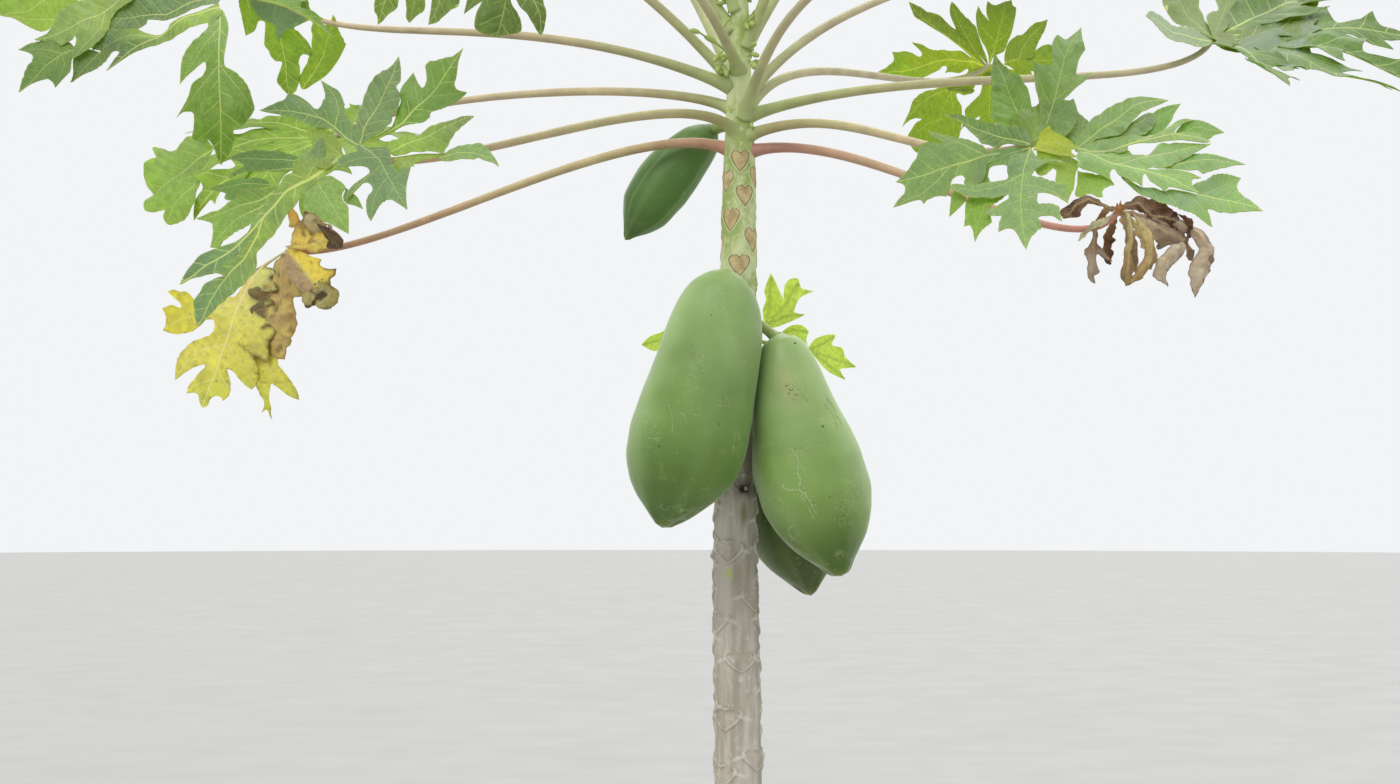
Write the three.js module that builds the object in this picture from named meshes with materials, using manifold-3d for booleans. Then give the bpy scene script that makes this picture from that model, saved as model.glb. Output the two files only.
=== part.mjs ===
// A young papaya tree: one slim trunk with a root flare, a spiral of long leaf
// stalks that end in deeply lobed blades, four large fruits held close to the
// trunk, and two small side shoots behind them.
//
// Millimetres, +Z up. The origin is the middle of the flat cut at ground level.
// -Y is the side that the tree is usually seen from, +X is to its right.
import * as THREE from "three";
import { mergeVertices } from "three/addons/utils/BufferGeometryUtils.js";
import Module from "manifold-3d";

const wasm = await Module();
wasm.setup();

// ---------------------------------------------------------------- sizes
const GAP = 0.35; // between pieces that meet
const TRUNK_TOP = 2190; // tip of the stem, inside the youngest leaves
const TRUNK_SIDES = 12;
const FLARE_HEIGHT = 230; // root flare above the ground
const FLARE_RIBS = 5; // low buttresses round the foot
const TRUNK_RADII = [
  // height, radius
  [0, 53], [60, 45], [230, 40], [600, 35.5], [1083, 30.3], [1320, 28],
  [1420, 26.5], [1776, 22.8], [1860, 21.5], [1910, 20], [1940, 18.2],
  [1980, 16.5], [2030, 14.5], [2107, 11.5], [TRUNK_TOP, 6],
];
const TRUNK_RINGS = [
  0, 30, 90, 230, 460, 760, 1080, 1320, 1560, 1780, 1880, 1930, 1980,
  2030, 2110, TRUNK_TOP,
];

const STALK_BASE = 9.6; // radius where a leaf stalk clasps the trunk
const STALK_NECK = 6.6; // just outside the clasp
const STALK_END = 3.9; // at the blade
const BLADE_T = 2.6; // thickness of a blade's solid

// A lobe of a blade, in lengths of the lobe: the side tooth, the notch behind
// it and two points on the midrib. Lobes fan out round the hub.
const TOOTH = [0.67, 0.19];
const NOTCH = [0.69, 0.085];
const RIB_1 = 0.4;
const RIB_2 = 0.69;
const SINUS = 0.34; // depth of the cuts between lobes, from the hub

// Plain fans of lobes: bearing from the middle lobe, length, sag.
const FAN_7 = [
  [-138, 0.6], [-92, 0.8], [-46, 0.94], [0, 1], [46, 0.94], [92, 0.8],
  [138, 0.6],
];
const FAN_3 = [[-58, 0.8], [0, 1], [58, 0.8]];
const FAN_5 = [[-104, 0.55], [-52, 0.85], [0, 1], [52, 0.85], [104, 0.55]];

// Every leaf, oldest first. base: height and bearing on the trunk (0 is +X, 90
// is +Y), rise: the stalk's first slope, h0 and h1: how far it keeps its first
// and last directions, end: slope and bearing at the hub, hub: where the blade
// starts. blade: its radius, the bearing and dip of its middle lobe and its
// roll about that lobe. lobes: a fan of its own, or the plain fan and one sag.
const LEAVES = [
  { n: "01", base: [1909, 170], rise: 24, h0: 0.25, h1: 0.18, end: [14, -177], hub: [-578, -50, 1771], blade: [223, 178, 55, -45],
    lobes: [[-128, 0.5, 0.35], [-84, 0.76, 0.3], [-42, 0.97, 0.12], [0, 1.02, 0.36], [41, 1.02, 0.5], [72, 0.79, 0.33], [106, 0.61, 0.35], [142, 0.46, 0.3]], toothed: true },
  { n: "02", base: [1906, -9], rise: 14, h0: 0.31, h1: 0.2, end: [53, -31], hub: [454, -220, 1797], withered: true },
  { n: "03", base: [1932, -124], rise: 23, h0: 0.27, h1: 0.15, end: [46, -128], hub: [-437, -380, 1851], blade: [270, -146.6, 45.6, -13.8],
    lobes: [[-149.7, 0.55, 0.25], [-120.6, 0.73, 0.12], [-95, 0.82, 0.02], [-36, 0.95, 0.28], [-1.7, 1.03, 0.22], [46, 0.91, 0.05], [74, 0.85, 0.19], [111, 0.83, 0.36], [154.5, 0.56, 0.05]], toothed: true },
  { n: "04", base: [1926, -31], rise: 15, h0: 0.27, h1: 0.31, end: [3, -56], hub: [307, -500, 1832], blade: [270, -23.3, 3.9, 40.3],
    lobes: [[-147.9, 0.59, 0.27], [-86, 0.69, 0.31], [-58, 0.68, 0.02], [-30, 0.98, 0.15], [1, 1, 0.29], [36, 0.92, 0.34], [64, 0.91, 0.31], [91, 0.84, 0.09], [118.5, 0.68, 0]], toothed: true },
  { n: "05", base: [1953, -9], rise: 18, h0: 0.38, h1: 0.15, end: [66, 6], hub: [636, 50, 2067], blade: [298, -15.2, 13.3, 26],
    lobes: [[-157, 0.33, 0.02], [-94, 0.66, 0.02], [-61, 0.84, 0.02], [-31, 1, 0.13], [1, 1, 0.18], [34.8, 1.02, 0.08], [65, 1.06, 0.02], [94, 0.87, 0.02], [127, 0.47, 0.02]], toothed: true },
  { n: "06", base: [1950, -64], rise: 53, h0: 0.34, h1: 0.38, end: [18, -50], hub: [209, -460, 2105], blade: [240, -62, 6, 0], fan: 7, sag: 0.2 },
  { n: "07", base: [1963, 166], rise: 29, h0: 0.18, h1: 0.19, end: [-31, 153], hub: [-560, 160, 1950], blade: [280, -156.6, 17.3, -22],
    lobes: [[-146, 0.54, 0.3], [-106, 0.73, 0.3], [-66, 0.96, 0.21], [-33.4, 1.01, 0.29], [-1, 0.85, 0.41], [30, 1.03, 0.33], [62, 0.87, 0.31], [104, 0.7, 0.4], [144, 0.5, 0.4]], toothed: true },
  { n: "08", base: [1960, 27], rise: 59, h0: 0.23, h1: 0.38, end: [26, 56], hub: [396, 500, 2121], blade: [248, -8, -13.7, -20],
    lobes: [[-153.4, 0.74, 0.2], [-116.3, 0.86, 0.04], [-85, 0.87, 0.23], [-54, 0.89, 0.32], [-4, 0.91, 0.31], [44, 0.88, 0.25], [86, 0.82, 0.11], [116, 0.74, 0.22], [150.7, 0.67, 0.26]], toothed: true },
  { n: "09", base: [1991, -170], rise: 22, h0: 0.4, h1: 0.25, end: [30, 147], hub: [-650, 300, 2169], blade: [205, 113, 16, 38],
    lobes: [[-154, 0.54, 0.7], [-115, 0.64, 0.4], [-66, 0.8, 0.6], [-24, 0.93, 0.47], [7, 0.99, 0.3], [36, 0.9, 0.32], [72, 0.87, 0.3], [109, 0.73, 0.3], [146, 0.54, 0.3]] },
  { n: "10", base: [1980, 9], rise: 52, h0: 0.35, h1: 0.34, end: [30, 31], hub: [392, 229, 2236], blade: [240, 28, -4, 0], fan: 7, sag: 0.1 },
  { n: "11", base: [1999, 149], rise: 47, h0: 0.37, h1: 0.54, end: [-44, -175], hub: [-629, -220, 2065], blade: [296, -155.4, 3.8, -38.5],
    lobes: [[-146, 0.54, 0.3], [-109, 0.73, 0.3], [-70, 0.9, 0.3], [-33.4, 1, 0.32], [3, 1.02, 0.4], [41, 0.83, 0.27], [76.8, 0.99, 0.54], [112, 0.7, 0.5], [148, 0.5, 0.4]], toothed: true },
  { n: "12", base: [2012, -101], rise: 16, h0: 0.37, h1: 0.48, end: [-36, -142], hub: [-326, -400, 2114], blade: [190, -98.5, 52.2, -17.7],
    lobes: [[-146, 0.54, 0.4], [-106, 0.75, 0.5], [-63, 0.93, 0.74], [-29, 0.87, 0.5], [2, 0.94, 0.29], [34, 0.97, 0.46], [68.8, 0.97, 0.54], [109, 0.75, 0.4], [146, 0.54, 0.4]] },
  { n: "13", base: [1984, 106], rise: 44, h0: 0.36, h1: 0.3, end: [10, 116], hub: [-225, 520, 2385], blade: [250, 112, 18, 0], fan: 7, sag: 0.26 },
  { n: "14", base: [2037, 55], rise: 50, h0: 0.36, h1: 0.3, end: [22, 55], hub: [300, 420, 2460], blade: [235, 56, 20, 0], fan: 7, sag: 0.28 },
  { n: "15", base: [2043, -27], rise: 62, h0: 0.34, h1: 0.3, end: [35, -62], hub: [140, -280, 2440], blade: [225, -64, 14, 0], fan: 7, sag: 0.26 },
  { n: "16", base: [2065, 172], rise: 55, h0: 0.34, h1: 0.3, end: [24, 160], hub: [-300, 100, 2500], blade: [225, 166, 18, 0], fan: 7, sag: 0.28 },
  { n: "17", base: [2078, 84], rise: 60, h0: 0.34, h1: 0.3, end: [34, 84], hub: [48, 400, 2585], blade: [215, 86, 16, 0], fan: 7, sag: 0.24 },
  { n: "18", base: [2092, -140], rise: 62, h0: 0.34, h1: 0.3, end: [36, -130], hub: [-215, -255, 2560], blade: [200, -132, 12, 0], fan: 7, sag: 0.22 },
  { n: "19", base: [2108, -3], rise: 64, h0: 0.34, h1: 0.3, end: [40, 0], hub: [255, 15, 2590], blade: [190, 0, 10, 0], fan: 7, sag: 0.2 },
  { n: "20", base: [2122, 128], rise: 68, h0: 0.34, h1: 0.3, end: [48, 128], hub: [-140, 175, 2655], blade: [165, 128, 4, 0], fan: 7, sag: 0.15 },
  { n: "21", base: [2136, -100], rise: 72, h0: 0.34, h1: 0.3, end: [56, -98], hub: [-25, -165, 2640], blade: [140, -98, 0, 0], fan: 5, sag: 0.1 },
  { n: "22", base: [2148, 30], rise: 76, h0: 0.34, h1: 0.3, end: [64, 30], hub: [82, 52, 2590], blade: [112, 30, -20, 0], fan: 5, sag: 0.05 },
  { n: "23", base: [2160, 175], rise: 80, h0: 0.34, h1: 0.3, end: [72, 175], hub: [-52, 4, 2480], blade: [88, 175, -35, 0], fan: 5, sag: 0.02 },
  { n: "24", base: [2170, -60], rise: 82, h0: 0.34, h1: 0.3, end: [76, -60], hub: [16, -30, 2380], blade: [66, -60, -50, 0], fan: 5, sag: 0 },
];

// Fruits: top and tip of the axis, bend of the axis (towards +X when above 0),
// foot of the stalk on the trunk (height, bearing), and the girth: place along
// the axis, radius.
const FRUITS = [
  { n: "front_left", top: [-14, -88, 1742], tip: [-97, -88, 1416], bend: 4, foot: [1738, -104],
    girth: [[0, 4], [0.035, 27], [0.1, 46], [0.25, 61], [0.45, 69.5], [0.65, 75.5], [0.76, 70], [0.87, 53], [0.95, 27], [1, 5]] },
  { n: "right", top: [51, -56, 1662], tip: [130, -56, 1354], bend: -6, foot: [1690, -40],
    girth: [[0, 4], [0.035, 24], [0.12, 38], [0.25, 49], [0.42, 64], [0.6, 71.5], [0.74, 65], [0.86, 47], [0.95, 22], [1, 5]] },
  { n: "behind", top: [36, 86, 1632], tip: [99, 86, 1323], bend: -2, foot: [1650, 66],
    girth: [[0, 4], [0.04, 25], [0.12, 39], [0.25, 51], [0.42, 64], [0.6, 70], [0.74, 64], [0.86, 47], [0.95, 23], [1, 4]] },
  { n: "upper_left", top: [-28, 54, 1952], tip: [-149, 54, 1797], bend: -6, foot: [1944, 118],
    girth: [[0, 4], [0.05, 13], [0.14, 26], [0.28, 33], [0.45, 38], [0.6, 38], [0.74, 34], [0.86, 22], [0.95, 9], [1, 3]] },
];
const FRUIT_SIDES = 10;

// Side shoots: foot on the trunk, then its small leaves: hub, radius, bearing
// and dip of the middle lobe, roll.
const SHOOTS = [
  { n: "right", foot: [1662, 50], leaves: [
    { hub: [46, 52, 1682], r: 68, b: 0, dip: -58, roll: 66 },
    { hub: [86, 44, 1656], r: 70, b: -14, dip: 22, roll: 55 },
  ] },
  { n: "left", foot: [1640, 160], leaves: [
    { hub: [-66, 58, 1658], r: 66, b: 182, dip: -4, roll: -58 },
  ] },
];

// ---------------------------------------------------------------- helpers
const V = (x, y, z) => new THREE.Vector3(x, y, z);
const RAD = Math.PI / 180;
const UP = V(0, 0, 1);
function towards(slope, bearing) {
  const c = Math.cos(slope * RAD);
  return V(c * Math.cos(bearing * RAD), c * Math.sin(bearing * RAD), Math.sin(slope * RAD));
}
function table(rows, x) {
  for (let i = 1; i < rows.length; i++)
    if (x <= rows[i][0]) {
      const [a, p] = rows[i - 1], [b, q] = rows[i];
      return p + ((q - p) * Math.max(0, x - a)) / (b - a);
    }
  return rows[rows.length - 1][1];
}
// The stem leans a little one way and back.
const TRUNK_LINE = [[0, 0], [1083, 0], [1190, -1], [1320, -3.3], [1420, -4], [1776, 1], [1895, 2], [TRUNK_TOP, 3]];
function trunkCentre(z) {
  return V(table(TRUNK_LINE, z), 0, z);
}
function trunkRadius(z) {
  return table(TRUNK_RADII, z);
}
// Indexed triangles to a solid.
function solid(points, faces) {
  const pos = new Float32Array(points.length * 3);
  points.forEach((p, i) => pos.set([p.x, p.y, p.z], i * 3));
  return new wasm.Manifold(
    new wasm.Mesh({ numProp: 3, vertProperties: pos, triVerts: new Uint32Array(faces.flat()) }),
  );
}
function toGeometry(s) {
  const m = s.getMesh();
  const pos = new Float32Array(m.numVert * 3);
  for (let i = 0; i < m.numVert; i++)
    pos.set(m.vertProperties.subarray(i * m.numProp, i * m.numProp + 3), i * 3);
  const g = new THREE.BufferGeometry();
  g.setAttribute("position", new THREE.BufferAttribute(pos, 3));
  g.setIndex(new THREE.BufferAttribute(new Uint32Array(m.triVerts), 1));
  g.computeVertexNormals();
  return g;
}
function fromGeometry(geometry) {
  const g = geometry.clone();
  g.deleteAttribute("normal");
  g.deleteAttribute("uv");
  const m = mergeVertices(g, 1e-4);
  return new wasm.Manifold(
    new wasm.Mesh({ numProp: 3, vertProperties: m.attributes.position.array, triVerts: new Uint32Array(m.index.array) }),
  );
}
function largest(s) {
  return s.decompose().sort((a, b) => b.volume() - a.volume())[0];
}

// Rings of points skinned into a closed tube; each ring is an array of points
// that runs anticlockwise seen from the far end.
function skin(rings) {
  const n = rings[0].length, pts = rings.flat(), faces = [];
  for (let k = 0; k + 1 < rings.length; k++)
    for (let i = 0; i < n; i++) {
      const a = k * n + i, b = k * n + ((i + 1) % n), c = a + n, d = b + n;
      faces.push([a, b, d], [a, d, c]);
    }
  const last = (rings.length - 1) * n;
  for (let i = 1; i + 1 < n; i++) {
    faces.push([0, i + 1, i]);
    faces.push([last, last + i, last + i + 1]);
  }
  return solid(pts, faces);
}
// A limb that tapers along a curve.
function limb(curve, radius, sides, steps, extra = 0) {
  const frames = curve.computeFrenetFrames(steps, false);
  const rings = [];
  for (let k = 0; k <= steps; k++) {
    const t = k / steps, c = curve.getPointAt(t), r = radius(t) + extra;
    const ring = [];
    for (let i = 0; i < sides; i++) {
      const a = (i / sides) * Math.PI * 2;
      ring.push(
        c.clone()
          .addScaledVector(frames.normals[k], r * Math.cos(a))
          .addScaledVector(frames.binormals[k], r * Math.sin(a)),
      );
    }
    rings.push(ring);
  }
  return skin(rings);
}

// ---------------------------------------------------------------- trunk
function trunkSolid(extra = 0) {
  const rings = TRUNK_RINGS.map((z) => {
    const c = trunkCentre(z), r = trunkRadius(z) + extra;
    const flare = Math.max(0, 1 - z / FLARE_HEIGHT) ** 2;
    const ring = [];
    for (let i = 0; i < TRUNK_SIDES; i++) {
      const a = (i / TRUNK_SIDES) * Math.PI * 2;
      const rr = r * (1 + 0.13 * flare * Math.cos(FLARE_RIBS * a + 0.6));
      ring.push(V(c.x + rr * Math.cos(a), c.y + rr * Math.sin(a), z));
    }
    return ring;
  });
  return skin(rings);
}

// ---------------------------------------------------------------- leaves
function stalkCurve(leaf) {
  const [z, bearing] = leaf.base;
  const foot = trunkCentre(z).addScaledVector(towards(0, bearing), trunkRadius(z) * 0.6);
  const hub = V(...leaf.hub);
  const length = foot.distanceTo(hub);
  const p1 = foot.clone().addScaledVector(towards(leaf.rise, bearing), leaf.h0 * length);
  const p2 = hub.clone().addScaledVector(towards(...leaf.end), -leaf.h1 * length);
  return new THREE.CubicBezierCurve3(foot, p1, p2, hub);
}
function stalkSolid(leaf, index, extra = 0) {
  const young = Math.max(0.42, 1 - Math.max(0, index - 15) * 0.075);
  const steps = index < 12 ? 8 : index < 17 ? 7 : 4;
  return limb(
    stalkCurve(leaf),
    (t) => young * (t < 0.14 ? STALK_BASE + (STALK_NECK - STALK_BASE) * Math.sqrt(t / 0.14) : STALK_NECK + ((STALK_END - STALK_NECK) * (t - 0.14)) / 0.86),
    5, steps, extra,
  );
}
// The frame of a blade: middle lobe, side and upper face.
function bladeFrame(bearing, dip, roll) {
  const m = towards(-dip, bearing);
  let w = UP.clone().addScaledVector(m, -UP.dot(m)).normalize();
  w.applyAxisAngle(m, roll * RAD);
  return { m, w, s: w.clone().cross(m) };
}
// The sag at a bearing, between the lobes' own sags.
function sagAt(lobes, deg) {
  const n = lobes.length;
  for (let i = 0; i < n; i++) {
    const [a, , p] = lobes[i], b = lobes[(i + 1) % n][0] + (i + 1 === n ? 360 : 0), q = lobes[(i + 1) % n][2];
    for (const d of [deg, deg + 360]) if (d >= a && d <= b) return p + ((q - p) * (d - a)) / (b - a);
  }
  return lobes[0][2];
}
// A point of a blade, from its flat place: the way from the hub bends down
// under its own weight as it goes out.
function bladePoint(hub, frame, radius, lobes, x, y) {
  const r = Math.hypot(x, y), a = Math.atan2(y, x);
  const d = frame.m.clone().multiplyScalar(Math.cos(a)).addScaledVector(frame.s, Math.sin(a)).addScaledVector(frame.w, 0.12).normalize();
  const own = sagAt(lobes, a / RAD);
  const p = hub.clone(), steps = 8;
  for (let k = 0; k < steps; k++) {
    const f = ((k + 0.5) / steps) * (r / radius);
    const g = Math.min(0.85, own * 2.1 * f ** 1.35);
    const t = d.clone().multiplyScalar(1 - g).addScaledVector(UP, -g).normalize();
    p.addScaledVector(t, r / steps);
  }
  return p;
}
function bladeSolid(hub, frame, radius, lobes, toothed, thick) {
  const flat = [], ring = [], faces = [];
  const put = (x, y) => flat.push([x * radius, y * radius]) - 1;
  const polar = (deg, r) => put(r * Math.cos(deg * RAD), r * Math.sin(deg * RAD));
  const last = lobes.length - 1;
  const h = put(0, 0);
  // half of the angle to the next lobe on either side
  const half = lobes.map(([deg], i) => [
    i ? (deg - lobes[i - 1][0]) / 2 : 21,
    i < last ? (lobes[i + 1][0] - deg) / 2 : 21,
  ]);
  const cuts = [polar(lobes[0][0] - half[0][0], 0.1)];
  for (let i = 0; i < last; i++)
    cuts.push(polar(lobes[i][0] + half[i][1], SINUS * Math.min(1, (lobes[i][1] + lobes[i + 1][1]) / 2 + 0.1)));
  cuts.push(polar(lobes[last][0] + half[last][1], 0.1));
  lobes.forEach(([deg, len], i) => {
    const c = Math.cos(deg * RAD), s = Math.sin(deg * RAD);
    const wide = half[i].map((g) => Math.min(1.1, Math.max(0.5, g / 18)));
    const inLobe = (a, b) => {
      const y = b * wide[b < 0 ? 0 : 1];
      return put(len * (a * c - y * s), len * (a * s + y * c));
    };
    const a = cuts[i], z = cuts[i + 1];
    const m1 = inLobe(RIB_1, 0), tip = inLobe(1, 0);
    ring.push(a);
    if (toothed) {
      const m2 = inLobe(RIB_2, 0);
      const [t1, n1] = [inLobe(TOOTH[0], -TOOTH[1]), inLobe(NOTCH[0], -NOTCH[1])];
      const [t2, n2] = [inLobe(TOOTH[0], TOOTH[1]), inLobe(NOTCH[0], NOTCH[1])];
      faces.push([h, a, m1], [a, t1, m1], [t1, m2, m1], [t1, n1, m2], [n1, tip, m2]);
      faces.push([h, m1, z], [z, m1, t2], [t2, m1, m2], [t2, m2, n2], [n2, m2, tip]);
      ring.push(t1, n1, tip, n2, t2);
    } else {
      const t1 = inLobe(0.64, -0.18), t2 = inLobe(0.64, 0.18);
      faces.push([h, a, m1], [a, t1, m1], [t1, tip, m1], [h, m1, z], [z, m1, t2], [t2, m1, tip]);
      ring.push(t1, tip, t2);
    }
  });
  ring.push(cuts[cuts.length - 1]);
  faces.push([h, cuts[cuts.length - 1], cuts[0]]);
  const mid = flat.map(([x, y]) => bladePoint(hub, frame, radius, lobes, x, y));
  const normals = mid.map(() => V(0, 0, 0));
  for (const [a, b, c] of faces) {
    const n = mid[b].clone().sub(mid[a]).cross(mid[c].clone().sub(mid[a]));
    [a, b, c].forEach((k) => normals[k].add(n));
  }
  normals.forEach((n) => n.normalize());
  const top = mid.map((p, k) => p.clone().addScaledVector(normals[k], thick / 2));
  const low = mid.map((p, k) => p.clone().addScaledVector(normals[k], -thick / 2));
  const n = mid.length, all = [...faces, ...faces.map(([a, b, c]) => [a + n, c + n, b + n])];
  ring.forEach((a, k) => {
    const b = ring[(k + 1) % ring.length];
    all.push([a, a + n, b + n], [a, b + n, b]);
  });
  return solid([...top, ...low], all);
}
// A leaf's own lobes, or the plain fan with small differences between lobes.
function lobesOf(leaf, index) {
  if (leaf.lobes) return leaf.lobes;
  const fan = leaf.fan === 7 ? FAN_7 : FAN_5;
  return fan.map(([deg, len], k) => [
    deg + 3 * Math.sin(index * 5.3 + k * 2.1),
    len * (1 + 0.05 * Math.sin(index * 3.1 + k * 1.7)),
    leaf.sag * (1 + 0.4 * Math.sin(index * 1.7 + k * 2.6)),
  ]);
}
function leafBlade(leaf, index, thick = BLADE_T) {
  const [radius, bearing, dip, roll] = leaf.blade;
  return bladeSolid(V(...leaf.hub), bladeFrame(bearing, dip, roll), radius, lobesOf(leaf, index), leaf.toothed, thick);
}
// The withered blade: shrunken lobes that arch out of the hub and hang.
const WITHERED = [
  // bearing, reach out, drop, width, twist
  [178, 60, 28, 16, 20], [215, 34, 78, 15, 60], [-60, 30, 92, 20, 10],
  [-20, 50, 84, 22, -30], [8, 88, 78, 22, 25], [24, 112, 96, 24, -20],
];
function witheredBlade(leaf, thick = 5) {
  const hub = V(...leaf.hub).addScaledVector(UP, 8);
  let whole = fromGeometry(new THREE.IcosahedronGeometry(11, 0).translate(hub.x, hub.y, hub.z));
  WITHERED.forEach(([bearing, out, drop, width, twist]) => {
    const d = towards(0, bearing), n = 4, rings = [];
    for (let k = 0; k <= n; k++) {
      const t = k / n;
      const c = hub.clone().addScaledVector(d, out * Math.sin((t * Math.PI) / 2)).addScaledVector(UP, 16 * Math.sin(t * Math.PI) - drop * t * t);
      const side = d.clone().cross(UP).applyAxisAngle(UP, twist * t * RAD).normalize();
      const across = V(d.x * 0.5, d.y * 0.5, 1 - t).normalize();
      const w = (width * Math.sin(Math.PI * Math.min(0.95, 0.16 + 0.8 * t))) / 2 + 1.5;
      rings.push([
        c.clone().addScaledVector(side, w).addScaledVector(across, -thick / 2),
        c.clone().addScaledVector(across, thick / 2),
        c.clone().addScaledVector(side, -w).addScaledVector(across, -thick / 2),
      ]);
    }
    let strip = skin(rings);
    if (strip.volume() < 0) strip = skin(rings.map((r) => r.slice().reverse()));
    whole = whole.add(strip);
  });
  return largest(whole);
}

// ---------------------------------------------------------------- fruits
function fruitSolid(f, extra = 0) {
  const top = V(...f.top), axis = V(...f.tip).sub(top);
  const down = axis.clone().normalize();
  const side = V(1, 0, 0).addScaledVector(down, -down.x).normalize();
  const front = down.clone().cross(side);
  const rings = f.girth.map(([t, r]) => {
    const c = top.clone().addScaledVector(axis, t).addScaledVector(side, f.bend * Math.sin(Math.PI * t));
    const ring = [];
    for (let i = 0; i < FRUIT_SIDES; i++) {
      const a = ((i + 0.5) / FRUIT_SIDES) * Math.PI * 2;
      ring.push(c.clone().addScaledVector(side, (r + extra) * Math.cos(a)).addScaledVector(front, (r + extra) * Math.sin(a)));
    }
    return ring;
  });
  const body = skin(rings);
  const foot = trunkCentre(f.foot[0]).addScaledVector(towards(0, f.foot[1]), trunkRadius(f.foot[0]) * 0.7);
  const mid = foot.clone().lerp(top, 0.55).addScaledVector(towards(10, f.foot[1]), 6);
  const end = top.clone().addScaledVector(down, 12);
  return body.add(limb(new THREE.QuadraticBezierCurve3(foot, mid, end), () => 6.5, 5, 2, extra));
}

// ---------------------------------------------------------------- assembly
const GREEN = [0.33, 0.47, 0.17], STALK = [0.55, 0.55, 0.36];
function material(rgb, roughness) {
  return new THREE.MeshStandardMaterial({ color: new THREE.Color(...rgb), roughness, metalness: 0 });
}
const group = new THREE.Group();
function place(name, s, rgb, roughness = 0.6, fine = 0.05) {
  const mesh = new THREE.Mesh(toGeometry(s.simplify(fine)), material(rgb, roughness));
  mesh.name = name;
  group.add(mesh);
}

const trunkGrown = trunkSolid(GAP);
place("trunk", trunkSolid(), [0.52, 0.49, 0.43], 0.85);

// What is left of a solid outside the given grown ones.
function clear(s, grown) {
  for (const other of grown)
    if (s.intersect(other).volume() > 0) s = largest(s.subtract(other));
  return s;
}

const blades = LEAVES.map((leaf, i) => (leaf.withered ? witheredBlade(leaf) : leafBlade(leaf, i)));
const bladesGrown = LEAVES.map((leaf, i) => (leaf.withered ? witheredBlade(leaf, 5 + 2 * GAP) : leafBlade(leaf, i, BLADE_T + 2 * GAP)));

const stalksGrown = [];
LEAVES.forEach((leaf, i) => {
  let s = stalkSolid(leaf, i).subtract(trunkGrown);
  s = largest(s);
  s = clear(s, stalksGrown);
  s = clear(s, bladesGrown);
  place("leaf_stalk_" + leaf.n, s, STALK, 0.5, 0.2);
  stalksGrown.push(stalkSolid(leaf, i, GAP));
});
const tint = (leaf) => (leaf.n === "01" ? [0.78, 0.7, 0.2] : leaf.withered ? [0.42, 0.31, 0.18] : GREEN);
LEAVES.forEach((leaf, i) => {
  const s = clear(blades[i], [...bladesGrown.slice(0, i), ...stalksGrown.filter((_, k) => k !== i)]);
  place("leaf_blade_" + leaf.n, s, tint(leaf), 0.55);
});

const fruitsGrown = [];
FRUITS.forEach((f) => {
  let s = largest(fruitSolid(f).subtract(trunkGrown));
  s = clear(s, stalksGrown);
  s = clear(s, fruitsGrown);
  place("fruit_" + f.n, s, [0.36, 0.5, 0.2], 0.35, 0.2);
  fruitsGrown.push(fruitSolid(f, GAP));
});

SHOOTS.forEach((shoot) => {
  const foot = trunkCentre(shoot.foot[0]).addScaledVector(towards(0, shoot.foot[1]), trunkRadius(shoot.foot[0]) * 0.7);
  let whole = null;
  shoot.leaves.forEach((l) => {
    const hub = V(...l.hub);
    const mid = foot.clone().lerp(hub, 0.5).addScaledVector(towards(20, shoot.foot[1]), 14);
    const stem = limb(new THREE.QuadraticBezierCurve3(foot, mid, hub), () => 2.8, 4, 3);
    const blade = bladeSolid(hub, bladeFrame(l.b, l.dip, l.roll), l.r, FAN_3.map(([a, b]) => [a, b, 0.12]), false, 2.4);
    whole = whole ? whole.add(stem).add(blade) : stem.add(blade);
  });
  whole = clear(largest(whole.subtract(trunkGrown)), fruitsGrown);
  place("side_shoot_" + shoot.n, whole, [0.55, 0.68, 0.2], 0.5, 0.2);
});

export default group;
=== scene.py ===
"""Looks of the papaya tree: bark, stalks, lobed leaves, fruits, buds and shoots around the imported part."""
import math

import bpy
import numpy as np
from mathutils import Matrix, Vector, geometry
from mathutils.bvhtree import BVHTree


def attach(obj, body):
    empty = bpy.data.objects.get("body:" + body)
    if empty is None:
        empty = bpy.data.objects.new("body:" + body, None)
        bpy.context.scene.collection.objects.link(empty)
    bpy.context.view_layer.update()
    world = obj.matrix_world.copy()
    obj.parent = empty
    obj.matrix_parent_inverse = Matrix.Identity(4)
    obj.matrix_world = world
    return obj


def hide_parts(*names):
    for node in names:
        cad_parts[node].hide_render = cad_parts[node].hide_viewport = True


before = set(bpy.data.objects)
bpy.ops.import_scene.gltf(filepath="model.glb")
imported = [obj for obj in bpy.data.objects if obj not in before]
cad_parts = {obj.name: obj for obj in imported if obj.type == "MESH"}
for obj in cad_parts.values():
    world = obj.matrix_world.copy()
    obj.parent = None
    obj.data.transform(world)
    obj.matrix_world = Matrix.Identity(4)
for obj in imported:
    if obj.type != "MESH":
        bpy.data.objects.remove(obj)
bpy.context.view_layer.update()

MM = 0.001
UP = np.array([0.0, 0.0, 1.0])
CAM = np.array([-0.0495, -2.8, 1.45])
PITCH = math.radians(2.875)
LENS = 55.29
FOCAL = 1400 * LENS / 36
RIGHT = np.array([1.0, 0.0, 0.0])
AHEAD = np.array([0.0, math.cos(PITCH), math.sin(PITCH)])
ABOVE = np.array([0.0, -math.sin(PITCH), math.cos(PITCH)])


def at(px, py, y):
    """The point that the picture shows at (px, py), on the upright plane y."""
    d = AHEAD + (px - 700) / FOCAL * RIGHT + (392 - py) / FOCAL * ABOVE
    return CAM + d * ((y - CAM[1]) / d[1])


def seen(p):
    """Where the picture shows points p."""
    q = np.asarray(p) - CAM
    k = q @ AHEAD
    return 700 + (q @ RIGHT) / k * FOCAL, 392 - (q @ ABOVE) / k * FOCAL


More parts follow.
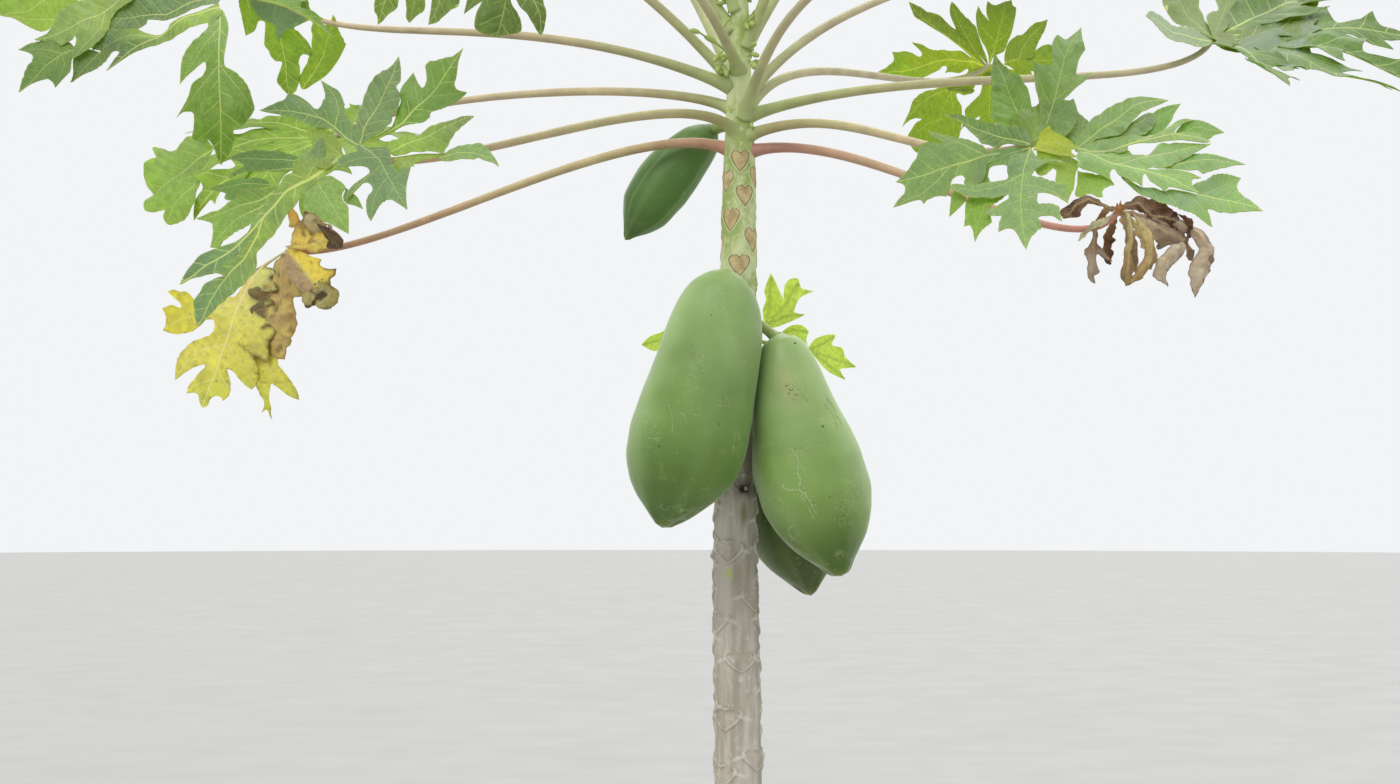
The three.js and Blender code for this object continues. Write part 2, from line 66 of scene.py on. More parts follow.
def lin(rgb):
    """A colour given as 0 to 255 in sRGB, as linear numbers."""
    c = np.asarray(rgb, float) / 255
    return np.where(c <= 0.04045, c / 12.92, ((c + 0.055) / 1.055) ** 2.4)


def direction(slope, bearing):
    s, b = math.radians(slope), math.radians(bearing)
    return np.array([math.cos(s) * math.cos(b), math.cos(s) * math.sin(b), math.sin(s)])


def unit(v):
    return v / np.maximum(np.linalg.norm(v, axis=-1, keepdims=True), 1e-12)


def smooth(a, b, x):
    t = np.clip((x - a) / (b - a), 0, 1)
    return t * t * (3 - 2 * t)


# ---------------------------------------------------------------- noise in code
_rng = np.random.default_rng(41)
_GRAD = unit(_rng.normal(size=(512, 3)))
_PERM = _rng.permutation(512)


def noise(p):
    """Smooth noise from about -1 to 1 at points p (n, 3)."""
    p = np.asarray(p, float)
    i = np.floor(p).astype(int)
    f = p - i
    w = f * f * f * (f * (f * 6 - 15) + 10)
    out = np.zeros(len(p))
    for dx in (0, 1):
        for dy in (0, 1):
            for dz in (0, 1):
                h = _PERM[(_PERM[(_PERM[(i[:, 0] + dx) % 512] + i[:, 1] + dy) % 512] + i[:, 2] + dz) % 512]
                g = _GRAD[h]
                dot = (g * (f - np.array([dx, dy, dz]))).sum(1)
                k = (
                    (w[:, 0] if dx else 1 - w[:, 0])
                    * (w[:, 1] if dy else 1 - w[:, 1])
                    * (w[:, 2] if dz else 1 - w[:, 2])
                )
                out += k * dot
    return out * 1.6


def fbm(p, n=3):
    p = np.asarray(p, float)
    return sum(noise(p * 2**k + 17.3 * k) / 2**k for k in range(n)) / 1.6


# ---------------------------------------------------------------- materials
class Look:
    """A material and the nodes in it."""

    def __init__(self, name):
        self.mat = bpy.data.materials.new(name)
        self.mat.use_nodes = True
        self.tree = self.mat.node_tree
        self.tree.nodes.clear()
        self.out = self.tree.nodes.new("ShaderNodeOutputMaterial")

    def node(self, kind, inputs=None, **props):
        n = self.tree.nodes.new("ShaderNode" + kind)
        for k, v in props.items():
            setattr(n, k, v)
        for k, v in (inputs or {}).items():
            if isinstance(v, bpy.types.NodeSocket):
                self.tree.links.new(v, n.inputs[k])
            else:
                n.inputs[k].default_value = v
        return n

    def math(self, op, a, b=None, c=None):
        n = self.node("Math", operation=op)
        for k, v in enumerate((a, b, c)):
            if v is None:
                continue
            if isinstance(v, bpy.types.NodeSocket):
                self.tree.links.new(v, n.inputs[k])
            else:
                n.inputs[k].default_value = v
        return n.outputs[0]

    def ramp(self, x, x0, x1, y0=0.0, y1=1.0, kind="SMOOTHSTEP"):
        n = self.node(
            "MapRange",
            {"Value": x, "From Min": x0, "From Max": x1, "To Min": y0, "To Max": y1},
            interpolation_type=kind,
        )
        return n.outputs[0]

    def mix(self, fac, a, b, blend="MIX"):
        n = self.node("Mix", data_type="RGBA", blend_type=blend)
        for k, v in ((0, fac), (6, a), (7, b)):
            if isinstance(v, bpy.types.NodeSocket):
                self.tree.links.new(v, n.inputs[k])
            else:
                n.inputs[k].default_value = v if k == 0 else (*[float(x) for x in v], 1.0)
        return n.outputs[2]

    def attr(self, name, colour=False):
        n = self.node("Attribute", attribute_name=name)
        return n.outputs["Color" if colour else "Fac"]

    def noise(self, vector, scale, detail=3.0, rough=0.55, distort=0.0):
        n = self.node(
            "TexNoise",
            {"Vector": vector, "Scale": scale, "Detail": detail, "Roughness": rough, "Distortion": distort},
        )
        return n.outputs[0]

    def place(self):
        return self.node("TexCoord").outputs["Object"]

    def stretched(self, x, y, z):
        n = self.node("Mapping", {"Vector": self.place(), "Scale": (x, y, z)})
        return n.outputs[0]


def leaf_look(name, pale, through, rough, dry=0.0, thin=0.42):
    """Ribs, side veins and a fine net drawn in each lobe's own place, over the colours dealt out on the mesh."""
    m = Look(name)
    sep = m.node("SeparateXYZ", {"Vector": m.node("UVMap", uv_map="lobe").outputs[0]})
    u, v = sep.outputs[0], sep.outputs[1]
    av, sg = m.math("ABSOLUTE", v), m.math("SIGN", v)
    flat = m.node("CombineXYZ", {"X": u, "Y": v}).outputs[0]
    wide = m.math("MULTIPLY_ADD", u, -0.0048, 0.0074)
    rib = m.ramp(m.math("DIVIDE", av, wide), 1.35, 0.7)
    bend = m.math("MULTIPLY", m.math("MULTIPLY", av, av), 0.9)
    b = m.math("ADD", m.math("MULTIPLY_ADD", av, -0.95, u), bend)
    b = m.math("SUBTRACT", m.math("MULTIPLY_ADD", sg, -0.03, b), 0.037)
    wob = m.noise(flat, 6.0, 2.0)
    b = m.math("ADD", b, m.math("MULTIPLY_ADD", wob, 0.03, -0.015))
    c = m.math("DIVIDE", b, 0.13)
    near = m.math("MULTIPLY", m.math("ABSOLUTE", m.math("SUBTRACT", m.math("FRACT", m.math("ADD", c, 10.5)), 0.5)), 0.094)
    w1 = m.math("MAXIMUM", m.math("MULTIPLY_ADD", av, -0.006, 0.003), 0.0012)
    side = m.ramp(m.math("DIVIDE", near, w1), 1.5, 0.6)
    near2 = m.math("MULTIPLY", m.math("ABSOLUTE", m.math("SUBTRACT", m.math("FRACT", m.math("ADD", c, 10.0)), 0.5)), 0.094)
    half = m.math("MULTIPLY", m.ramp(near2, 0.0021, 0.0008), m.ramp(av, 0.12, 0.05))
    cells = m.node("TexVoronoi", {"Vector": flat, "Scale": 30.0, "Randomness": 0.9}, feature="DISTANCE_TO_EDGE")
    net = m.ramp(cells.outputs["Distance"], 0.09, 0.02)
    mask = m.math("MAXIMUM", m.math("MULTIPLY", side, 0.72), rib)
    mask = m.math("MAXIMUM", mask, m.math("MULTIPLY", half, 0.4))
    mask = m.math("MAXIMUM", mask, m.math("MULTIPLY", net, 0.16))
    col = m.attr("col", True)
    spots = m.noise(flat, 11.0, 4.0, 0.6)
    shade = m.ramp(spots, 0.3, 0.7, 0.82, 1.14, "LINEAR")
    grey = m.node("CombineColor", {"Red": shade, "Green": shade, "Blue": shade}).outputs[0]
    base = m.mix(1.0, col, grey, "MULTIPLY")
    if dry:
        blot = m.ramp(m.noise(flat, 24.0, 5.0, 0.7), 0.5, 0.68)
        base = m.mix(m.math("MULTIPLY", blot, dry), base, lin((84, 58, 30)))
    face = m.mix(m.math("MULTIPLY", mask, 0.76), base, pale)
    glow = m.mix(1.0, face, through, "MULTIPLY")
    height = m.math("MULTIPLY_ADD", side, 0.55, rib)
    height = m.math("MULTIPLY_ADD", half, 0.22, height)
    height = m.math("MULTIPLY_ADD", net, 0.12, height)
    height = m.math("MULTIPLY", height, m.attr("face_side"))
    height = m.math("MULTIPLY_ADD", m.noise(flat, 70.0, 2.0), 0.35, height)
    bump = m.node("Bump", {"Strength": 0.55, "Distance": 0.0012, "Height": height})
    rg = m.ramp(spots, 0.3, 0.7, rough - 0.07, rough + 0.1, "LINEAR")
    solid = m.node(
        "BsdfPrincipled",
        {"Base Color": face, "Roughness": rg, "Specular IOR Level": 0.45, "Normal": bump.outputs[0]},
    )
    thru = m.node("BsdfTranslucent", {"Color": glow, "Normal": bump.outputs[0]})
    both = m.node("MixShader", {0: thin, 1: solid.outputs[0], 2: thru.outputs[0]})
    m.tree.links.new(both.outputs[0], m.out.inputs[0])
    return m.mat


def stalk_look():
    m = Look("leaf_stalk_skin")
    col = m.attr("col", True)
    streak = m.noise(m.place(), 34.0, 4.0, 0.6)
    shade = m.ramp(streak, 0.3, 0.7, 0.84, 1.13, "LINEAR")
    grey = m.node("CombineColor", {"Red": shade, "Green": shade, "Blue": shade}).outputs[0]
    base = m.mix(1.0, col, grey, "MULTIPLY")
    fleck = m.ramp(m.noise(m.place(), 260.0, 2.0), 0.66, 0.74)
    base = m.mix(m.math("MULTIPLY", fleck, 0.35), base, lin((198, 196, 160)))
    line = m.noise(m.node("UVMap", uv_map="along").outputs[0], 26.0, 3.0)
    bump = m.node("Bump", {"Strength": 0.35, "Distance": 0.0012, "Height": m.math("ADD", line, fleck)})
    rg = m.ramp(streak, 0.3, 0.7, 0.36, 0.5, "LINEAR")
    s = m.node("BsdfPrincipled", {"Base Color": base, "Roughness": rg, "Specular IOR Level": 0.42, "Normal": bump.outputs[0]})
    m.tree.links.new(s.outputs[0], m.out.inputs[0])
    return m.mat


def bark_look():
    m = Look("trunk_bark")
    green, d, mark = m.attr("green"), m.attr("scar"), m.attr("mark", True)
    fine = m.noise(m.place(), 90.0, 5.0, 0.62)
    run = m.noise(m.stretched(60, 60, 7), 1.0, 4.0, 0.6)
    blot = m.noise(m.stretched(16, 16, 9), 1.0, 3.0)
    tube = m.noise(m.stretched(36, 36, 18), 1.0, 4.0, 0.65)
    # young green bark above
    g = m.mix(m.ramp(tube, 0.36, 0.6), lin((164, 182, 108)), lin((212, 220, 170)))
    g = m.mix(m.ramp(fine, 0.55, 0.68, 0, 0.6), g, lin((226, 230, 196)))
    g = m.mix(m.ramp(fine, 0.42, 0.3, 0, 0.5), g, lin((116, 142, 74)))
    # grey bark below
    k = m.mix(m.ramp(run, 0.36, 0.66), lin((168, 159, 145)), lin((202, 196, 183)))
    k = m.mix(m.ramp(blot, 0.55, 0.72, 0, 0.5), k, lin((134, 124, 106)))
    k = m.mix(m.ramp(fine, 0.57, 0.7, 0, 0.6), k, lin((218, 213, 201)))
    k = m.mix(m.ramp(run, 0.36, 0.27, 0, 0.34), k, lin((128, 117, 101)))
    k = m.mix(m.ramp(m.math("MULTIPLY", blot, fine), 0.3, 0.38, 0, 0.35), k, lin((150, 158, 106)))
    base = m.mix(green, k, g)
    tan = m.mix(m.ramp(fine, 0.38, 0.62), lin((184, 160, 114)), lin((214, 194, 150)))
    old = m.mix(m.ramp(fine, 0.36, 0.64), lin((158, 148, 133)), lin((194, 186, 172)))
    fill = m.mix(green, old, tan)
    base = m.mix(m.math("MULTIPLY", m.ramp(d, 0.2, 0.9), m.ramp(green, 0.0, 1.0, 0.35, 1.0)), base, fill)
    edge = m.ramp(m.math("ABSOLUTE", m.math("SUBTRACT", d, 0.35)), 0.75, 0.2)
    mark_tone = m.mix(green, lin((112, 100, 84)), lin((98, 88, 52)))
    base = m.mix(m.math("MULTIPLY", edge, m.ramp(green, 0.0, 1.0, 0.34, 0.9)), base, mark_tone)
    rim = m.ramp(m.math("ABSOLUTE", m.math("ADD", d, 1.3)), 1.1, 0.3)
    broad = m.math("MULTIPLY", m.ramp(m.math("ABSOLUTE", m.math("ADD", d, 2.0)), 2.9, 0.3), m.ramp(green, 0.5, 0.0, 0.0, 0.62))
    rim = m.mix(m.ramp(green, 0.0, 0.5), broad, rim)
    rim = m.math("MULTIPLY", rim, m.ramp(m.noise(m.place(), 55.0, 2.0), 0.3, 0.62, 0.35, 1.0))
    # painted shade: a darker band just below the ledge of each old scar
    under = m.math("MULTIPLY", m.ramp(m.math("ABSOLUTE", m.math("ADD", d, 5.2)), 2.2, 0.4), m.ramp(green, 0.5, 0.0, 0.0, 0.34))
    base = m.mix(under, base, lin((134, 122, 106)))
    lip = m.mix(green, lin((222, 216, 203)), lin((214, 222, 178)))
    base = m.mix(m.math("MULTIPLY", m.math("MAXIMUM", rim, m.attr("pale")), 0.85), base, lip)
    base = m.mix(m.attr("mark_on"), base, mark)
    h = m.math("MULTIPLY_ADD", run, 0.9, m.math("MULTIPLY", fine, 0.8))
    h = m.math("MULTIPLY_ADD", edge, -0.5, h)
    bump = m.node("Bump", {"Strength": 0.6, "Distance": 0.0016, "Height": h})
    rg = m.ramp(fine, 0.3, 0.7, 0.62, 0.86, "LINEAR")
    s = m.node("BsdfPrincipled", {"Base Color": base, "Roughness": rg, "Specular IOR Level": 0.3, "Normal": bump.outputs[0]})
    m.tree.links.new(s.outputs[0], m.out.inputs[0])
    return m.mat


def fruit_look():
    m = Look("fruit_skin")
    col = m.attr("col", True)
    big = m.noise(m.place(), 13.0, 3.0)
    shade = m.ramp(big, 0.3, 0.7, 0.9, 1.09, "LINEAR")
    grey = m.node("CombineColor", {"Red": shade, "Green": shade, "Blue": shade}).outputs[0]
    base = m.mix(1.0, col, grey, "MULTIPLY")
    fine = m.noise(m.place(), 210.0, 3.0, 0.6)
    base = m.mix(m.ramp(fine, 0.6, 0.76, 0, 0.32), base, lin((166, 190, 128)))
    patch = m.ramp(m.noise(m.place(), 17.0, 2.0), 0.52, 0.66)
    lines = m.noise(m.place(), 42.0, 2.0, 0.5, 2.4)
    lines = m.ramp(m.math("ABSOLUTE", m.math("SUBTRACT", lines, 0.5)), 0.018, 0.004)
    scuff = m.math("MULTIPLY", m.math("MULTIPLY", lines, patch), 0.5)
    base = m.mix(scuff, base, lin((186, 198, 140)))
    haze = m.math("MULTIPLY", m.ramp(m.noise(m.place(), 46.0, 4.0, 0.7), 0.54, 0.72), m.math("MULTIPLY", patch, 0.42))
    base = m.mix(haze, base, lin((170, 194, 138)))
    dots = m.node("TexVoronoi", {"Vector": m.place(), "Scale": 62.0}, feature="F1").outputs["Distance"]
    few = m.ramp(m.noise(m.place(), 30.0, 1.0), 0.6, 0.64)
    dots = m.math("MULTIPLY", m.ramp(dots, 0.1, 0.05), few)
    base = m.mix(m.math("MULTIPLY", dots, 0.7), base, lin((74, 92, 44)))
    h = m.math("MULTIPLY_ADD", fine, 0.5, m.math("MULTIPLY", big, 1.4))
    h = m.math("MULTIPLY_ADD", scuff, 0.4, h)
    bump = m.node("Bump", {"Strength": 0.25, "Distance": 0.0015, "Height": h})
    rg = m.ramp(m.noise(m.place(), 40.0, 3.0), 0.3, 0.7, 0.36, 0.52, "LINEAR")
    s = m.node(
        "BsdfPrincipled",
        {
            "Base Color": base, "Roughness": rg, "Specular IOR Level": 0.42, "Normal": bump.outputs[0],
            "Sheen Weight": 0.42, "Sheen Roughness": 0.36, "Sheen Tint": (0.86, 1.0, 0.74, 1.0),
        },
    )
    m.tree.links.new(s.outputs[0], m.out.inputs[0])
    return m.mat


# ---------------------------------------------------------------- mesh helpers
def piece(name, verts, faces, mat, nodes, colours=None, floats=None, sharp=None):
    me = bpy.data.meshes.new(name)
    me.from_pydata(np.asarray(verts, float).tolist(), [], faces)
    me.polygons.foreach_set("use_smooth", np.ones(len(me.polygons), bool))
    for k, v in (colours or {}).items():
        a = me.attributes.new(k, "FLOAT_COLOR", "POINT")
        rgba = np.ones((len(me.vertices), 4), np.float32)
        rgba[:, :3] = np.clip(v, 0, 1)
        a.data.foreach_set("color", rgba.ravel())
    for k, v in (floats or {}).items():
        a = me.attributes.new(k, "FLOAT", "POINT")
        a.data.foreach_set("value", np.asarray(v, np.float32))
    me.update()
    if sharp:
        me.set_sharp_from_angle(angle=math.radians(sharp))
    me.materials.append(mat)
    o = bpy.data.objects.new(name, me)
    bpy.context.scene.collection.objects.link(o)
    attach(o, "root")
    if nodes:
        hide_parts(*nodes)
    return o


def frames(path):
    """Two directions across the path at each of its points, turning as little as they can."""
    t = unit(np.gradient(path, axis=0))
    a = np.cross(t[0], UP)
    if np.linalg.norm(a) < 0.1:
        a = np.cross(t[0], RIGHT)
    a = unit(a)
    first, second = [], []
    for k in range(len(path)):
        a = unit(a - t[k] * (a @ t[k]))
        first.append(a)
        second.append(np.cross(t[k], a))
    return t, np.array(first), np.array(second)


def tube(path, radii, sides, squash=None):
    """A tube along path: verts, faces, and for each vert its place along (0 to 1) and its angle."""
    t, a, b = frames(path)
    n = len(path)
    ang = np.arange(sides) * 2 * math.pi / sides
    ring = np.cos(ang)[None, :, None] * a[:, None] + np.sin(ang)[None, :, None] * b[:, None]
    r = np.asarray(radii, float)
    v = (path[:, None] + ring * r[:, None, None]).reshape(-1, 3)
    v = np.vstack([v, path[0], path[-1] + t[-1] * r[-1] * 0.5])
    faces = []
    for i in range(n - 1):
        p, q = i * sides, (i + 1) * sides
        for j in range(sides):
            k = (j + 1) % sides
            faces.append((p + j, p + k, q + k, q + j))
    last = (n - 1) * sides
    for j in range(sides):
        k = (j + 1) % sides
        faces.append((n * sides, k, j))
        faces.append((n * sides + 1, last + j, last + k))
    along = np.append(np.repeat(np.linspace(0, 1, n), sides), [0, 1])
    angle = np.append(np.tile(ang, n), [0, 0])
    nrm = np.vstack([ring.reshape(-1, 3), -t[:1], t[-1:]])
    return v, faces, along, angle, nrm


def uv_of(o, name, uv):
    """A UV map given by vertex."""
    me = o.data
    idx = np.zeros(len(me.loops), np.int32)
    me.loops.foreach_get("vertex_index", idx)
    layer = me.uv_layers.new(name=name)
    layer.uv.foreach_set("vector", np.asarray(uv, np.float32)[idx].ravel())


# ---------------------------------------------------------------- trunk
TRUNK_RADII = np.array(
    [[0, 53], [60, 45], [230, 40], [600, 35.5], [1083, 30.3], [1320, 28], [1420, 26.5], [1776, 22.8], [1860, 21.5],
     [1910, 20], [1940, 18.2], [1980, 16.5], [2030, 14.5], [2107, 11.5], [2190, 6]], float)
TRUNK_LINE = np.array([[0, 0], [1083, 0], [1190, -1], [1320, -3.3], [1420, -4], [1776, 1], [1895, 2], [2190, 3]], float)


def trunk_centre(z):
    """z in mm; x in mm."""
    return np.interp(z, TRUNK_LINE[:, 0], TRUNK_LINE[:, 1])


def trunk_radius(z):
    return np.interp(z, TRUNK_RADII[:, 0], TRUNK_RADII[:, 1])


SCAR_EDGE = np.array(
    [[-1, 0], [-0.88, 0.13], [-0.6, 0.37], [-0.25, 0.66], [0.1, 0.88], [0.35, 0.98], [0.58, 1.0], [0.78, 0.88], [0.93, 0.6], [1.04, 0.0]])


def scar_field(s, t, w, h):
    """Signed distance in mm, above 0 inside a shield with a notched top: s across, t up, in mm."""
    x, y = s / (w / 2), t / (h / 2)
    half = np.interp(y, SCAR_EDGE[:, 0], SCAR_EDGE[:, 1], left=-1, right=-1)
    half = np.where(y < -1, (y + 1) * 1.2, half)
    half = np.where(y > 1.05, (1.05 - y) * 1.2, half)
    sides = (half - np.abs(x)) * (w / 2) * 0.8
    top = (1.0 - 0.3 * np.exp(-((x / 0.2) ** 2)) - y) * (h / 2) * 0.9
    return np.minimum(sides, top)


def trunk_height_at(py, radius=0.024):
    return at(735, py, -radius)[2] * 1000


# (height mm, bearing from the front in degrees to the right, width, height)
SCARS = []
for px, py, turn, w, h in (
    (738, 160, 3, 25, 29), (753.5, 176, 68, 22, 30), (727, 180, -50, 22, 30), (745, 195, 20, 24, 29), (731, 219, -30, 25, 31),
    (752.5, 239, 50, 25, 33), (720.5, 246, -82, 22, 32), (738, 265, 2, 29, 30),
):
    SCARS.append([trunk_height_at(py), turn, w, h])
for px, py, turn, w, h in (
    (729, 552, -22, 34, 26), (752, 599, 56, 34, 28), (719, 622, -62, 34, 26), (741, 661, 10, 37, 25), (725, 719, -32, 36, 26),
    (752, 759, 50, 36, 27), (744, 484, 20, 28, 24), (722, 776, -44, 34, 26),
):
    SCARS.append([trunk_height_at(py, 0.028), turn, w, h])
_own = np.random.default_rng(7)
_turn = 20.0
for z in np.arange(1060, 320, -24.0):
    _turn += 137.5
    SCARS.append([z + _own.uniform(-4, 4), _turn % 360, 35 + (1060 - z) * 0.014, 26])
_tries = 0
while _tries < 3000:
    _tries += 1
    z, turn = _own.uniform(1110, 1850), _own.uniform(88, 272)
    far = min(
        math.hypot(z - s[0], (abs((turn - s[1] + 180) % 360 - 180)) * math.pi / 180 * trunk_radius(z)) for s in SCARS
    )
    if far > 27:
        SCARS.append([z, turn, 23 if z > 1500 else 27, 27])
for z, turn in ((1700, -35), (1672, 32), (1646, -8), (1610, 44), (1585, -40), (1552, 10), (1518, -30)):
    SCARS.append([z, turn, 24, 26])


def build_trunk():
    zs = np.concatenate([np.arange(0, 1070, 4.4), np.arange(1070, 2189, 2.25), [2190]])
    sides = 116
    ang = np.arange(sides) * 2 * math.pi / sides
    Z, A = np.meshgrid(zs, ang, indexing="ij")
    base = trunk_radius(zs)
    pad = np.pad(base, 10, mode="edge")
    base = np.convolve(pad, np.ones(21) / 21, "valid")
    R = np.repeat(base[:, None], sides, 1)
    flare = np.clip(1 - Z / 230, 0, 1) ** 2
    R = R * (1 + 0.13 * flare * np.cos(5 * A + 0.6))
    flat = np.stack([np.cos(A) * 30, np.sin(A) * 30, Z], -1).reshape(-1, 3)
    low = 1 - smooth(1450, 1760, Z)
    ridges = fbm(flat * np.array([0.12, 0.12, 0.014]), 3).reshape(Z.shape)
    knots = fbm(flat * np.array([0.045, 0.045, 0.03]) + 9, 2).reshape(Z.shape)
    R = R + ridges * (0.5 + 0.25 * low) + knots * (0.5 + 0.9 * low)
    field = np.full(Z.shape, -60.0)
    pale = np.zeros(Z.shape)
    for z0, turn, w, h in SCARS:
        rows = np.abs(zs - z0) < h * 2.6
        a0 = math.radians(turn - 90)
        da = (A[rows] - a0 + math.pi) % (2 * math.pi) - math.pi
        s, t = da * R[rows], Z[rows] - z0
        d = scar_field(s, t, w, h)
        field[rows] = np.maximum(field[rows], d)
        old = low[rows]
        rim = np.exp(-(((d + 1.2 + 0.8 * old) / (1.5 + 0.9 * old)) ** 2)) * (0.95 + 1.2 * old)
        dish = smooth(0.5, 3.0, d) * (0.55 - 0.35 * old)
        bud = np.exp(-((s / 2.6) ** 2) - ((t - h * 0.64) / 3.4) ** 2) * (1.3 + 0.9 * old)
        seat = np.exp(-((s / (w * 0.42)) ** 2) - ((t + h * 0.1) / (h * 0.5)) ** 2) * (0.7 + 0.8 * old)
        wing = np.exp(-(((t - h * 0.36 + np.abs(s) * 0.34) / 2.0) ** 2)) * smooth(w * 0.4, w * 0.52, np.abs(s))
        wing = wing * (1 - smooth(w * 0.75, w * 1.15, np.abs(s))) * (0.6 + 0.7 * old)
        R[rows] += rim - dish + bud + seat + wing
        pale[rows] = np.maximum(pale[rows], np.clip(wing * 0.75, 0, 1))
    x = trunk_centre(Z) + R * np.cos(A)
    y = R * np.sin(A)
    V = np.stack([x, y, Z], -1).reshape(-1, 3)
    green = smooth(1440, 1760, Z + 40 * ridges).reshape(-1)
    # marks: a broad pale patch of painted light, the hollow under the fruits painted dark as shade with a pale drop in
    # it, green streaks and a lime patch
    spot = np.zeros(len(V))
    mark_tone = np.tile(lin((60, 52, 40)), (len(V), 1))

    def mark(px, py, wx, wy, colour, strength, shape=2.0):
        p = at(px, py, -0.026) * 1000
        front = V[:, 1] < 4
        k = np.exp(-((np.abs(V[:, 0] - p[0]) / wx) ** shape) - (np.abs(V[:, 2] - p[2]) / wy) ** shape) * strength * front
        k = k[:, None]
        mark_tone[:] = mark_tone * (1 - k) + lin(colour) * k
        spot[:] = np.maximum(spot, k[:, 0])

    # painted light: a broad pale patch where the fruits shade the trunk
    mark(735, 590, 44, 52, (212, 206, 192), 0.42)
    mark(729, 573, 4.6, 8.5, (186, 196, 88), 0.95)
    mark(744, 513, 4.2, 15, (128, 136, 68), 0.85)
    mark(752, 610, 2.6, 22, (168, 170, 96), 0.6)
    mark(753, 545, 2.2, 12, (150, 146, 80), 0.5)
    # painted shade: a dark surround and a near-black centre paint the shade in the hollow under the fruits
    mark(744, 489, 13.0, 13.0, (112, 102, 84), 0.75, 2)
    mark(744, 489, 8.6, 7.6, (34, 26, 20), 0.98, 4)
    mark(746, 488.5, 1.9, 1.9, (232, 226, 220), 1.0, 4)
    mark(742, 648, 2.4, 4.0, (208, 196, 160), 0.8)
    mark(728, 541, 2.4, 4.0, (206, 196, 164), 0.7)
    n = len(zs)
    faces = []
    for i in range(n - 1):
        p, q = i * sides, (i + 1) * sides
        for j in range(sides):
            k = (j + 1) % sides
            faces.append((p + j, p + k, q + k, q + j))
    V = np.vstack([V, [[0, 0, 0], [trunk_centre(2190), 0, 2193]]])
    last = (n - 1) * sides
    for j in range(sides):
        k = (j + 1) % sides
        faces.append((n * sides, k, j))
        faces.append((n * sides + 1, last + j, last + k))
    V[:, 2] = np.maximum(V[:, 2], 0)
    fld = np.append(field.reshape(-1), [-60, -60])
    green = np.append(green, [0, 1])
    o = piece(
        "trunk_bark", V * MM, faces, bark_look(), ["trunk"],
        {"mark": np.vstack([mark_tone, mark_tone[:2]])},
        {"green": green, "scar": fld, "mark_on": np.append(spot, [0, 0]), "pale": np.append(pale.reshape(-1), [0, 0])},
    )
    return o


# ---------------------------------------------------------------- leaves
def fan(sag, kind=7):
    rows = {
        7: [[-138, 0.6], [-92, 0.8], [-46, 0.94], [0, 1], [46, 0.94], [92, 0.8], [138, 0.6]],
        5: [[-104, 0.55], [-52, 0.85], [0, 1], [52, 0.85], [104, 0.55]],
        3: [[-58, 0.8], [0, 1], [58, 0.8]],
    }[kind]
    return [[a, b, sag] for a, b in rows]


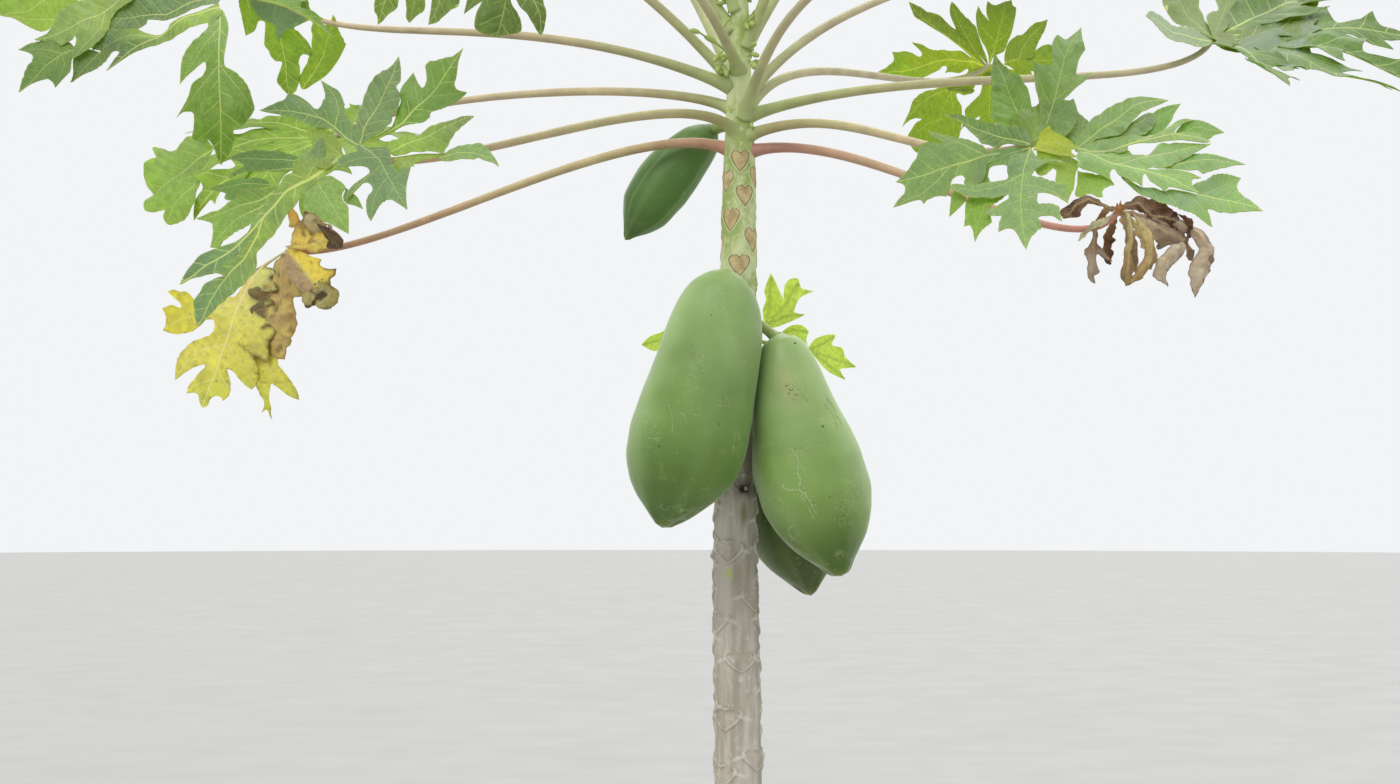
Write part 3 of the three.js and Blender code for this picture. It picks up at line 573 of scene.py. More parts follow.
# foot [height, bearing], rise, h0, h1, end [slope, bearing], hub | radius, bearing, dip, roll, lobes, plain
LEAVES = {
    1: ([1909, 170], 24, 0.25, 0.18, [14, -177], [-578, -50, 1771], (223, 178, 55, -45),
        [[-128, 0.5, 0.35], [-84, 0.76, 0.3], [-42, 0.97, 0.12], [0, 1.02, 0.36], [41, 1.02, 0.5], [72, 0.79, 0.33], [106, 0.61, 0.35], [142, 0.46, 0.3]], 0),
    2: ([1906, -9], 14, 0.31, 0.2, [53, -31], [454, -220, 1797], None, None, 0),
    3: ([1932, -124], 23, 0.27, 0.15, [46, -128], [-437, -380, 1851], (270, -146.6, 45.6, -13.8),
        [[-149.7, 0.55, 0.25], [-120.6, 0.73, 0.12], [-95, 0.82, 0.02], [-36, 0.95, 0.28], [-1.7, 1.03, 0.22], [46, 0.91, 0.05], [74, 0.85, 0.19], [111, 0.83, 0.36], [154.5, 0.56, 0.05]], 0),
    4: ([1926, -31], 15, 0.27, 0.31, [3, -56], [307, -500, 1832], (270, -23.3, 3.9, 40.3),
        [[-147.9, 0.59, 0.27], [-86, 0.69, 0.31], [-58, 0.68, 0.02], [-30, 0.98, 0.15], [1, 1, 0.29], [36, 0.92, 0.34], [64, 0.91, 0.31], [91, 0.84, 0.09], [118.5, 0.68, 0]], 0),
    5: ([1953, -9], 18, 0.38, 0.15, [66, 6], [636, 50, 2067], (298, -15.2, 13.3, 26),
        [[-157, 0.33, 0.02], [-94, 0.66, 0.02], [-61, 0.84, 0.02], [-31, 1, 0.13], [1, 1, 0.18], [34.8, 1.02, 0.08], [65, 1.06, 0.02], [94, 0.87, 0.02], [127, 0.47, 0.02]], 0),
    6: ([1950, -64], 53, 0.34, 0.38, [18, -50], [209, -460, 2105], (240, -62, 6, 0), fan(0.2), 1),
    7: ([1963, 166], 29, 0.18, 0.19, [-31, 153], [-560, 160, 1950], (280, -156.6, 17.3, -22),
        [[-146, 0.54, 0.3], [-106, 0.73, 0.3], [-66, 0.96, 0.21], [-33.4, 1.01, 0.29], [-1, 0.85, 0.41], [30, 1.03, 0.33], [62, 0.87, 0.31], [104, 0.7, 0.4], [144, 0.5, 0.4]], 0),
    8: ([1960, 27], 59, 0.23, 0.38, [26, 56], [396, 500, 2121], (248, -8, -13.7, -20),
        [[-153.4, 0.74, 0.2], [-116.3, 0.86, 0.04], [-85, 0.87, 0.23], [-54, 0.89, 0.32], [-4, 0.91, 0.31], [44, 0.88, 0.25], [86, 0.82, 0.11], [116, 0.74, 0.22], [150.7, 0.67, 0.26]], 0),
    9: ([1991, -170], 22, 0.4, 0.25, [30, 147], [-650, 300, 2169], (205, 113, 16, 38),
        [[-154, 0.54, 0.7], [-115, 0.64, 0.4], [-66, 0.8, 0.6], [-24, 0.93, 0.47], [7, 0.99, 0.3], [36, 0.9, 0.32], [72, 0.87, 0.3], [109, 0.73, 0.3], [146, 0.54, 0.3]], 0),
    10: ([1980, 9], 52, 0.35, 0.34, [30, 31], [392, 229, 2236], (240, 28, -4, 0), fan(0.1), 1),
    11: ([1999, 149], 47, 0.37, 0.54, [-44, -175], [-629, -220, 2065], (296, -155.4, 3.8, -38.5),
        [[-146, 0.54, 0.3], [-109, 0.73, 0.3], [-70, 0.9, 0.3], [-33.4, 1, 0.32], [3, 1.02, 0.4], [41, 0.83, 0.27], [76.8, 0.99, 0.54], [112, 0.7, 0.5], [148, 0.5, 0.4]], 0),
    12: ([2012, -101], 16, 0.37, 0.48, [-36, -142], [-326, -400, 2114], (190, -98.5, 52.2, -17.7),
        [[-146, 0.54, 0.4], [-106, 0.75, 0.5], [-63, 0.93, 0.74], [-29, 0.87, 0.5], [2, 0.94, 0.29], [34, 0.97, 0.46], [68.8, 0.97, 0.54], [109, 0.75, 0.4], [146, 0.54, 0.4]], 0),
    13: ([1984, 106], 44, 0.36, 0.3, [10, 116], [-225, 520, 2385], (250, 112, 18, 0), fan(0.26), 1),
    14: ([2037, 55], 50, 0.36, 0.3, [22, 55], [300, 420, 2460], (235, 56, 20, 0), fan(0.28), 1),
    15: ([2043, -27], 62, 0.34, 0.3, [35, -62], [140, -280, 2440], (225, -64, 14, 0), fan(0.26), 1),
    16: ([2065, 172], 55, 0.34, 0.3, [24, 160], [-300, 100, 2500], (225, 166, 18, 0), fan(0.28), 1),
    17: ([2078, 84], 60, 0.34, 0.3, [34, 84], [48, 400, 2585], (215, 86, 16, 0), fan(0.24), 1),
    18: ([2092, -140], 62, 0.34, 0.3, [36, -130], [-215, -255, 2560], (200, -132, 12, 0), fan(0.22), 1),
    19: ([2108, -3], 64, 0.34, 0.3, [40, 0], [255, 15, 2590], (190, 0, 10, 0), fan(0.2), 1),
    20: ([2122, 128], 68, 0.34, 0.3, [48, 128], [-140, 175, 2655], (165, 128, 4, 0), fan(0.15), 1),
    21: ([2136, -100], 72, 0.34, 0.3, [56, -98], [-25, -165, 2640], (140, -98, 0, 0), fan(0.1, 5), 1),
    22: ([2148, 30], 76, 0.34, 0.3, [64, 30], [82, 52, 2590], (112, 30, -20, 0), fan(0.05, 5), 1),
    23: ([2160, 175], 80, 0.34, 0.3, [72, 175], [-52, 4, 2480], (88, 175, -35, 0), fan(0.02, 5), 1),
    24: ([2170, -60], 82, 0.34, 0.3, [76, -60], [16, -30, 2380], (66, -60, -50, 0), fan(0, 5), 1),
}


def stalk_path(n, steps):
    (z, bearing), rise, h0, h1, (es, eb), hub = LEAVES[n][:6]
    foot = np.array([trunk_centre(z), 0, z]) + direction(0, bearing) * trunk_radius(z) * 0.6
    hub = np.array(hub, float)
    L = np.linalg.norm(hub - foot)
    p1 = foot + direction(rise, bearing) * h0 * L
    p2 = hub - direction(es, eb) * h1 * L
    t = (np.linspace(0, 1, steps) ** 1.15)[:, None]
    p = foot * (1 - t) ** 3 + 3 * p1 * t * (1 - t) ** 2 + 3 * p2 * t * t * (1 - t) + hub * t**3
    t = t[:, 0]
    young = max(0.42, 1 - max(0, n - 1 - 15) * 0.075)
    r = young * np.where(t < 0.14, 9.6 + (6.6 - 9.6) * np.sqrt(t / 0.14), 6.6 + (3.9 - 6.6) * (t - 0.14) / 0.86)
    r = r * (1 + 0.3 * np.clip(1 - t / 0.06, 0, 1) ** 2)
    return p * MM, r * MM, t


# stalk colours: near the trunk, at a third, and at the leaf
STALK_TONES = {
    1: ((186, 142, 116), (200, 184, 140), (192, 148, 120)),
    2: ((194, 142, 128), (208, 174, 142), (212, 146, 132)),
    3: ((168, 162, 110), (192, 182, 136), (200, 166, 138)),
    4: ((172, 162, 112), (196, 184, 136), (214, 178, 152)),
    5: ((172, 182, 122), (198, 190, 142), (206, 194, 164)),
    6: ((178, 184, 130), (196, 188, 148), (202, 190, 156)),
    7: ((176, 176, 122), (204, 190, 150), (206, 184, 158)),
    8: ((190, 190, 142), (208, 198, 162), (212, 200, 168)),
    9: ((170, 174, 120), (186, 172, 136), (200, 182, 150)),
    10: ((182, 186, 134), (200, 190, 152), (204, 192, 160)),
    11: ((168, 174, 118), (196, 186, 148), (198, 182, 156)),
    12: ((178, 184, 130), (198, 190, 152), (204, 190, 160)),
}


def build_stalk(n, mat):
    p, r, t = stalk_path(n, 74)
    v, faces, along, angle, nrm = tube(p, r, 18)
    t = np.append(np.repeat(t, 18), [0, 1])
    wob = noise(v * 22 + n * 3.1)
    # a faint channel and a little flattening on the upper side
    v = v - nrm * (np.clip(nrm[:, 2], 0, 1) ** 3 * np.append(np.repeat(r, 18), [0, 0]) * 0.1)[:, None]
    v = v + nrm * (wob * 0.00022)[:, None]
    a, b, c = (lin(x) for x in STALK_TONES.get(n, ((176, 184, 124), (188, 186, 138), (190, 184, 142))))
    if n > 17:
        a, b, c = lin((132, 160, 86)), lin((140, 166, 88)), lin((140, 164, 84))
    k1, k2 = smooth(0.04, 0.34, t + 0.03 * wob)[:, None], smooth(0.3, 0.95, t + 0.05 * wob)[:, None]
    col = a * (1 - k1) + b * k1
    col = col * (1 - k2) + c * k2
    under = smooth(0.2, -0.8, nrm[:, 2])[:, None] * 0.35
    col = col * (1 - under) + col * np.array([0.86, 0.74, 0.72]) * under
    if n not in (1, 2):
        foot = (smooth(0.1, 0.0, t) * 0.75)[:, None]
        col = col * (1 - foot) + lin((184, 198, 136)) * foot
    o = piece("leaf_stalk_%02d_skin" % n, v, faces, mat, ["leaf_stalk_%02d" % n], {"col": col})
    uv_of(o, "along", np.stack([along * 2, angle / (2 * math.pi) * 3], 1))
    return o


def half_lobe(q, side, rng, style):
    """One side of a lobe from its foot to just before its tip: rows of (kind, x, y), in lobe lengths, y above 0."""
    j = lambda s: rng.uniform(-s, s)
    off = 0.03 * side
    cut = 1.0 + j(0.16)
    if style == "simple":
        a = np.array([0.66 + off + j(0.02), 0.2 * q * (1 + j(0.1))])
        return [
            ("curve", 0.36 + off * 0.4, 0.19 * q, 0.5 + off, 0.2 * q),
            ("curve", 0.6 + off, 0.21 * q, a[0], a[1]),
            ("curve", a[0] + 0.005, a[1] * 0.74, 0.72 + off, 0.118 * q),
            ("curve", 0.86, 0.1 * q, 0.985, 0.01 * q),
        ]
    a = np.array([0.63 + off + j(0.025), 0.24 * q * (1 + j(0.1))])
    b = np.array([0.83 + off * 0.8 + j(0.02), 0.168 * q * (1 + j(0.14))])
    return [
        ("curve", 0.29 + off * 0.4, 0.118 * q, 0.39 + off * 0.7, 0.138 * q),
        ("curve", 0.5 + off, 0.172 * q, a[0], a[1]),
        ("curve", a[0] - 0.036, a[1] * 0.58, 0.612 + off, 0.092 * q * cut),
        ("curve", 0.616 + off, 0.056 * q * cut, 0.66 + off, 0.068 * q * cut),
        ("curve", 0.745 + off, 0.108 * q, b[0], b[1]),
        ("curve", b[0] - 0.012, b[1] * 0.64, 0.828 + off * 0.7, 0.078 * q),
        ("curve", 0.834 + off * 0.6, 0.056 * q, 0.862 + off * 0.5, 0.06 * q),
        ("curve", 0.93, 0.052 * q, 0.985, 0.008 * q),
    ]


def walk(start, rows, step):
    """Points along rows from start, not start itself."""
    out, p = [], np.asarray(start, float)
    for row in rows:
        if row[0] == "line":
            e = np.array(row[1:3])
            n = max(1, int(round(np.linalg.norm(e - p) / step)))
            out += [p + (e - p) * (k + 1) / n for k in range(n)]
        else:
            c, e = np.array(row[1:3]), np.array(row[3:5])
            n = max(2, int(round((np.linalg.norm(c - p) + np.linalg.norm(e - c)) / step)))
            for k in range(n):
                t = (k + 1) / n
                out.append(p * (1 - t) ** 2 + 2 * c * t * (1 - t) + e * t * t)
        p = e
    return out


def leaf_flat(R, lobes, seed, style="full"):
    """The flat leaf in metres with its hub at 0, 0, one lobe after another, so that wide lobes may lie over each other.
    Gives points, triangles, each point's lobe, each triangle's lobe, and the lobes' bearings and lengths."""
    rng = np.random.default_rng(seed)
    n = len(lobes)
    deg = np.array([x[0] for x in lobes], float)
    length = np.array([x[1] for x in lobes], float) * R
    step = 0.0042 * (0.6 + 0.4 * R / 0.27)
    cell = 0.0088 * (0.55 + 0.45 * R / 0.27)
    gap = np.concatenate([[22.0], np.diff(deg) / 2, [22.0]])
    border = np.concatenate([[deg[0] - 22], (deg[1:] + deg[:-1]) / 2, [deg[-1] + 22]])
    reach = np.zeros(n + 1)
    reach[0] = reach[-1] = 0.1 * R
    for k in range(1, n):
        reach[k] = 0.285 * min(1, (lobes[k - 1][1] + lobes[k][1]) / 2 + 0.1) * R * (1 + rng.uniform(-0.08, 0.08))
    rays = []
    for k in range(n + 1):
        a, c = math.radians(border[k]), max(2, int(reach[k] / cell))
        f = np.linspace(0, 1, c + 1)[1:]
        rays.append(np.stack([f * reach[k] * math.cos(a), f * reach[k] * math.sin(a)], 1))
    all_v, all_t, of_v, of_t, base = [], [], [], [], 0
    for k in range(n):
        L, a = length[k], math.radians(deg[k])
        turn = np.array([[math.cos(a), -math.sin(a)], [math.sin(a), math.cos(a)]])
        halves = []
        for side, g, far in ((-1, gap[k], reach[k]), (1, gap[k + 1], reach[k + 1])):
            q = min(1.0, 1.12 * math.tan(math.radians(g)) * 0.63 / 0.235) if style == "full" else 1.0
            start = np.array([far * math.cos(math.radians(g)), far * math.sin(math.radians(g))]) / L
            pts = np.array([start] + walk(start, half_lobe(q, side, rng, style), step / L))
            wavy = noise(np.stack([pts[:, 0] * 22, np.full(len(pts), seed * 1.7 + k * 3.3 + side), np.zeros(len(pts))], 1))
            pts[2:, 1] *= 1 + 0.035 * wavy[2:]
            pts[1:, 1] = np.maximum(pts[1:, 1], 0.002)
            halves.append(pts)
        right = (halves[0] * np.array([1, -1]) * L) @ turn.T
        left = (halves[1] * L) @ turn.T
        tip = (np.array([[1.0, 0.0]]) * L) @ turn.T
        rim = np.vstack([[[0, 0]], rays[k], right[1:], tip, left[1:][::-1], rays[k + 1][::-1]])
        keep = np.linalg.norm(rim - np.roll(rim, 1, 0), axis=1) > 0.00025
        rim = rim[keep]
        m = len(rim)
        pts = list(rim)
        edges = [(i, (i + 1) % m) for i in range(m)]
        lines = []

        def chain(points, start=None):
            ids = [] if start is None else [start]
            for p in points:
                ids.append(len(pts))
                pts.append(p)
            edges.extend(zip(ids[:-1], ids[1:]))

        u = np.linspace(0, 0.965, max(5, int(L / (cell * 0.95))))
        mid = np.stack([u[1:] * L, 0 * u[1:]], 1) @ turn.T
        chain(mid, start=0)
        lines.append(mid)
        ub = u[(u * L > 0.05 * R) & (u < 0.93)]
        for z in (-1, 1):
            w = (0.0017 * (1 - ub) + 0.0005) * (0.4 + 0.6 * R / 0.27)
            chain(np.stack([ub * L, z * w], 1) @ turn.T)
        hi, lo = rim.max(0), rim.min(0)
        rows = np.arange(lo[1], hi[1], cell * 0.866)
        grid = np.array([(x + (cell / 2 if i % 2 else 0), y) for i, y in enumerate(rows) for x in np.arange(lo[0], hi[0], cell)])
        grid += rng.uniform(-0.12, 0.12, grid.shape) * cell
        x, y = grid[:, 0][:, None], grid[:, 1][:, None]
        x0, y0 = rim[:, 0][None], rim[:, 1][None]
        x1, y1 = np.roll(rim[:, 0], -1)[None], np.roll(rim[:, 1], -1)[None]
        cross = ((y0 > y) != (y1 > y)) & (x < (x1 - x0) * (y - y0) / np.where(y1 == y0, 1e-12, y1 - y0) + x0)
        grid = grid[cross.sum(1) % 2 == 1]
        every = np.vstack([rim, *lines])
        far = np.sqrt(((grid[:, None] - every[None]) ** 2).sum(2)).min(1) if len(grid) else np.zeros(0)
        pts += list(grid[far > cell * 0.42])
        V, _, F, *_ = geometry.delaunay_2d_cdt([Vector((float(p[0]), float(p[1]))) for p in pts], edges, [], 1, 1e-6)
        V = np.array([tuple(p) for p in V])
        T = np.array([f for f in F if len(f) == 3], int)
        A, B, C = V[T[:, 0]], V[T[:, 1]], V[T[:, 2]]
        area = (B[:, 0] - A[:, 0]) * (C[:, 1] - A[:, 1]) - (B[:, 1] - A[:, 1]) * (C[:, 0] - A[:, 0])
        T, area = T[np.abs(area) > 1e-11], area[np.abs(area) > 1e-11]
        T[area < 0] = T[area < 0][:, ::-1]
        all_v.append(V)
        all_t.append(T + base)
        of_v += [k] * len(V)
        of_t += [k] * len(T)
        base += len(V)
    V, T, of_v, of_t = np.vstack(all_v), np.vstack(all_t), np.array(of_v), np.array(of_t)
    # neighbours share the points on the ray between them
    key, first = {}, np.arange(len(V))
    shared = np.vstack([[[0, 0]], *rays])
    close = np.sqrt(((V[:, None] - shared[None]) ** 2).sum(2))
    hit = close.argmin(1)
    for i in np.where(close.min(1) < 2e-6)[0]:
        first[i] = key.setdefault(int(hit[i]), i)
    T = first[T]
    used, T = np.unique(T, return_inverse=True)
    return V[used], T.reshape(-1, 3), of_v[used], of_t, deg, length


def sag_at(lobes, a):
    """a in degrees."""
    deg = np.array([x[0] for x in lobes], float)
    sag = np.array([x[2] for x in lobes], float)
    return np.interp(a, np.concatenate([[deg[-1] - 360], deg, [deg[0] + 360]]), np.concatenate([[sag[-1]], sag, [sag[0]]]))


def leaf_space(xy, hub, R, bearing, dip, roll, lobes):
    """The flat leaf's points carried to their places in the crown. Metres."""
    m = direction(-dip, bearing)
    w = unit(UP - m * (UP @ m))
    c, s = math.cos(math.radians(roll)), math.sin(math.radians(roll))
    w = w * c + np.cross(m, w) * s
    side = np.cross(w, m)
    r = np.hypot(xy[:, 0], xy[:, 1])
    a = np.arctan2(xy[:, 1], xy[:, 0])
    d = unit(np.cos(a)[:, None] * m + np.sin(a)[:, None] * side + 0.12 * w)
    own = sag_at(lobes, np.degrees(a))
    p = np.tile(np.asarray(hub, float), (len(xy), 1))
    for k in range(8):
        f = (k + 0.5) / 8 * (r / R)
        g = np.minimum(0.85, own * 2.1 * f**1.35)[:, None]
        p = p + unit(d * (1 - g) - UP * g) * (r / 8)[:, None]
    return p


def normals_of(P, T):
    f = np.cross(P[T[:, 1]] - P[T[:, 0]], P[T[:, 2]] - P[T[:, 0]])
    n = np.zeros_like(P)
    for k in range(3):
        np.add.at(n, T[:, k], f)
    return unit(n)


def leaf_mesh(hub, R, bearing, dip, roll, lobes, seed, fold=0.12, ripple=1.0, curl=None, thick=0.00085, style="full"):
    """Top and under side of one leaf as a closed thin solid. Gives verts, faces and what the colours need."""
    V, T, near, lobe, deg, length = leaf_flat(R, lobes, seed, style)
    rng = np.random.default_rng(seed + 500)
    P = leaf_space(V, hub, R, bearing, dip, roll, lobes)
    n0 = normals_of(P, T)
    r = np.hypot(V[:, 0], V[:, 1])
    da = np.radians(np.degrees(np.arctan2(V[:, 1], V[:, 0])) - deg[near])
    u, v = r * np.cos(da) / length[near], r * np.sin(da) / length[near]
    av = np.abs(v)
    L = length[near]
    lift = fold * av * L
    c = (u - 0.95 * av + 0.9 * av * av - 0.03 * np.sign(v) - 0.037) / 0.13
    lift += 0.0021 * ripple * (R / 0.27) * (np.sin(math.pi * (c % 1)) ** 2 - 0.5) * smooth(0.01, 0.07, av) * smooth(1.02, 0.75, u)
    flat = np.stack([V[:, 0], V[:, 1], np.full(len(V), seed * 0.37)], 1)
    lift += 0.011 * ripple * (R / 0.27) * noise(flat * (11 / (R / 0.27))) * smooth(0.12, 0.5, r / R)
    lift += 0.0042 * ripple * noise(flat * (34 / (R / 0.27)) + 5) * smooth(0.03, 0.14, av)
    bend = rng.uniform(-0.055, 0.035, len(deg))
    twist = rng.uniform(-0.5, 0.5, len(deg))
    lift += L * (bend[near] * smooth(0.45, 1.0, u) + twist[near] * v * smooth(0.35, 1.0, u))
    lift += np.where(near % 2 == 0, 1, -1) * 0.0034 * (R / 0.27) * smooth(0.33, 0.46, r / R) * smooth(0.02, 0.1, av)
    P = P + n0 * lift[:, None]
    if curl is not None:
        P = curl(P, V, u, v, near)
    rib = np.where(av * L < 0.0009, 1.0, 0.0) * (0.0013 * (1 - u) + 0.0003) * (0.35 + 0.65 * R / 0.27) * (u < 0.95)
    verts, faces, owner, N = thin_solid(P, T, thick, rib)
    n = len(V)
    return dict(
        verts=verts, faces=faces, flat=np.vstack([V, V]), lobes_of=lobe[owner], deg=deg, length=length, n=n, R=R,
        u=np.tile(u, 2), v=np.tile(v, 2), near=np.tile(near, 2), side=np.concatenate([np.ones(n), -np.ones(n)]),
        normal=np.vstack([N, -N]),
    )


def thin_solid(P, T, thick, rib):
    """The sheet of triangles T over points P as a closed thin solid, with each face's triangle."""
    N = normals_of(P, T)
    verts = np.vstack([P + N * (thick / 2 + rib * 0.25)[:, None], P - N * (thick / 2 + rib)[:, None]])
    raw = np.vstack([T[:, [0, 1]], T[:, [1, 2]], T[:, [2, 0]]])
    e = np.sort(raw, 1)
    _, first, count = np.unique(e[:, 0].astype(np.int64) * len(P) + e[:, 1], return_index=True, return_counts=True)
    lone = first[count == 1]
    n = len(P)
    faces = [tuple(t) for t in T.tolist()] + [(t[0] + n, t[2] + n, t[1] + n) for t in T.tolist()]
    faces += [(b, a, a + n, b + n) for a, b in raw[lone].tolist()]
    owner = np.concatenate([np.arange(len(T)), np.arange(len(T)), lone % len(T)])
    return verts, faces, owner, N


def leaf_piece(name, g, col, mat, nodes):
    o = piece(name, g["verts"], g["faces"], mat, nodes, {"col": col}, {"face_side": g["side"]}, sharp=55)
    me = o.data
    idx = np.zeros(len(me.loops), np.int32)
    me.loops.foreach_get("vertex_index", idx)
    total = np.zeros(len(me.polygons), np.int32)
    me.polygons.foreach_get("loop_total", total)
    k = np.repeat(g["lobes_of"], total)
    xy = g["flat"][idx]
    if "rib_uv" in g:
        uv = g["rib_uv"][k, idx % g["n"]]
    else:
        a = np.radians(g["deg"][k])
        L = g["length"][k]
        uv = np.stack([(xy[:, 0] * np.cos(a) + xy[:, 1] * np.sin(a)) / L, (-xy[:, 0] * np.sin(a) + xy[:, 1] * np.cos(a)) / L], 1)
    me.uv_layers.new(name="lobe").uv.foreach_set("vector", uv.astype(np.float32).ravel())
    lo, hi = g["flat"].min(0), g["flat"].max(0)
    size = max(hi - lo) * 1.02
    bake = (xy - lo) / size * np.array([0.49, 0.98]) + 0.006
    bake[:, 0] += np.where(idx >= g["n"], 0.5, 0.0)
    me.uv_layers.new(name="OFBake").uv.foreach_set("vector", bake.astype(np.float32).ravel())
    return o


def outline_of(rows, step):
    """A closed line through rows of x, y; a third number of 1 makes that corner sharp."""
    pts = np.array([r[:2] for r in rows], float)
    hard = np.array([len(r) > 2 and r[2] for r in rows], bool)
    n, out = len(pts), []
    for i in range(n):
        a, b = pts[i], pts[(i + 1) % n]
        ta = (b - a) * 0.5 if hard[i] else (b - pts[i - 1]) / 2
        tb = (b - a) * 0.5 if hard[(i + 1) % n] else (pts[(i + 2) % n] - a) / 2
        far = np.linalg.norm(b - a)
        ta, tb = (t * min(1, far / max(np.linalg.norm(t), 1e-9)) for t in (ta, tb))
        m = max(1, int(round(far / step)))
        for k in range(m):
            t = k / m
            out.append(
                (2 * t**3 - 3 * t**2 + 1) * a + (t**3 - 2 * t**2 + t) * ta + (-2 * t**3 + 3 * t**2) * b + (t**3 - t**2) * tb
            )
    return np.array(out)


def to_lines(p, line):
    """For points p: place along the line from 0 to 1 and beyond, and signed distance from it over its length."""
    line = np.asarray(line, float)
    seg = np.diff(line, axis=0)
    far = np.linalg.norm(seg, axis=1)
    at_start = np.concatenate([[0], np.cumsum(far)])
    total = at_start[-1]
    best = np.full(len(p), 1e9)
    u, v = np.zeros(len(p)), np.zeros(len(p))
    for k in range(len(seg)):
        d = seg[k] / far[k]
        rel = p - line[k]
        t = rel @ d
        lo = -1e9 if k == 0 else 0
        hi = 1e9 if k == len(seg) - 1 else far[k]
        tc = np.clip(t, lo, hi)
        off = rel - tc[:, None] * d
        dist = np.linalg.norm(off, axis=1)
        over = np.linalg.norm(rel - np.clip(t, 0, far[k])[:, None] * d, axis=1)
        hit = over < best
        best[hit] = over[hit]
        u[hit] = (at_start[k] + tc[hit]) / total
        v[hit] = (np.sign(d[0] * rel[hit, 1] - d[1] * rel[hit, 0]) * dist[hit]) / total
    return u, v, best


def sheet(rows, ribs, depth, seed, wave=1.0, bulge=0.0, crumple=0.0, fold=0.1, thick=0.0008, step=1.5, cell=2.5):
    """A piece of blade given by its outline and ribs as the picture shows them and its depth there."""
    rng = np.random.default_rng(seed)
    rim = outline_of(rows, step)
    rim = rim[np.linalg.norm(rim - np.roll(rim, 1, 0), axis=1) > 0.2]
    x0, y0, x1, y1 = rim[:, 0][None], rim[:, 1][None], np.roll(rim[:, 0], -1)[None], np.roll(rim[:, 1], -1)[None]

    def inside(q):
        x, y = q[:, 0][:, None], q[:, 1][:, None]
        return (((y0 > y) != (y1 > y)) & (x < (x1 - x0) * (y - y0) / np.where(y1 == y0, 1e-12, y1 - y0) + x0)).sum(1) % 2 == 1

    pts = [rim]
    for line in ribs:
        line = np.asarray(line, float)
        d = np.concatenate([[0], np.cumsum(np.linalg.norm(np.diff(line, axis=0), axis=1))])
        q = np.stack([np.interp(np.arange(0, d[-1], step * 1.3), d, line[:, k]) for k in (0, 1)], 1)
        q = q[inside(q)] if len(q) else q
        have = np.vstack(pts)
        if len(q):
            q = q[np.sqrt(((q[:, None] - have[None]) ** 2).sum(2)).min(1) > step * 0.5]
            pts.append(q)
    lo, hi = rim.min(0), rim.max(0)
    grid = np.array([(x + (cell / 2 if i % 2 else 0), y) for i, y in enumerate(np.arange(lo[1], hi[1], cell * 0.866)) for x in np.arange(lo[0], hi[0], cell)])
    grid += rng.uniform(-0.15, 0.15, grid.shape) * cell
    grid = grid[inside(grid)]
    have = np.vstack(pts)
    grid = grid[np.sqrt(((grid[:, None] - have[None]) ** 2).sum(2)).min(1) > cell * 0.45]
    every = np.vstack([have, grid])
    m = len(rim)
    V, _, F, *_ = geometry.delaunay_2d_cdt([Vector((float(a), float(b))) for a, b in every], [(i, (i + 1) % m) for i in range(m)], [], 1, 1e-5)
    V = np.array([tuple(q) for q in V])
    T = np.array([f for f in F if len(f) == 3], int)
    A, B, C = V[T[:, 0]], V[T[:, 1]], V[T[:, 2]]
    area = (B[:, 0] - A[:, 0]) * (C[:, 1] - A[:, 1]) - (B[:, 1] - A[:, 1]) * (C[:, 0] - A[:, 0])
    T, area = T[np.abs(area) > 1e-6], area[np.abs(area) > 1e-6]
    T[area > 0] = T[area > 0][:, ::-1]
    y = depth(V[:, 0], V[:, 1])
    d = AHEAD + ((V[:, 0] - 700) / FOCAL)[:, None] * RIGHT + ((392 - V[:, 1]) / FOCAL)[:, None] * ABOVE
    P = CAM + d * ((y - CAM[1]) / d[:, 1])[:, None]
    metre = (np.mean(y) - CAM[1]) / FOCAL
    to_rim = np.sqrt(((V[:, None] - rim[None]) ** 2).sum(2)).min(1) * metre
    rib_uv, away = [], []
    for line in ribs:
        u, v, dist = to_lines(V, line)
        rib_uv.append(np.stack([u, v], 1))
        away.append(dist)
    rib_uv, away = np.array(rib_uv), np.array(away)
    near = away.argmin(0)
    of_t = away[:, T].mean(2).argmin(0)
    dist = away.min(0) * metre
    n0 = normals_of(P, T)
    flat = np.stack([V[:, 0] * metre, V[:, 1] * metre, np.full(len(V), seed * 0.37)], 1)
    lift = fold * dist + bulge * smooth(0, 0.012, to_rim)
    u, v = rib_uv[near, np.arange(len(V)), 0], rib_uv[near, np.arange(len(V)), 1]
    c = (u - 0.95 * np.abs(v) + 0.9 * v * v - 0.03 * np.sign(v) - 0.037) / 0.13
    lift += 0.0012 * wave * (np.sin(math.pi * (c % 1)) ** 2 - 0.5) * smooth(0.002, 0.012, dist)
    lift += 0.005 * wave * noise(flat * 24) + 0.0022 * wave * noise(flat * 60 + 5) * smooth(0.0, 0.012, dist)
    P = P + n0 * lift[:, None]
    if crumple:
        P = P + crumple * np.stack([noise(flat * 65 + k * 9) for k in range(3)], 1) * smooth(0, 0.006, dist + 0.002)[:, None]
        P = P + crumple * 0.4 * np.stack([noise(flat * 170 + k * 9) for k in range(3)], 1)
    rib = (dist < 0.0006) * 0.0007
    verts, faces, owner, N = thin_solid(P, T, thick, rib)
    n = len(V)
    return dict(
        verts=verts, faces=faces, flat=np.vstack([flat[:, :2]] * 2), lobes_of=of_t[owner], rib_uv=rib_uv, n=n,
        u=np.tile(u, 2), v=np.tile(v, 2), side=np.concatenate([np.ones(n), -np.ones(n)]), px=np.tile(V[:, 0], 2),
        py=np.tile(V[:, 1], 2), to_rim=np.tile(to_rim, 2), to_rib=np.tile(dist, 2), normal=np.vstack([N, -N]),
        side_of=np.tile(np.sign(v), 2),
    )


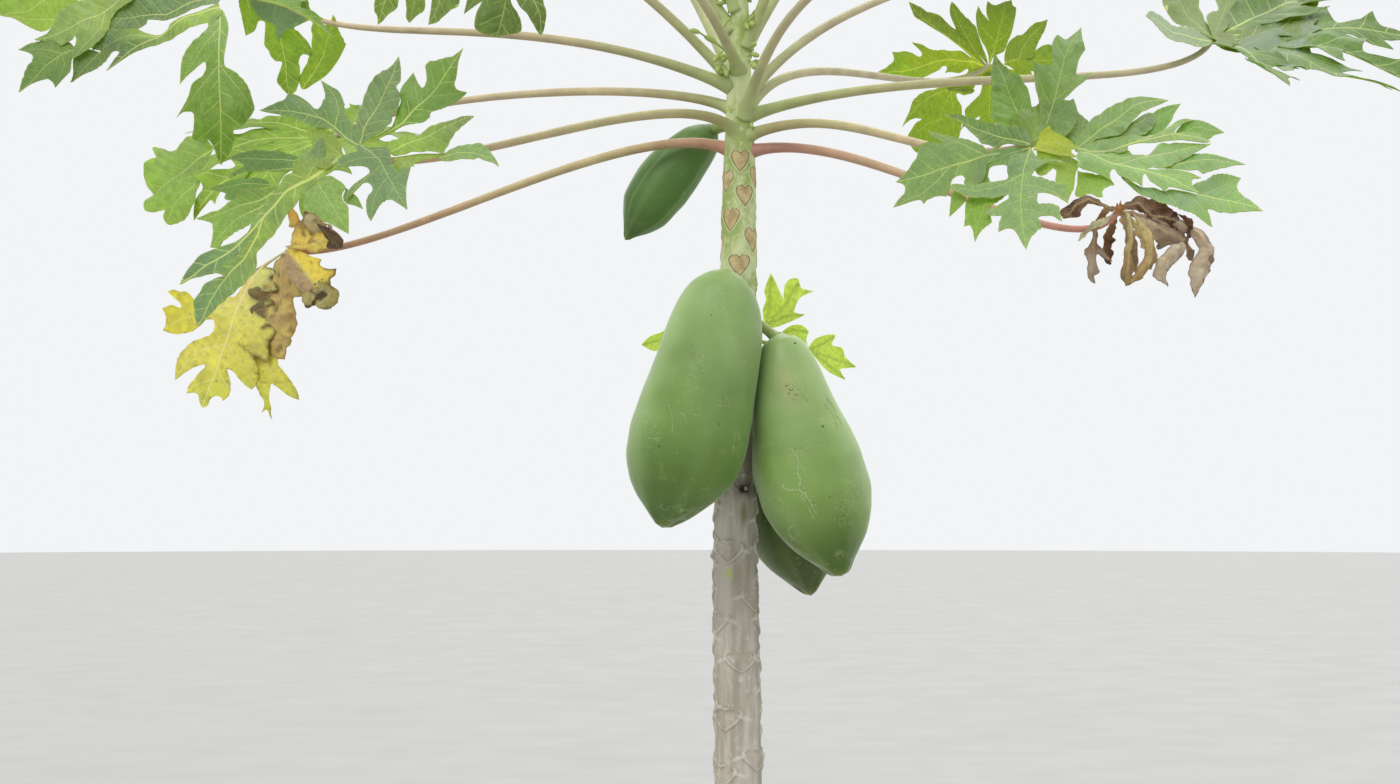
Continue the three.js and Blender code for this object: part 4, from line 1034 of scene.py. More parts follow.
# upper side, under side: what the light leaves of them is in the shader
LEAF_TONES = {
    3: ((134, 166, 98), (150, 178, 82)),
    4: ((142, 174, 104), (150, 178, 88)),
    5: ((118, 150, 82), (134, 164, 72)),
    7: ((148, 178, 78), (162, 190, 76)),
    8: ((146, 176, 66), (160, 186, 66)),
    9: ((132, 164, 90), (150, 178, 80)),
    11: ((136, 170, 80), (152, 182, 78)),
    12: ((128, 160, 98), (144, 172, 86)),
}


def green_leaf_colours(g, n):
    top, low = (lin(x) for x in LEAF_TONES.get(n, ((132, 166, 84), (148, 178, 80))))
    if n > 18:
        top, low = lin((150, 182, 84)), lin((158, 186, 84))
    side = g["side"][:, None]
    col = np.where(side > 0, top, low)
    f = np.stack([g["flat"][:, 0], g["flat"][:, 1], np.full(len(side), n * 0.9)], 1)
    k = noise(f * 9)[:, None]
    col = col * (1 + 0.1 * k)
    warm = smooth(0.1, 0.7, noise(f * 14 + 30))[:, None] * 0.28
    col = col * (1 - warm) + col * np.array([1.22, 1.08, 0.72]) * warm
    rim = smooth(0.75, 1.0, g["u"])[:, None] * 0.25
    return col * (1 - rim) + col * np.array([1.12, 1.04, 0.8]) * rim


# leaves and lobes as the picture shows them: outline, ribs, how far back in mm, tones at the hub and at the tip; the
# tones are partly the leaves' own colour and partly painted light and shade
TRACED = {
    3: [
        ([(359.6, 144.4, 1), (358.0, 134.0), (358.4, 124.0), (360.4, 114.0), (363.6, 102.0), (366.4, 92.0), (372.0, 82.4), (380.0, 76.0), (388.0, 72.0), (393.6, 66.0), (399.2, 57.0, 1), (401.0, 68.0), (400.4, 80.0), (397.0, 88.0), (400.4, 94.0), (402.0, 104.0), (399.0, 112.0), (394.4, 118.0), (392.4, 126.0), (384.0, 134.0), (370.0, 141.0)],
            [[(360.0, 144.0), (366.0, 130.0), (376.0, 112.0), (385.0, 94.0), (393.0, 78.0), (398.4, 60.0)]], 2, (130, 158, 108), (126, 154, 104)),
        ([(368.0, 142.4, 1), (380.0, 136.0), (391.0, 128.0), (395.0, 119.0), (398.0, 112.0), (402.0, 104.0), (401.0, 96.0), (404.0, 86.0), (408.0, 79.0), (413.4, 72.4, 1), (417.0, 81.0), (422.4, 87.6), (426.0, 82.0), (426.4, 74.0), (425.6, 66.0), (429.6, 60.4, 1), (438.0, 61.0), (448.0, 58.0), (456.0, 54.0), (463.2, 48.6, 1), (460.0, 58.0), (458.4, 68.0), (458.0, 76.0), (455.0, 85.0), (458.0, 90.4), (467.0, 92.6, 1), (460.0, 100.0), (450.0, 106.0), (440.0, 109.6), (431.0, 112.0), (429.6, 118.0), (420.0, 123.0), (408.0, 124.4), (402.0, 126.0), (390.0, 134.0), (376.0, 141.0)],
            [[(364.0, 144.4), (380.0, 138.0), (402.0, 123.0), (424.0, 102.0), (438.0, 86.0), (450.0, 70.0), (461.0, 52.0)], [(420.0, 106.0), (416.0, 92.0), (413.6, 76.0)], [(430.0, 96.0), (448.0, 95.0), (465.0, 93.0)], [(435.0, 90.0), (432.0, 76.0), (430.0, 62.4)]], 6, (129, 168, 78), (129, 165, 69)),
        ([(389.0, 149.0, 1), (390.0, 143.0), (400.0, 138.0), (410.0, 137.0), (420.0, 136.0), (428.0, 129.0), (440.0, 125.0), (452.0, 121.0), (462.0, 117.6), (474.4, 116.4, 1), (468.0, 124.0), (460.0, 133.0), (452.0, 143.0), (447.0, 149.0), (444.0, 153.0), (432.0, 152.4), (420.0, 153.0), (406.0, 155.0), (396.0, 156.4), (391.0, 154.0)],
            [[(392.0, 152.0), (408.0, 146.0), (428.0, 138.0), (448.0, 128.0), (472.0, 117.6)]], 6, (152, 183, 83), (134, 160, 89)),
        ([(438.0, 155.6, 1), (445.0, 153.0), (452.0, 148.4), (462.0, 145.6), (472.0, 143.6), (481.0, 143.0), (487.0, 147.0), (493.0, 155.0), (496.4, 160.0), (499.4, 167.6, 1), (493.0, 162.4), (484.0, 159.6), (478.0, 157.0), (474.0, 159.0), (464.0, 160.0), (452.0, 161.2), (442.0, 160.0)],
            [[(440.0, 157.0), (456.0, 154.0), (476.0, 153.0), (490.0, 157.0), (498.0, 166.0)]], 8, (144, 173, 119), (148, 177, 123)),
        ([(394.0, 158.0, 1), (406.0, 155.6), (420.0, 153.6), (432.0, 153.0), (444.0, 153.6), (440.0, 156.4), (428.0, 157.6), (420.0, 160.0), (412.0, 166.0), (408.0, 174.0), (402.0, 176.0), (398.0, 172.0), (395.0, 165.0)],
            [[(396.0, 160.0), (410.0, 158.0), (440.0, 154.4)]], 9, (154, 177, 98), (154, 177, 98)),
        ([(359.6, 145.6, 1), (368.0, 147.0), (378.0, 147.6), (387.0, 147.0), (391.0, 153.0), (392.4, 160.0), (394.4, 168.0), (398.0, 173.6), (404.0, 170.0), (411.2, 167.2, 1), (409.0, 176.0), (406.4, 186.0), (406.0, 196.0), (407.4, 209.6, 1), (400.0, 205.0), (391.0, 202.0), (383.0, 205.0), (376.0, 212.0), (370.0, 220.4, 1), (367.0, 214.0), (366.4, 206.0), (368.0, 198.0), (373.0, 193.0), (373.0, 188.0), (368.0, 183.0), (362.0, 183.0), (354.0, 189.0), (344.4, 197.6, 1), (348.0, 189.0), (354.0, 183.0), (364.0, 177.0), (369.6, 172.0), (366.0, 167.0), (352.0, 166.4), (338.0, 167.6, 1), (340.0, 160.0), (350.0, 155.0), (358.0, 153.0), (357.0, 148.0)],
            [[(360.0, 145.6), (372.0, 153.0), (381.0, 162.0), (388.0, 176.0), (396.0, 190.0), (405.6, 208.0)], [(378.0, 158.0), (366.0, 158.0), (342.0, 165.0)], [(383.0, 166.0), (366.0, 178.0), (347.0, 195.0)], [(389.0, 178.0), (378.0, 194.0), (370.0, 218.0)], [(392.0, 183.0), (400.0, 176.0), (410.0, 169.0)]], -6, (126, 156, 114), (128, 160, 112)),
        ([(358.4, 143.6, 1), (359.6, 136.0), (359.0, 128.0), (353.0, 124.0), (348.0, 118.0), (345.6, 110.0), (344.0, 101.0), (340.0, 93.0), (332.0, 88.0), (321.0, 80.4, 1), (323.6, 87.0), (326.4, 96.0), (326.4, 103.0), (321.0, 110.0), (315.0, 109.0), (310.0, 104.0), (302.0, 98.0), (293.0, 94.4), (288.0, 96.0), (286.0, 100.0), (278.0, 102.0), (268.0, 104.4), (257.6, 108.0, 1), (268.0, 111.0), (280.0, 114.0), (292.0, 117.0), (300.0, 121.0), (310.0, 125.0), (320.0, 127.0), (330.0, 128.0), (337.0, 133.0), (342.0, 138.0), (352.0, 143.0)],
            [[(358.0, 144.0), (346.0, 137.0), (335.0, 127.0), (324.0, 120.0), (310.0, 115.6), (292.0, 112.0), (276.0, 109.6), (260.0, 108.0)], [(335.0, 127.0), (340.0, 112.0), (337.0, 100.0), (323.0, 82.0)], [(320.0, 118.0), (310.0, 108.0), (294.0, 96.0)]], 0, (132, 163, 109), (129, 163, 114)),
        ([(342.0, 156.4, 1), (340.0, 144.0), (337.0, 138.0), (330.0, 131.0), (320.0, 128.0), (310.0, 129.0), (306.4, 134.0), (312.0, 144.0), (310.0, 152.0), (316.0, 160.0), (320.0, 170.0), (332.0, 170.0)],
            [[(340.0, 154.0), (328.0, 144.0), (316.0, 132.0)], [(340.0, 155.0), (324.0, 154.0), (312.0, 146.0)]], 9, (150, 173, 78), (152, 177, 81)),
        ([(341.0, 156.0, 1), (332.0, 158.0), (325.0, 157.0), (324.4, 148.0), (321.6, 135.2, 1), (316.0, 142.4), (309.6, 151.0), (300.0, 160.0), (294.4, 168.0), (293.6, 174.0), (287.0, 178.0), (282.4, 186.0), (278.0, 191.0), (270.0, 197.0), (264.0, 206.0), (258.0, 216.0), (253.0, 224.0), (249.0, 232.0), (236.0, 243.0), (220.0, 249.0), (206.0, 256.0), (193.0, 268.0), (180.0, 285.0, 1), (192.0, 280.0), (204.0, 278.4), (219.0, 275.6), (224.0, 277.0), (214.0, 281.0), (202.0, 290.0), (195.0, 300.0), (194.0, 312.0), (196.6, 326.4, 1), (204.0, 318.0), (214.0, 309.0), (228.0, 298.0), (242.0, 288.0), (252.0, 276.0), (257.0, 264.0), (258.0, 252.0), (268.0, 240.0), (280.0, 226.0), (288.0, 215.0), (298.0, 204.0), (306.0, 192.0), (316.0, 181.0), (326.0, 174.0), (337.0, 166.0), (342.0, 160.0)],
            [[(341.0, 156.4), (324.0, 168.0), (306.0, 181.0), (288.0, 194.0), (270.0, 212.0), (252.0, 232.0), (234.0, 250.0), (216.0, 264.0), (198.0, 276.0), (182.0, 284.0)], [(264.0, 219.0), (258.0, 236.0), (244.0, 258.0), (226.0, 280.0), (210.0, 300.0), (198.0, 324.0)], [(306.0, 181.0), (316.0, 160.0), (321.0, 138.0)]], 0, (146, 171, 85), (126, 160, 112)),
        ([(314.0, 181.0, 1), (320.0, 178.4), (330.0, 178.4), (340.0, 183.0), (347.0, 189.0), (342.4, 196.0), (344.0, 202.0), (348.4, 207.0), (349.6, 218.0), (349.2, 234.4, 1), (340.0, 230.0), (330.0, 225.0), (323.0, 222.0), (316.0, 215.0), (310.0, 214.4), (307.0, 212.0), (306.0, 206.0), (308.4, 198.0), (302.0, 197.0), (307.0, 190.0)],
            [[(317.0, 183.0), (326.0, 196.0), (335.0, 210.0), (348.0, 232.0)]], 7, (144, 173, 100), (144, 175, 95)),
        ([(347.0, 189.0, 1), (352.0, 193.0), (358.0, 198.0), (363.0, 209.0, 1), (354.0, 205.0), (346.0, 203.0), (343.0, 197.0)],
            [[(346.0, 192.0), (361.0, 207.0)]], 10, (129, 165, 83), (129, 165, 83)),
        ([(229.0, 159.0, 1), (240.0, 153.6), (254.0, 151.0), (268.0, 150.4), (284.0, 152.4), (298.0, 156.0), (310.0, 158.4), (300.0, 165.0), (290.0, 169.6), (278.0, 170.4), (264.0, 170.0), (248.0, 171.6), (228.0, 178.0, 1), (234.0, 173.0), (244.0, 168.0), (240.0, 162.0)],
            [[(296.0, 160.0), (268.0, 159.0), (248.0, 159.0), (231.0, 159.4)], [(296.0, 167.0), (264.0, 170.0), (230.0, 177.0)]], 14, (120, 157, 93), (118, 154, 83)),
        ([(207.6, 188.4, 1), (220.0, 183.6), (234.0, 180.0), (252.0, 178.4), (264.0, 179.6), (271.0, 185.0), (260.0, 189.0), (249.0, 192.0), (240.0, 197.0), (234.0, 202.0), (226.0, 200.0), (225.0, 193.0), (218.0, 190.0)],
            [[(268.0, 185.0), (244.0, 185.6), (210.0, 188.0)]], 14, (120, 161, 71), (120, 161, 71)),
        ([(194.6, 217.0, 1), (208.0, 211.0), (220.0, 209.0), (230.0, 204.0), (238.0, 200.0), (240.0, 194.0), (252.0, 190.4), (266.0, 191.0), (280.0, 189.0), (278.0, 195.0), (268.0, 202.0), (263.0, 210.0), (256.0, 220.0), (249.0, 230.0), (236.0, 236.0), (224.0, 243.0), (219.0, 249.0), (210.0, 247.0, 1), (213.6, 234.0), (212.4, 224.0), (204.0, 219.0)],
            [[(278.0, 192.0), (260.0, 202.0), (236.0, 210.0), (212.0, 215.0), (197.0, 217.0)], [(260.0, 208.0), (236.0, 224.0), (212.0, 245.0)]], 12, (134, 164, 83), (148, 183, 83)),
    ],
    4: [
        ([(994.6, 54.0, 1), (991.6, 67.0), (991.2, 80.0), (992.4, 92.0), (992.4, 106.0), (991.6, 120.0), (1002.0, 127.0), (1014.0, 129.6), (1023.0, 132.0), (1030.0, 140.0, 1), (1032.4, 132.0), (1033.6, 124.0), (1034.4, 114.0), (1031.6, 106.0), (1030.0, 98.0), (1028.0, 90.0), (1023.0, 83.6), (1018.0, 77.0), (1010.0, 73.0), (1003.0, 65.0)],
            [[(1030.0, 139.6), (1024.0, 126.0), (1018.0, 112.0), (1010.0, 96.0), (1003.0, 78.0), (996.0, 60.0)]], 8, (134, 170, 82), (130, 164, 84)),
        ([(1043.0, 132.0, 1), (1039.0, 124.0), (1039.6, 112.0), (1038.4, 100.0), (1035.6, 90.0), (1034.4, 78.0), (1033.2, 68.0), (1032.0, 58.4, 1), (1039.0, 65.6), (1045.0, 67.6), (1050.6, 70.0), (1051.6, 62.0), (1051.6, 52.0), (1053.0, 44.0), (1057.2, 37.6, 1), (1060.4, 39.6), (1066.0, 40.8), (1071.0, 37.6), (1077.0, 32.0), (1081.4, 27.2, 1), (1081.6, 36.0), (1082.8, 44.0), (1085.2, 50.4, 1), (1081.0, 57.0), (1078.4, 63.0), (1077.0, 70.0), (1076.0, 77.0), (1083.0, 76.4), (1091.4, 72.0, 1), (1087.0, 80.0), (1081.0, 86.0), (1074.0, 92.0), (1069.0, 97.0), (1064.0, 101.6), (1069.6, 102.4), (1073.4, 100.4, 1), (1076.0, 108.0), (1077.6, 118.0), (1075.0, 127.0), (1071.0, 135.0), (1064.0, 140.0), (1054.0, 140.0)],
            [[(1044.0, 130.0), (1050.0, 114.0), (1055.0, 100.0), (1060.0, 80.0), (1064.0, 62.0), (1071.0, 46.0), (1080.0, 30.0)], [(1051.0, 105.0), (1044.0, 96.0), (1039.0, 82.0), (1034.0, 66.0)], [(1054.4, 102.0), (1066.0, 94.0), (1078.0, 82.0), (1089.0, 74.0)], [(1062.4, 69.0), (1074.0, 60.0), (1083.6, 51.6)], [(1048.0, 120.0), (1060.0, 114.0), (1072.4, 102.4)]], 4, (138, 172, 84), (132, 168, 82)),
        ([(943.6, 113.6, 1), (956.0, 114.4), (968.0, 118.0), (978.0, 122.4), (990.0, 127.0), (1002.0, 129.0), (1010.0, 130.4), (1018.0, 129.6), (1026.0, 133.0), (1031.2, 141.0, 1), (1030.0, 148.0), (1020.0, 149.0), (1010.0, 146.4), (1004.0, 148.0), (998.0, 151.0), (990.0, 148.0), (982.0, 146.4), (978.0, 141.0), (970.0, 132.0), (964.4, 126.0), (960.4, 129.6), (962.4, 124.0), (956.0, 119.0)],
            [[(1030.0, 147.0), (1014.0, 143.0), (998.0, 140.0), (978.0, 132.0), (960.0, 121.0), (946.0, 114.4)]], 2, (120, 150, 92), (132, 164, 104)),
        ([(1030.6, 148.0, 1), (1018.0, 150.4), (1007.0, 151.0), (996.0, 150.0), (988.0, 153.0), (984.0, 149.0), (976.0, 145.0), (966.0, 140.0), (956.0, 138.0), (944.0, 134.0), (927.0, 129.0, 1), (931.0, 135.0), (940.0, 141.0), (944.0, 145.0), (936.0, 144.0), (928.0, 142.4), (919.0, 143.6, 1), (918.0, 150.0), (917.0, 158.0), (912.0, 166.0), (905.0, 173.0), (895.6, 181.6, 1), (902.0, 183.0), (905.0, 188.0), (904.0, 194.0), (899.0, 201.0), (894.4, 209.0, 1), (904.0, 205.0), (912.0, 201.0), (919.6, 198.6), (923.0, 203.0, 1), (928.0, 197.6), (937.0, 195.6), (946.4, 196.8, 1), (950.0, 188.0), (952.0, 180.0), (958.0, 177.0), (965.0, 178.0), (964.4, 184.0), (970.0, 186.0), (978.0, 185.0), (984.4, 180.0), (986.4, 172.0), (988.4, 164.0), (1002.0, 160.0), (1018.0, 156.0)],
            [[(1030.0, 149.0), (1014.0, 151.0), (1002.0, 153.6), (986.0, 157.0), (970.0, 162.4), (950.0, 169.0), (930.0, 174.0), (912.0, 178.0), (898.0, 181.0)], [(986.0, 157.0), (974.0, 152.0), (960.0, 145.0), (944.0, 137.0), (929.0, 130.0)], [(950.0, 169.0), (943.0, 163.0), (934.0, 155.0), (922.0, 145.6)], [(948.0, 170.0), (948.0, 180.0), (946.8, 194.4)], [(950.0, 169.0), (940.0, 179.0), (922.0, 192.0), (898.0, 206.0)], [(976.0, 161.0), (978.0, 172.0), (973.0, 183.0)]], 0, (138, 168, 112), (142, 172, 112)),
        ([(1030.6, 148.0, 1), (1026.0, 153.6), (1019.0, 156.4), (1012.0, 158.0), (1008.4, 164.0), (1008.0, 172.0), (1007.2, 178.0), (998.0, 180.0), (986.0, 183.0), (974.0, 187.0), (964.0, 187.6), (954.0, 187.0), (950.0, 190.0, 1), (956.0, 194.0), (968.0, 198.0), (976.0, 199.0), (984.0, 197.0), (994.0, 197.0), (1004.0, 195.0), (1008.4, 194.0), (1008.0, 198.0), (1002.0, 201.0), (994.0, 205.0), (986.0, 209.0), (982.0, 212.4, 1), (990.0, 213.6), (999.0, 215.0), (1001.4, 217.0), (999.0, 222.0), (998.0, 231.0, 1), (1004.0, 229.0), (1011.0, 229.6), (1017.0, 235.0), (1021.0, 242.0), (1026.4, 250.4, 1), (1029.0, 243.0), (1033.0, 236.0), (1038.0, 232.4), (1041.6, 230.4), (1040.4, 224.0), (1039.0, 220.0), (1046.0, 217.0), (1054.0, 217.6), (1062.4, 222.4, 1), (1060.4, 215.0), (1059.0, 209.0), (1050.0, 206.0), (1039.0, 207.0), (1037.6, 201.0), (1039.0, 194.4), (1048.0, 193.6), (1058.0, 197.0), (1066.0, 202.0), (1068.6, 205.0, 1), (1068.0, 196.0), (1066.0, 189.0), (1060.0, 185.0), (1050.0, 182.0), (1041.0, 178.4), (1032.4, 177.2), (1034.4, 172.0), (1040.0, 168.0), (1048.0, 162.4), (1056.0, 162.4), (1062.4, 164.4, 1), (1062.4, 161.6), (1054.0, 160.0), (1044.0, 160.4), (1037.0, 158.0), (1033.0, 152.0)],
            [[(1030.6, 149.0), (1028.0, 158.0), (1023.6, 172.0), (1021.6, 186.0), (1021.0, 200.0), (1022.0, 216.0), (1023.6, 232.0), (1025.6, 248.0)], [(1022.0, 176.0), (1010.0, 180.0), (994.0, 187.0), (976.0, 193.0), (956.0, 190.4)], [(1021.6, 202.0), (1010.0, 203.0), (994.0, 208.0), (983.6, 212.0)], [(1022.0, 186.0), (1038.0, 188.0), (1054.0, 192.0), (1067.0, 203.0)], [(1022.0, 212.0), (1038.0, 215.0), (1060.0, 220.0)], [(1023.0, 222.0), (1012.0, 224.0), (999.6, 229.6)], [(1027.0, 161.0), (1042.0, 162.0), (1060.0, 163.0)]], -6, (146, 176, 128), (154, 184, 132)),
        ([(1075.0, 148.0, 1), (1077.0, 140.0), (1085.0, 132.0), (1090.0, 124.0), (1098.0, 118.0), (1108.0, 110.0), (1120.0, 104.0), (1130.0, 100.0), (1142.0, 96.0), (1154.0, 97.0), (1168.4, 100.4, 1), (1160.0, 103.6), (1150.0, 108.0), (1140.0, 114.0), (1136.0, 118.0), (1130.0, 125.0), (1126.0, 131.0), (1116.0, 136.0), (1106.0, 138.0), (1096.0, 140.0), (1088.0, 148.0), (1080.0, 152.0)],
            [[(1076.0, 150.0), (1090.0, 140.0), (1102.0, 130.0), (1120.0, 118.0), (1136.0, 106.0), (1150.0, 100.0), (1166.0, 100.4)]], 6, (142, 176, 104), (134, 170, 92)),
        ([(1140.0, 136.0, 1), (1141.6, 128.0), (1147.0, 119.0), (1156.0, 111.0), (1168.0, 106.4), (1180.4, 104.6, 1), (1174.0, 114.0), (1172.4, 119.0), (1164.0, 129.0), (1152.0, 134.4), (1145.0, 136.0)],
            [[(1141.0, 135.0), (1156.0, 120.0), (1178.0, 106.0)]], 14, (124, 168, 58), (126, 170, 62)),
        ([(1073.0, 149.0, 1), (1082.0, 151.0), (1090.0, 148.0), (1100.0, 143.0), (1112.0, 140.0), (1122.0, 138.0), (1132.0, 135.0), (1140.0, 137.0), (1150.0, 136.4), (1160.0, 133.0), (1170.0, 127.0), (1178.0, 121.0), (1186.0, 118.4), (1195.0, 119.0, 1), (1186.0, 122.0), (1180.0, 126.0), (1175.0, 132.0), (1174.4, 135.0), (1184.0, 134.4), (1194.0, 135.0), (1202.0, 138.0), (1210.4, 142.4, 1), (1202.0, 144.4), (1190.0, 144.0), (1178.0, 142.4), (1166.0, 142.4), (1150.0, 144.0), (1140.0, 144.0), (1128.0, 146.4), (1128.0, 150.0), (1120.0, 153.0), (1110.0, 152.0), (1100.0, 156.0), (1090.0, 158.0), (1080.0, 156.0)],
            [[(1076.0, 150.0), (1090.0, 155.0), (1102.0, 153.0), (1114.0, 150.0), (1130.0, 145.0), (1150.0, 140.0), (1174.0, 136.0), (1208.0, 142.4)], [(1130.0, 145.0), (1156.0, 135.0), (1170.0, 128.0), (1192.0, 119.4)], [(1106.0, 152.0), (1112.0, 146.0), (1128.0, 138.0)]], 2, (146, 178, 114), (140, 174, 98)),
        ([(1174.0, 135.0, 1), (1178.0, 128.0), (1186.0, 123.0), (1198.0, 122.4), (1210.0, 126.0), (1218.0, 130.0), (1223.6, 133.6, 1), (1214.0, 136.0), (1210.0, 140.0), (1207.0, 141.0), (1202.0, 138.0), (1195.0, 135.0), (1184.0, 134.4)],
            [[(1176.0, 134.0), (1194.0, 129.0), (1220.0, 133.0)]], 12, (126, 170, 68), (128, 172, 76)),
        ([(1114.0, 167.0, 1), (1122.0, 162.4), (1134.0, 158.0), (1148.0, 156.0), (1154.0, 150.0), (1159.0, 144.0), (1174.0, 142.4), (1190.0, 143.6), (1211.0, 143.6, 1), (1200.0, 150.0), (1188.0, 158.0), (1176.0, 162.4), (1169.0, 167.0), (1164.0, 169.6), (1154.0, 170.4), (1142.0, 171.0), (1130.0, 170.4), (1122.0, 169.0)],
            [[(1114.0, 167.0), (1134.0, 161.0), (1156.0, 156.0), (1180.0, 150.0), (1208.0, 144.0)]], 0, (142, 178, 110), (140, 176, 104)),
        ([(1080.0, 153.0, 1), (1090.0, 154.4), (1102.0, 158.0), (1114.0, 164.4), (1126.0, 168.0), (1140.0, 170.4), (1156.0, 170.4), (1174.0, 171.0), (1188.0, 173.6), (1201.0, 178.4, 1), (1194.0, 179.0), (1191.6, 182.4), (1194.0, 188.0), (1199.0, 193.2, 1), (1186.0, 190.0), (1176.0, 188.4), (1169.0, 187.6), (1165.0, 192.4, 1), (1160.0, 188.0), (1150.0, 183.0), (1147.0, 178.0), (1145.0, 175.0), (1142.4, 180.0), (1142.4, 188.4, 1), (1137.0, 185.0), (1126.0, 181.0), (1118.0, 177.0), (1114.0, 171.0), (1110.0, 174.0), (1111.0, 181.0, 1), (1100.0, 175.0), (1090.0, 172.4), (1077.0, 170.4, 1), (1078.0, 164.0), (1076.0, 158.0)],
            [[(1080.0, 153.0), (1094.0, 157.0), (1112.0, 166.0), (1130.0, 170.4), (1150.0, 174.0), (1170.0, 179.0), (1197.0, 192.0)], [(1090.0, 156.0), (1098.0, 169.0), (1109.0, 180.0)], [(1118.0, 168.0), (1130.0, 178.0), (1141.0, 187.0)], [(1148.0, 173.6), (1156.0, 182.0), (1164.0, 191.0)], [(1160.0, 176.4), (1180.0, 176.0), (1199.0, 178.4)]], -4, (148, 182, 118), (150, 186, 114)),
        ([(1163.6, 169.0, 1), (1172.0, 163.0), (1182.0, 158.4), (1194.0, 156.0), (1206.0, 155.0), (1220.0, 157.0), (1234.0, 161.0), (1244.4, 166.4, 1), (1234.0, 166.0), (1222.0, 169.6), (1210.0, 173.0), (1202.0, 176.4), (1198.0, 174.4), (1188.0, 173.0), (1176.0, 170.4)],
            [[(1166.0, 168.4), (1190.0, 164.0), (1214.0, 161.0), (1242.0, 165.6)]], 8, (130, 170, 96), (128, 168, 88)),
        ([(1120.0, 178.0, 1), (1130.0, 181.0), (1142.4, 186.0), (1154.0, 186.0), (1165.0, 190.0), (1170.0, 187.6), (1186.0, 190.0), (1198.0, 192.4), (1193.0, 186.0), (1196.0, 182.4), (1206.0, 180.0), (1214.0, 176.4), (1228.0, 175.6), (1241.4, 176.8, 1), (1238.0, 183.0), (1237.0, 190.0), (1241.0, 196.0), (1250.0, 205.0), (1261.6, 214.4, 1), (1248.0, 215.0), (1234.0, 214.4), (1220.0, 212.4), (1208.0, 209.0), (1209.6, 216.0), (1212.4, 227.0, 1), (1200.0, 222.0), (1186.0, 215.0), (1172.0, 208.0), (1156.0, 201.0), (1140.0, 194.0), (1128.0, 186.0)],
            [[(1140.0, 184.0), (1166.0, 187.0), (1184.0, 190.0), (1202.0, 194.4), (1226.0, 201.0), (1260.0, 214.0)], [(1184.0, 190.0), (1198.0, 206.0), (1210.0, 224.0)], [(1202.0, 194.0), (1222.0, 186.0), (1239.0, 178.0)]], 3, (130, 164, 112), (134, 174, 82)),
        ([(1033.0, 148.0, 1), (1038.0, 140.0), (1041.0, 132.4), (1049.6, 127.0, 1), (1052.4, 132.4), (1060.0, 136.0), (1067.0, 140.0), (1076.4, 148.0, 1), (1071.0, 152.0), (1077.0, 157.6, 1), (1062.0, 154.8), (1050.0, 152.4), (1040.0, 150.0)],
            [[(1034.0, 148.0), (1050.0, 142.0), (1074.0, 148.0)], [(1037.0, 149.0), (1054.0, 150.0), (1075.0, 157.0)]], -9, (182, 194, 56), (172, 188, 58)),
        ([(1037.0, 150.0, 1), (1050.0, 153.0), (1064.0, 154.4), (1074.0, 158.0), (1079.0, 164.0), (1076.0, 172.0), (1075.0, 180.0), (1074.0, 190.0), (1071.0, 196.0), (1068.0, 205.0, 1), (1065.0, 196.0), (1062.0, 190.0), (1059.0, 186.0), (1055.6, 183.0), (1056.4, 172.0), (1053.0, 170.0), (1048.0, 175.0), (1045.0, 178.0), (1040.0, 178.0), (1036.0, 174.0), (1037.0, 160.0)],
            [[(1071.0, 160.0), (1066.0, 172.0), (1064.0, 192.0)]], 9, (160, 186, 84), (162, 190, 92)),
        ([(1077.6, 170.0, 1), (1090.0, 172.4), (1100.0, 176.0), (1110.0, 181.6), (1114.4, 187.6, 1), (1106.0, 189.0), (1102.4, 192.0), (1103.0, 199.0, 1), (1098.0, 198.0), (1090.0, 194.0), (1082.0, 196.0), (1075.0, 196.0), (1077.0, 184.0)],
            [[(1082.0, 173.0), (1090.0, 182.0), (1098.0, 196.0)]], 9, (160, 190, 98), (156, 188, 98)),
        ([(1007.0, 184.0, 1), (1002.0, 187.0), (994.0, 190.0), (986.0, 193.0), (976.0, 197.0), (969.0, 200.0), (965.6, 208.0), (965.0, 220.0), (964.4, 227.0, 1), (969.0, 225.0), (972.0, 228.0), (973.6, 235.0), (974.8, 242.4, 1), (978.0, 234.0), (983.0, 228.0), (992.0, 223.0, 1), (990.0, 216.0), (984.0, 213.0), (990.0, 208.0), (1002.0, 201.0), (1008.0, 196.0)],
            [[(994.0, 192.0), (984.0, 206.0), (978.0, 220.0), (975.2, 239.0)]], 10, (148, 182, 84), (150, 186, 90)),
        ([(952.0, 196.0, 1), (956.0, 192.0), (962.0, 196.0), (967.0, 200.0), (964.0, 205.0), (958.0, 210.0), (949.2, 216.4, 1), (950.4, 206.0)],
            [[(964.0, 198.0), (956.0, 206.0), (950.0, 215.0)]], 9, (148, 182, 84), (150, 186, 90)),
        ([(1010.0, 124.0, 1), (1022.0, 114.0), (1034.0, 108.0), (1042.0, 104.0), (1056.0, 106.0), (1070.0, 106.0), (1082.0, 114.0), (1090.0, 124.0), (1082.0, 140.0), (1076.0, 150.0), (1062.0, 144.0), (1042.0, 148.0), (1030.0, 148.0), (1018.0, 140.0)],
            [[(1031.0, 144.0), (1042.0, 124.0), (1060.0, 110.0)], [(1031.0, 144.0), (1058.0, 132.0), (1086.0, 124.0)]], 12, (138, 168, 72), (132, 164, 72)),
        ([(1075.0, 150.0, 1), (1090.0, 140.0), (1106.0, 134.0), (1126.0, 126.0), (1140.0, 118.0), (1150.0, 114.0), (1156.0, 120.0), (1148.0, 134.0), (1130.0, 142.0), (1110.0, 146.0), (1090.0, 153.0)],
            [[(1076.0, 150.0), (1110.0, 138.0), (1150.0, 118.0)]], 12, (126, 160, 86), (120, 154, 80)),
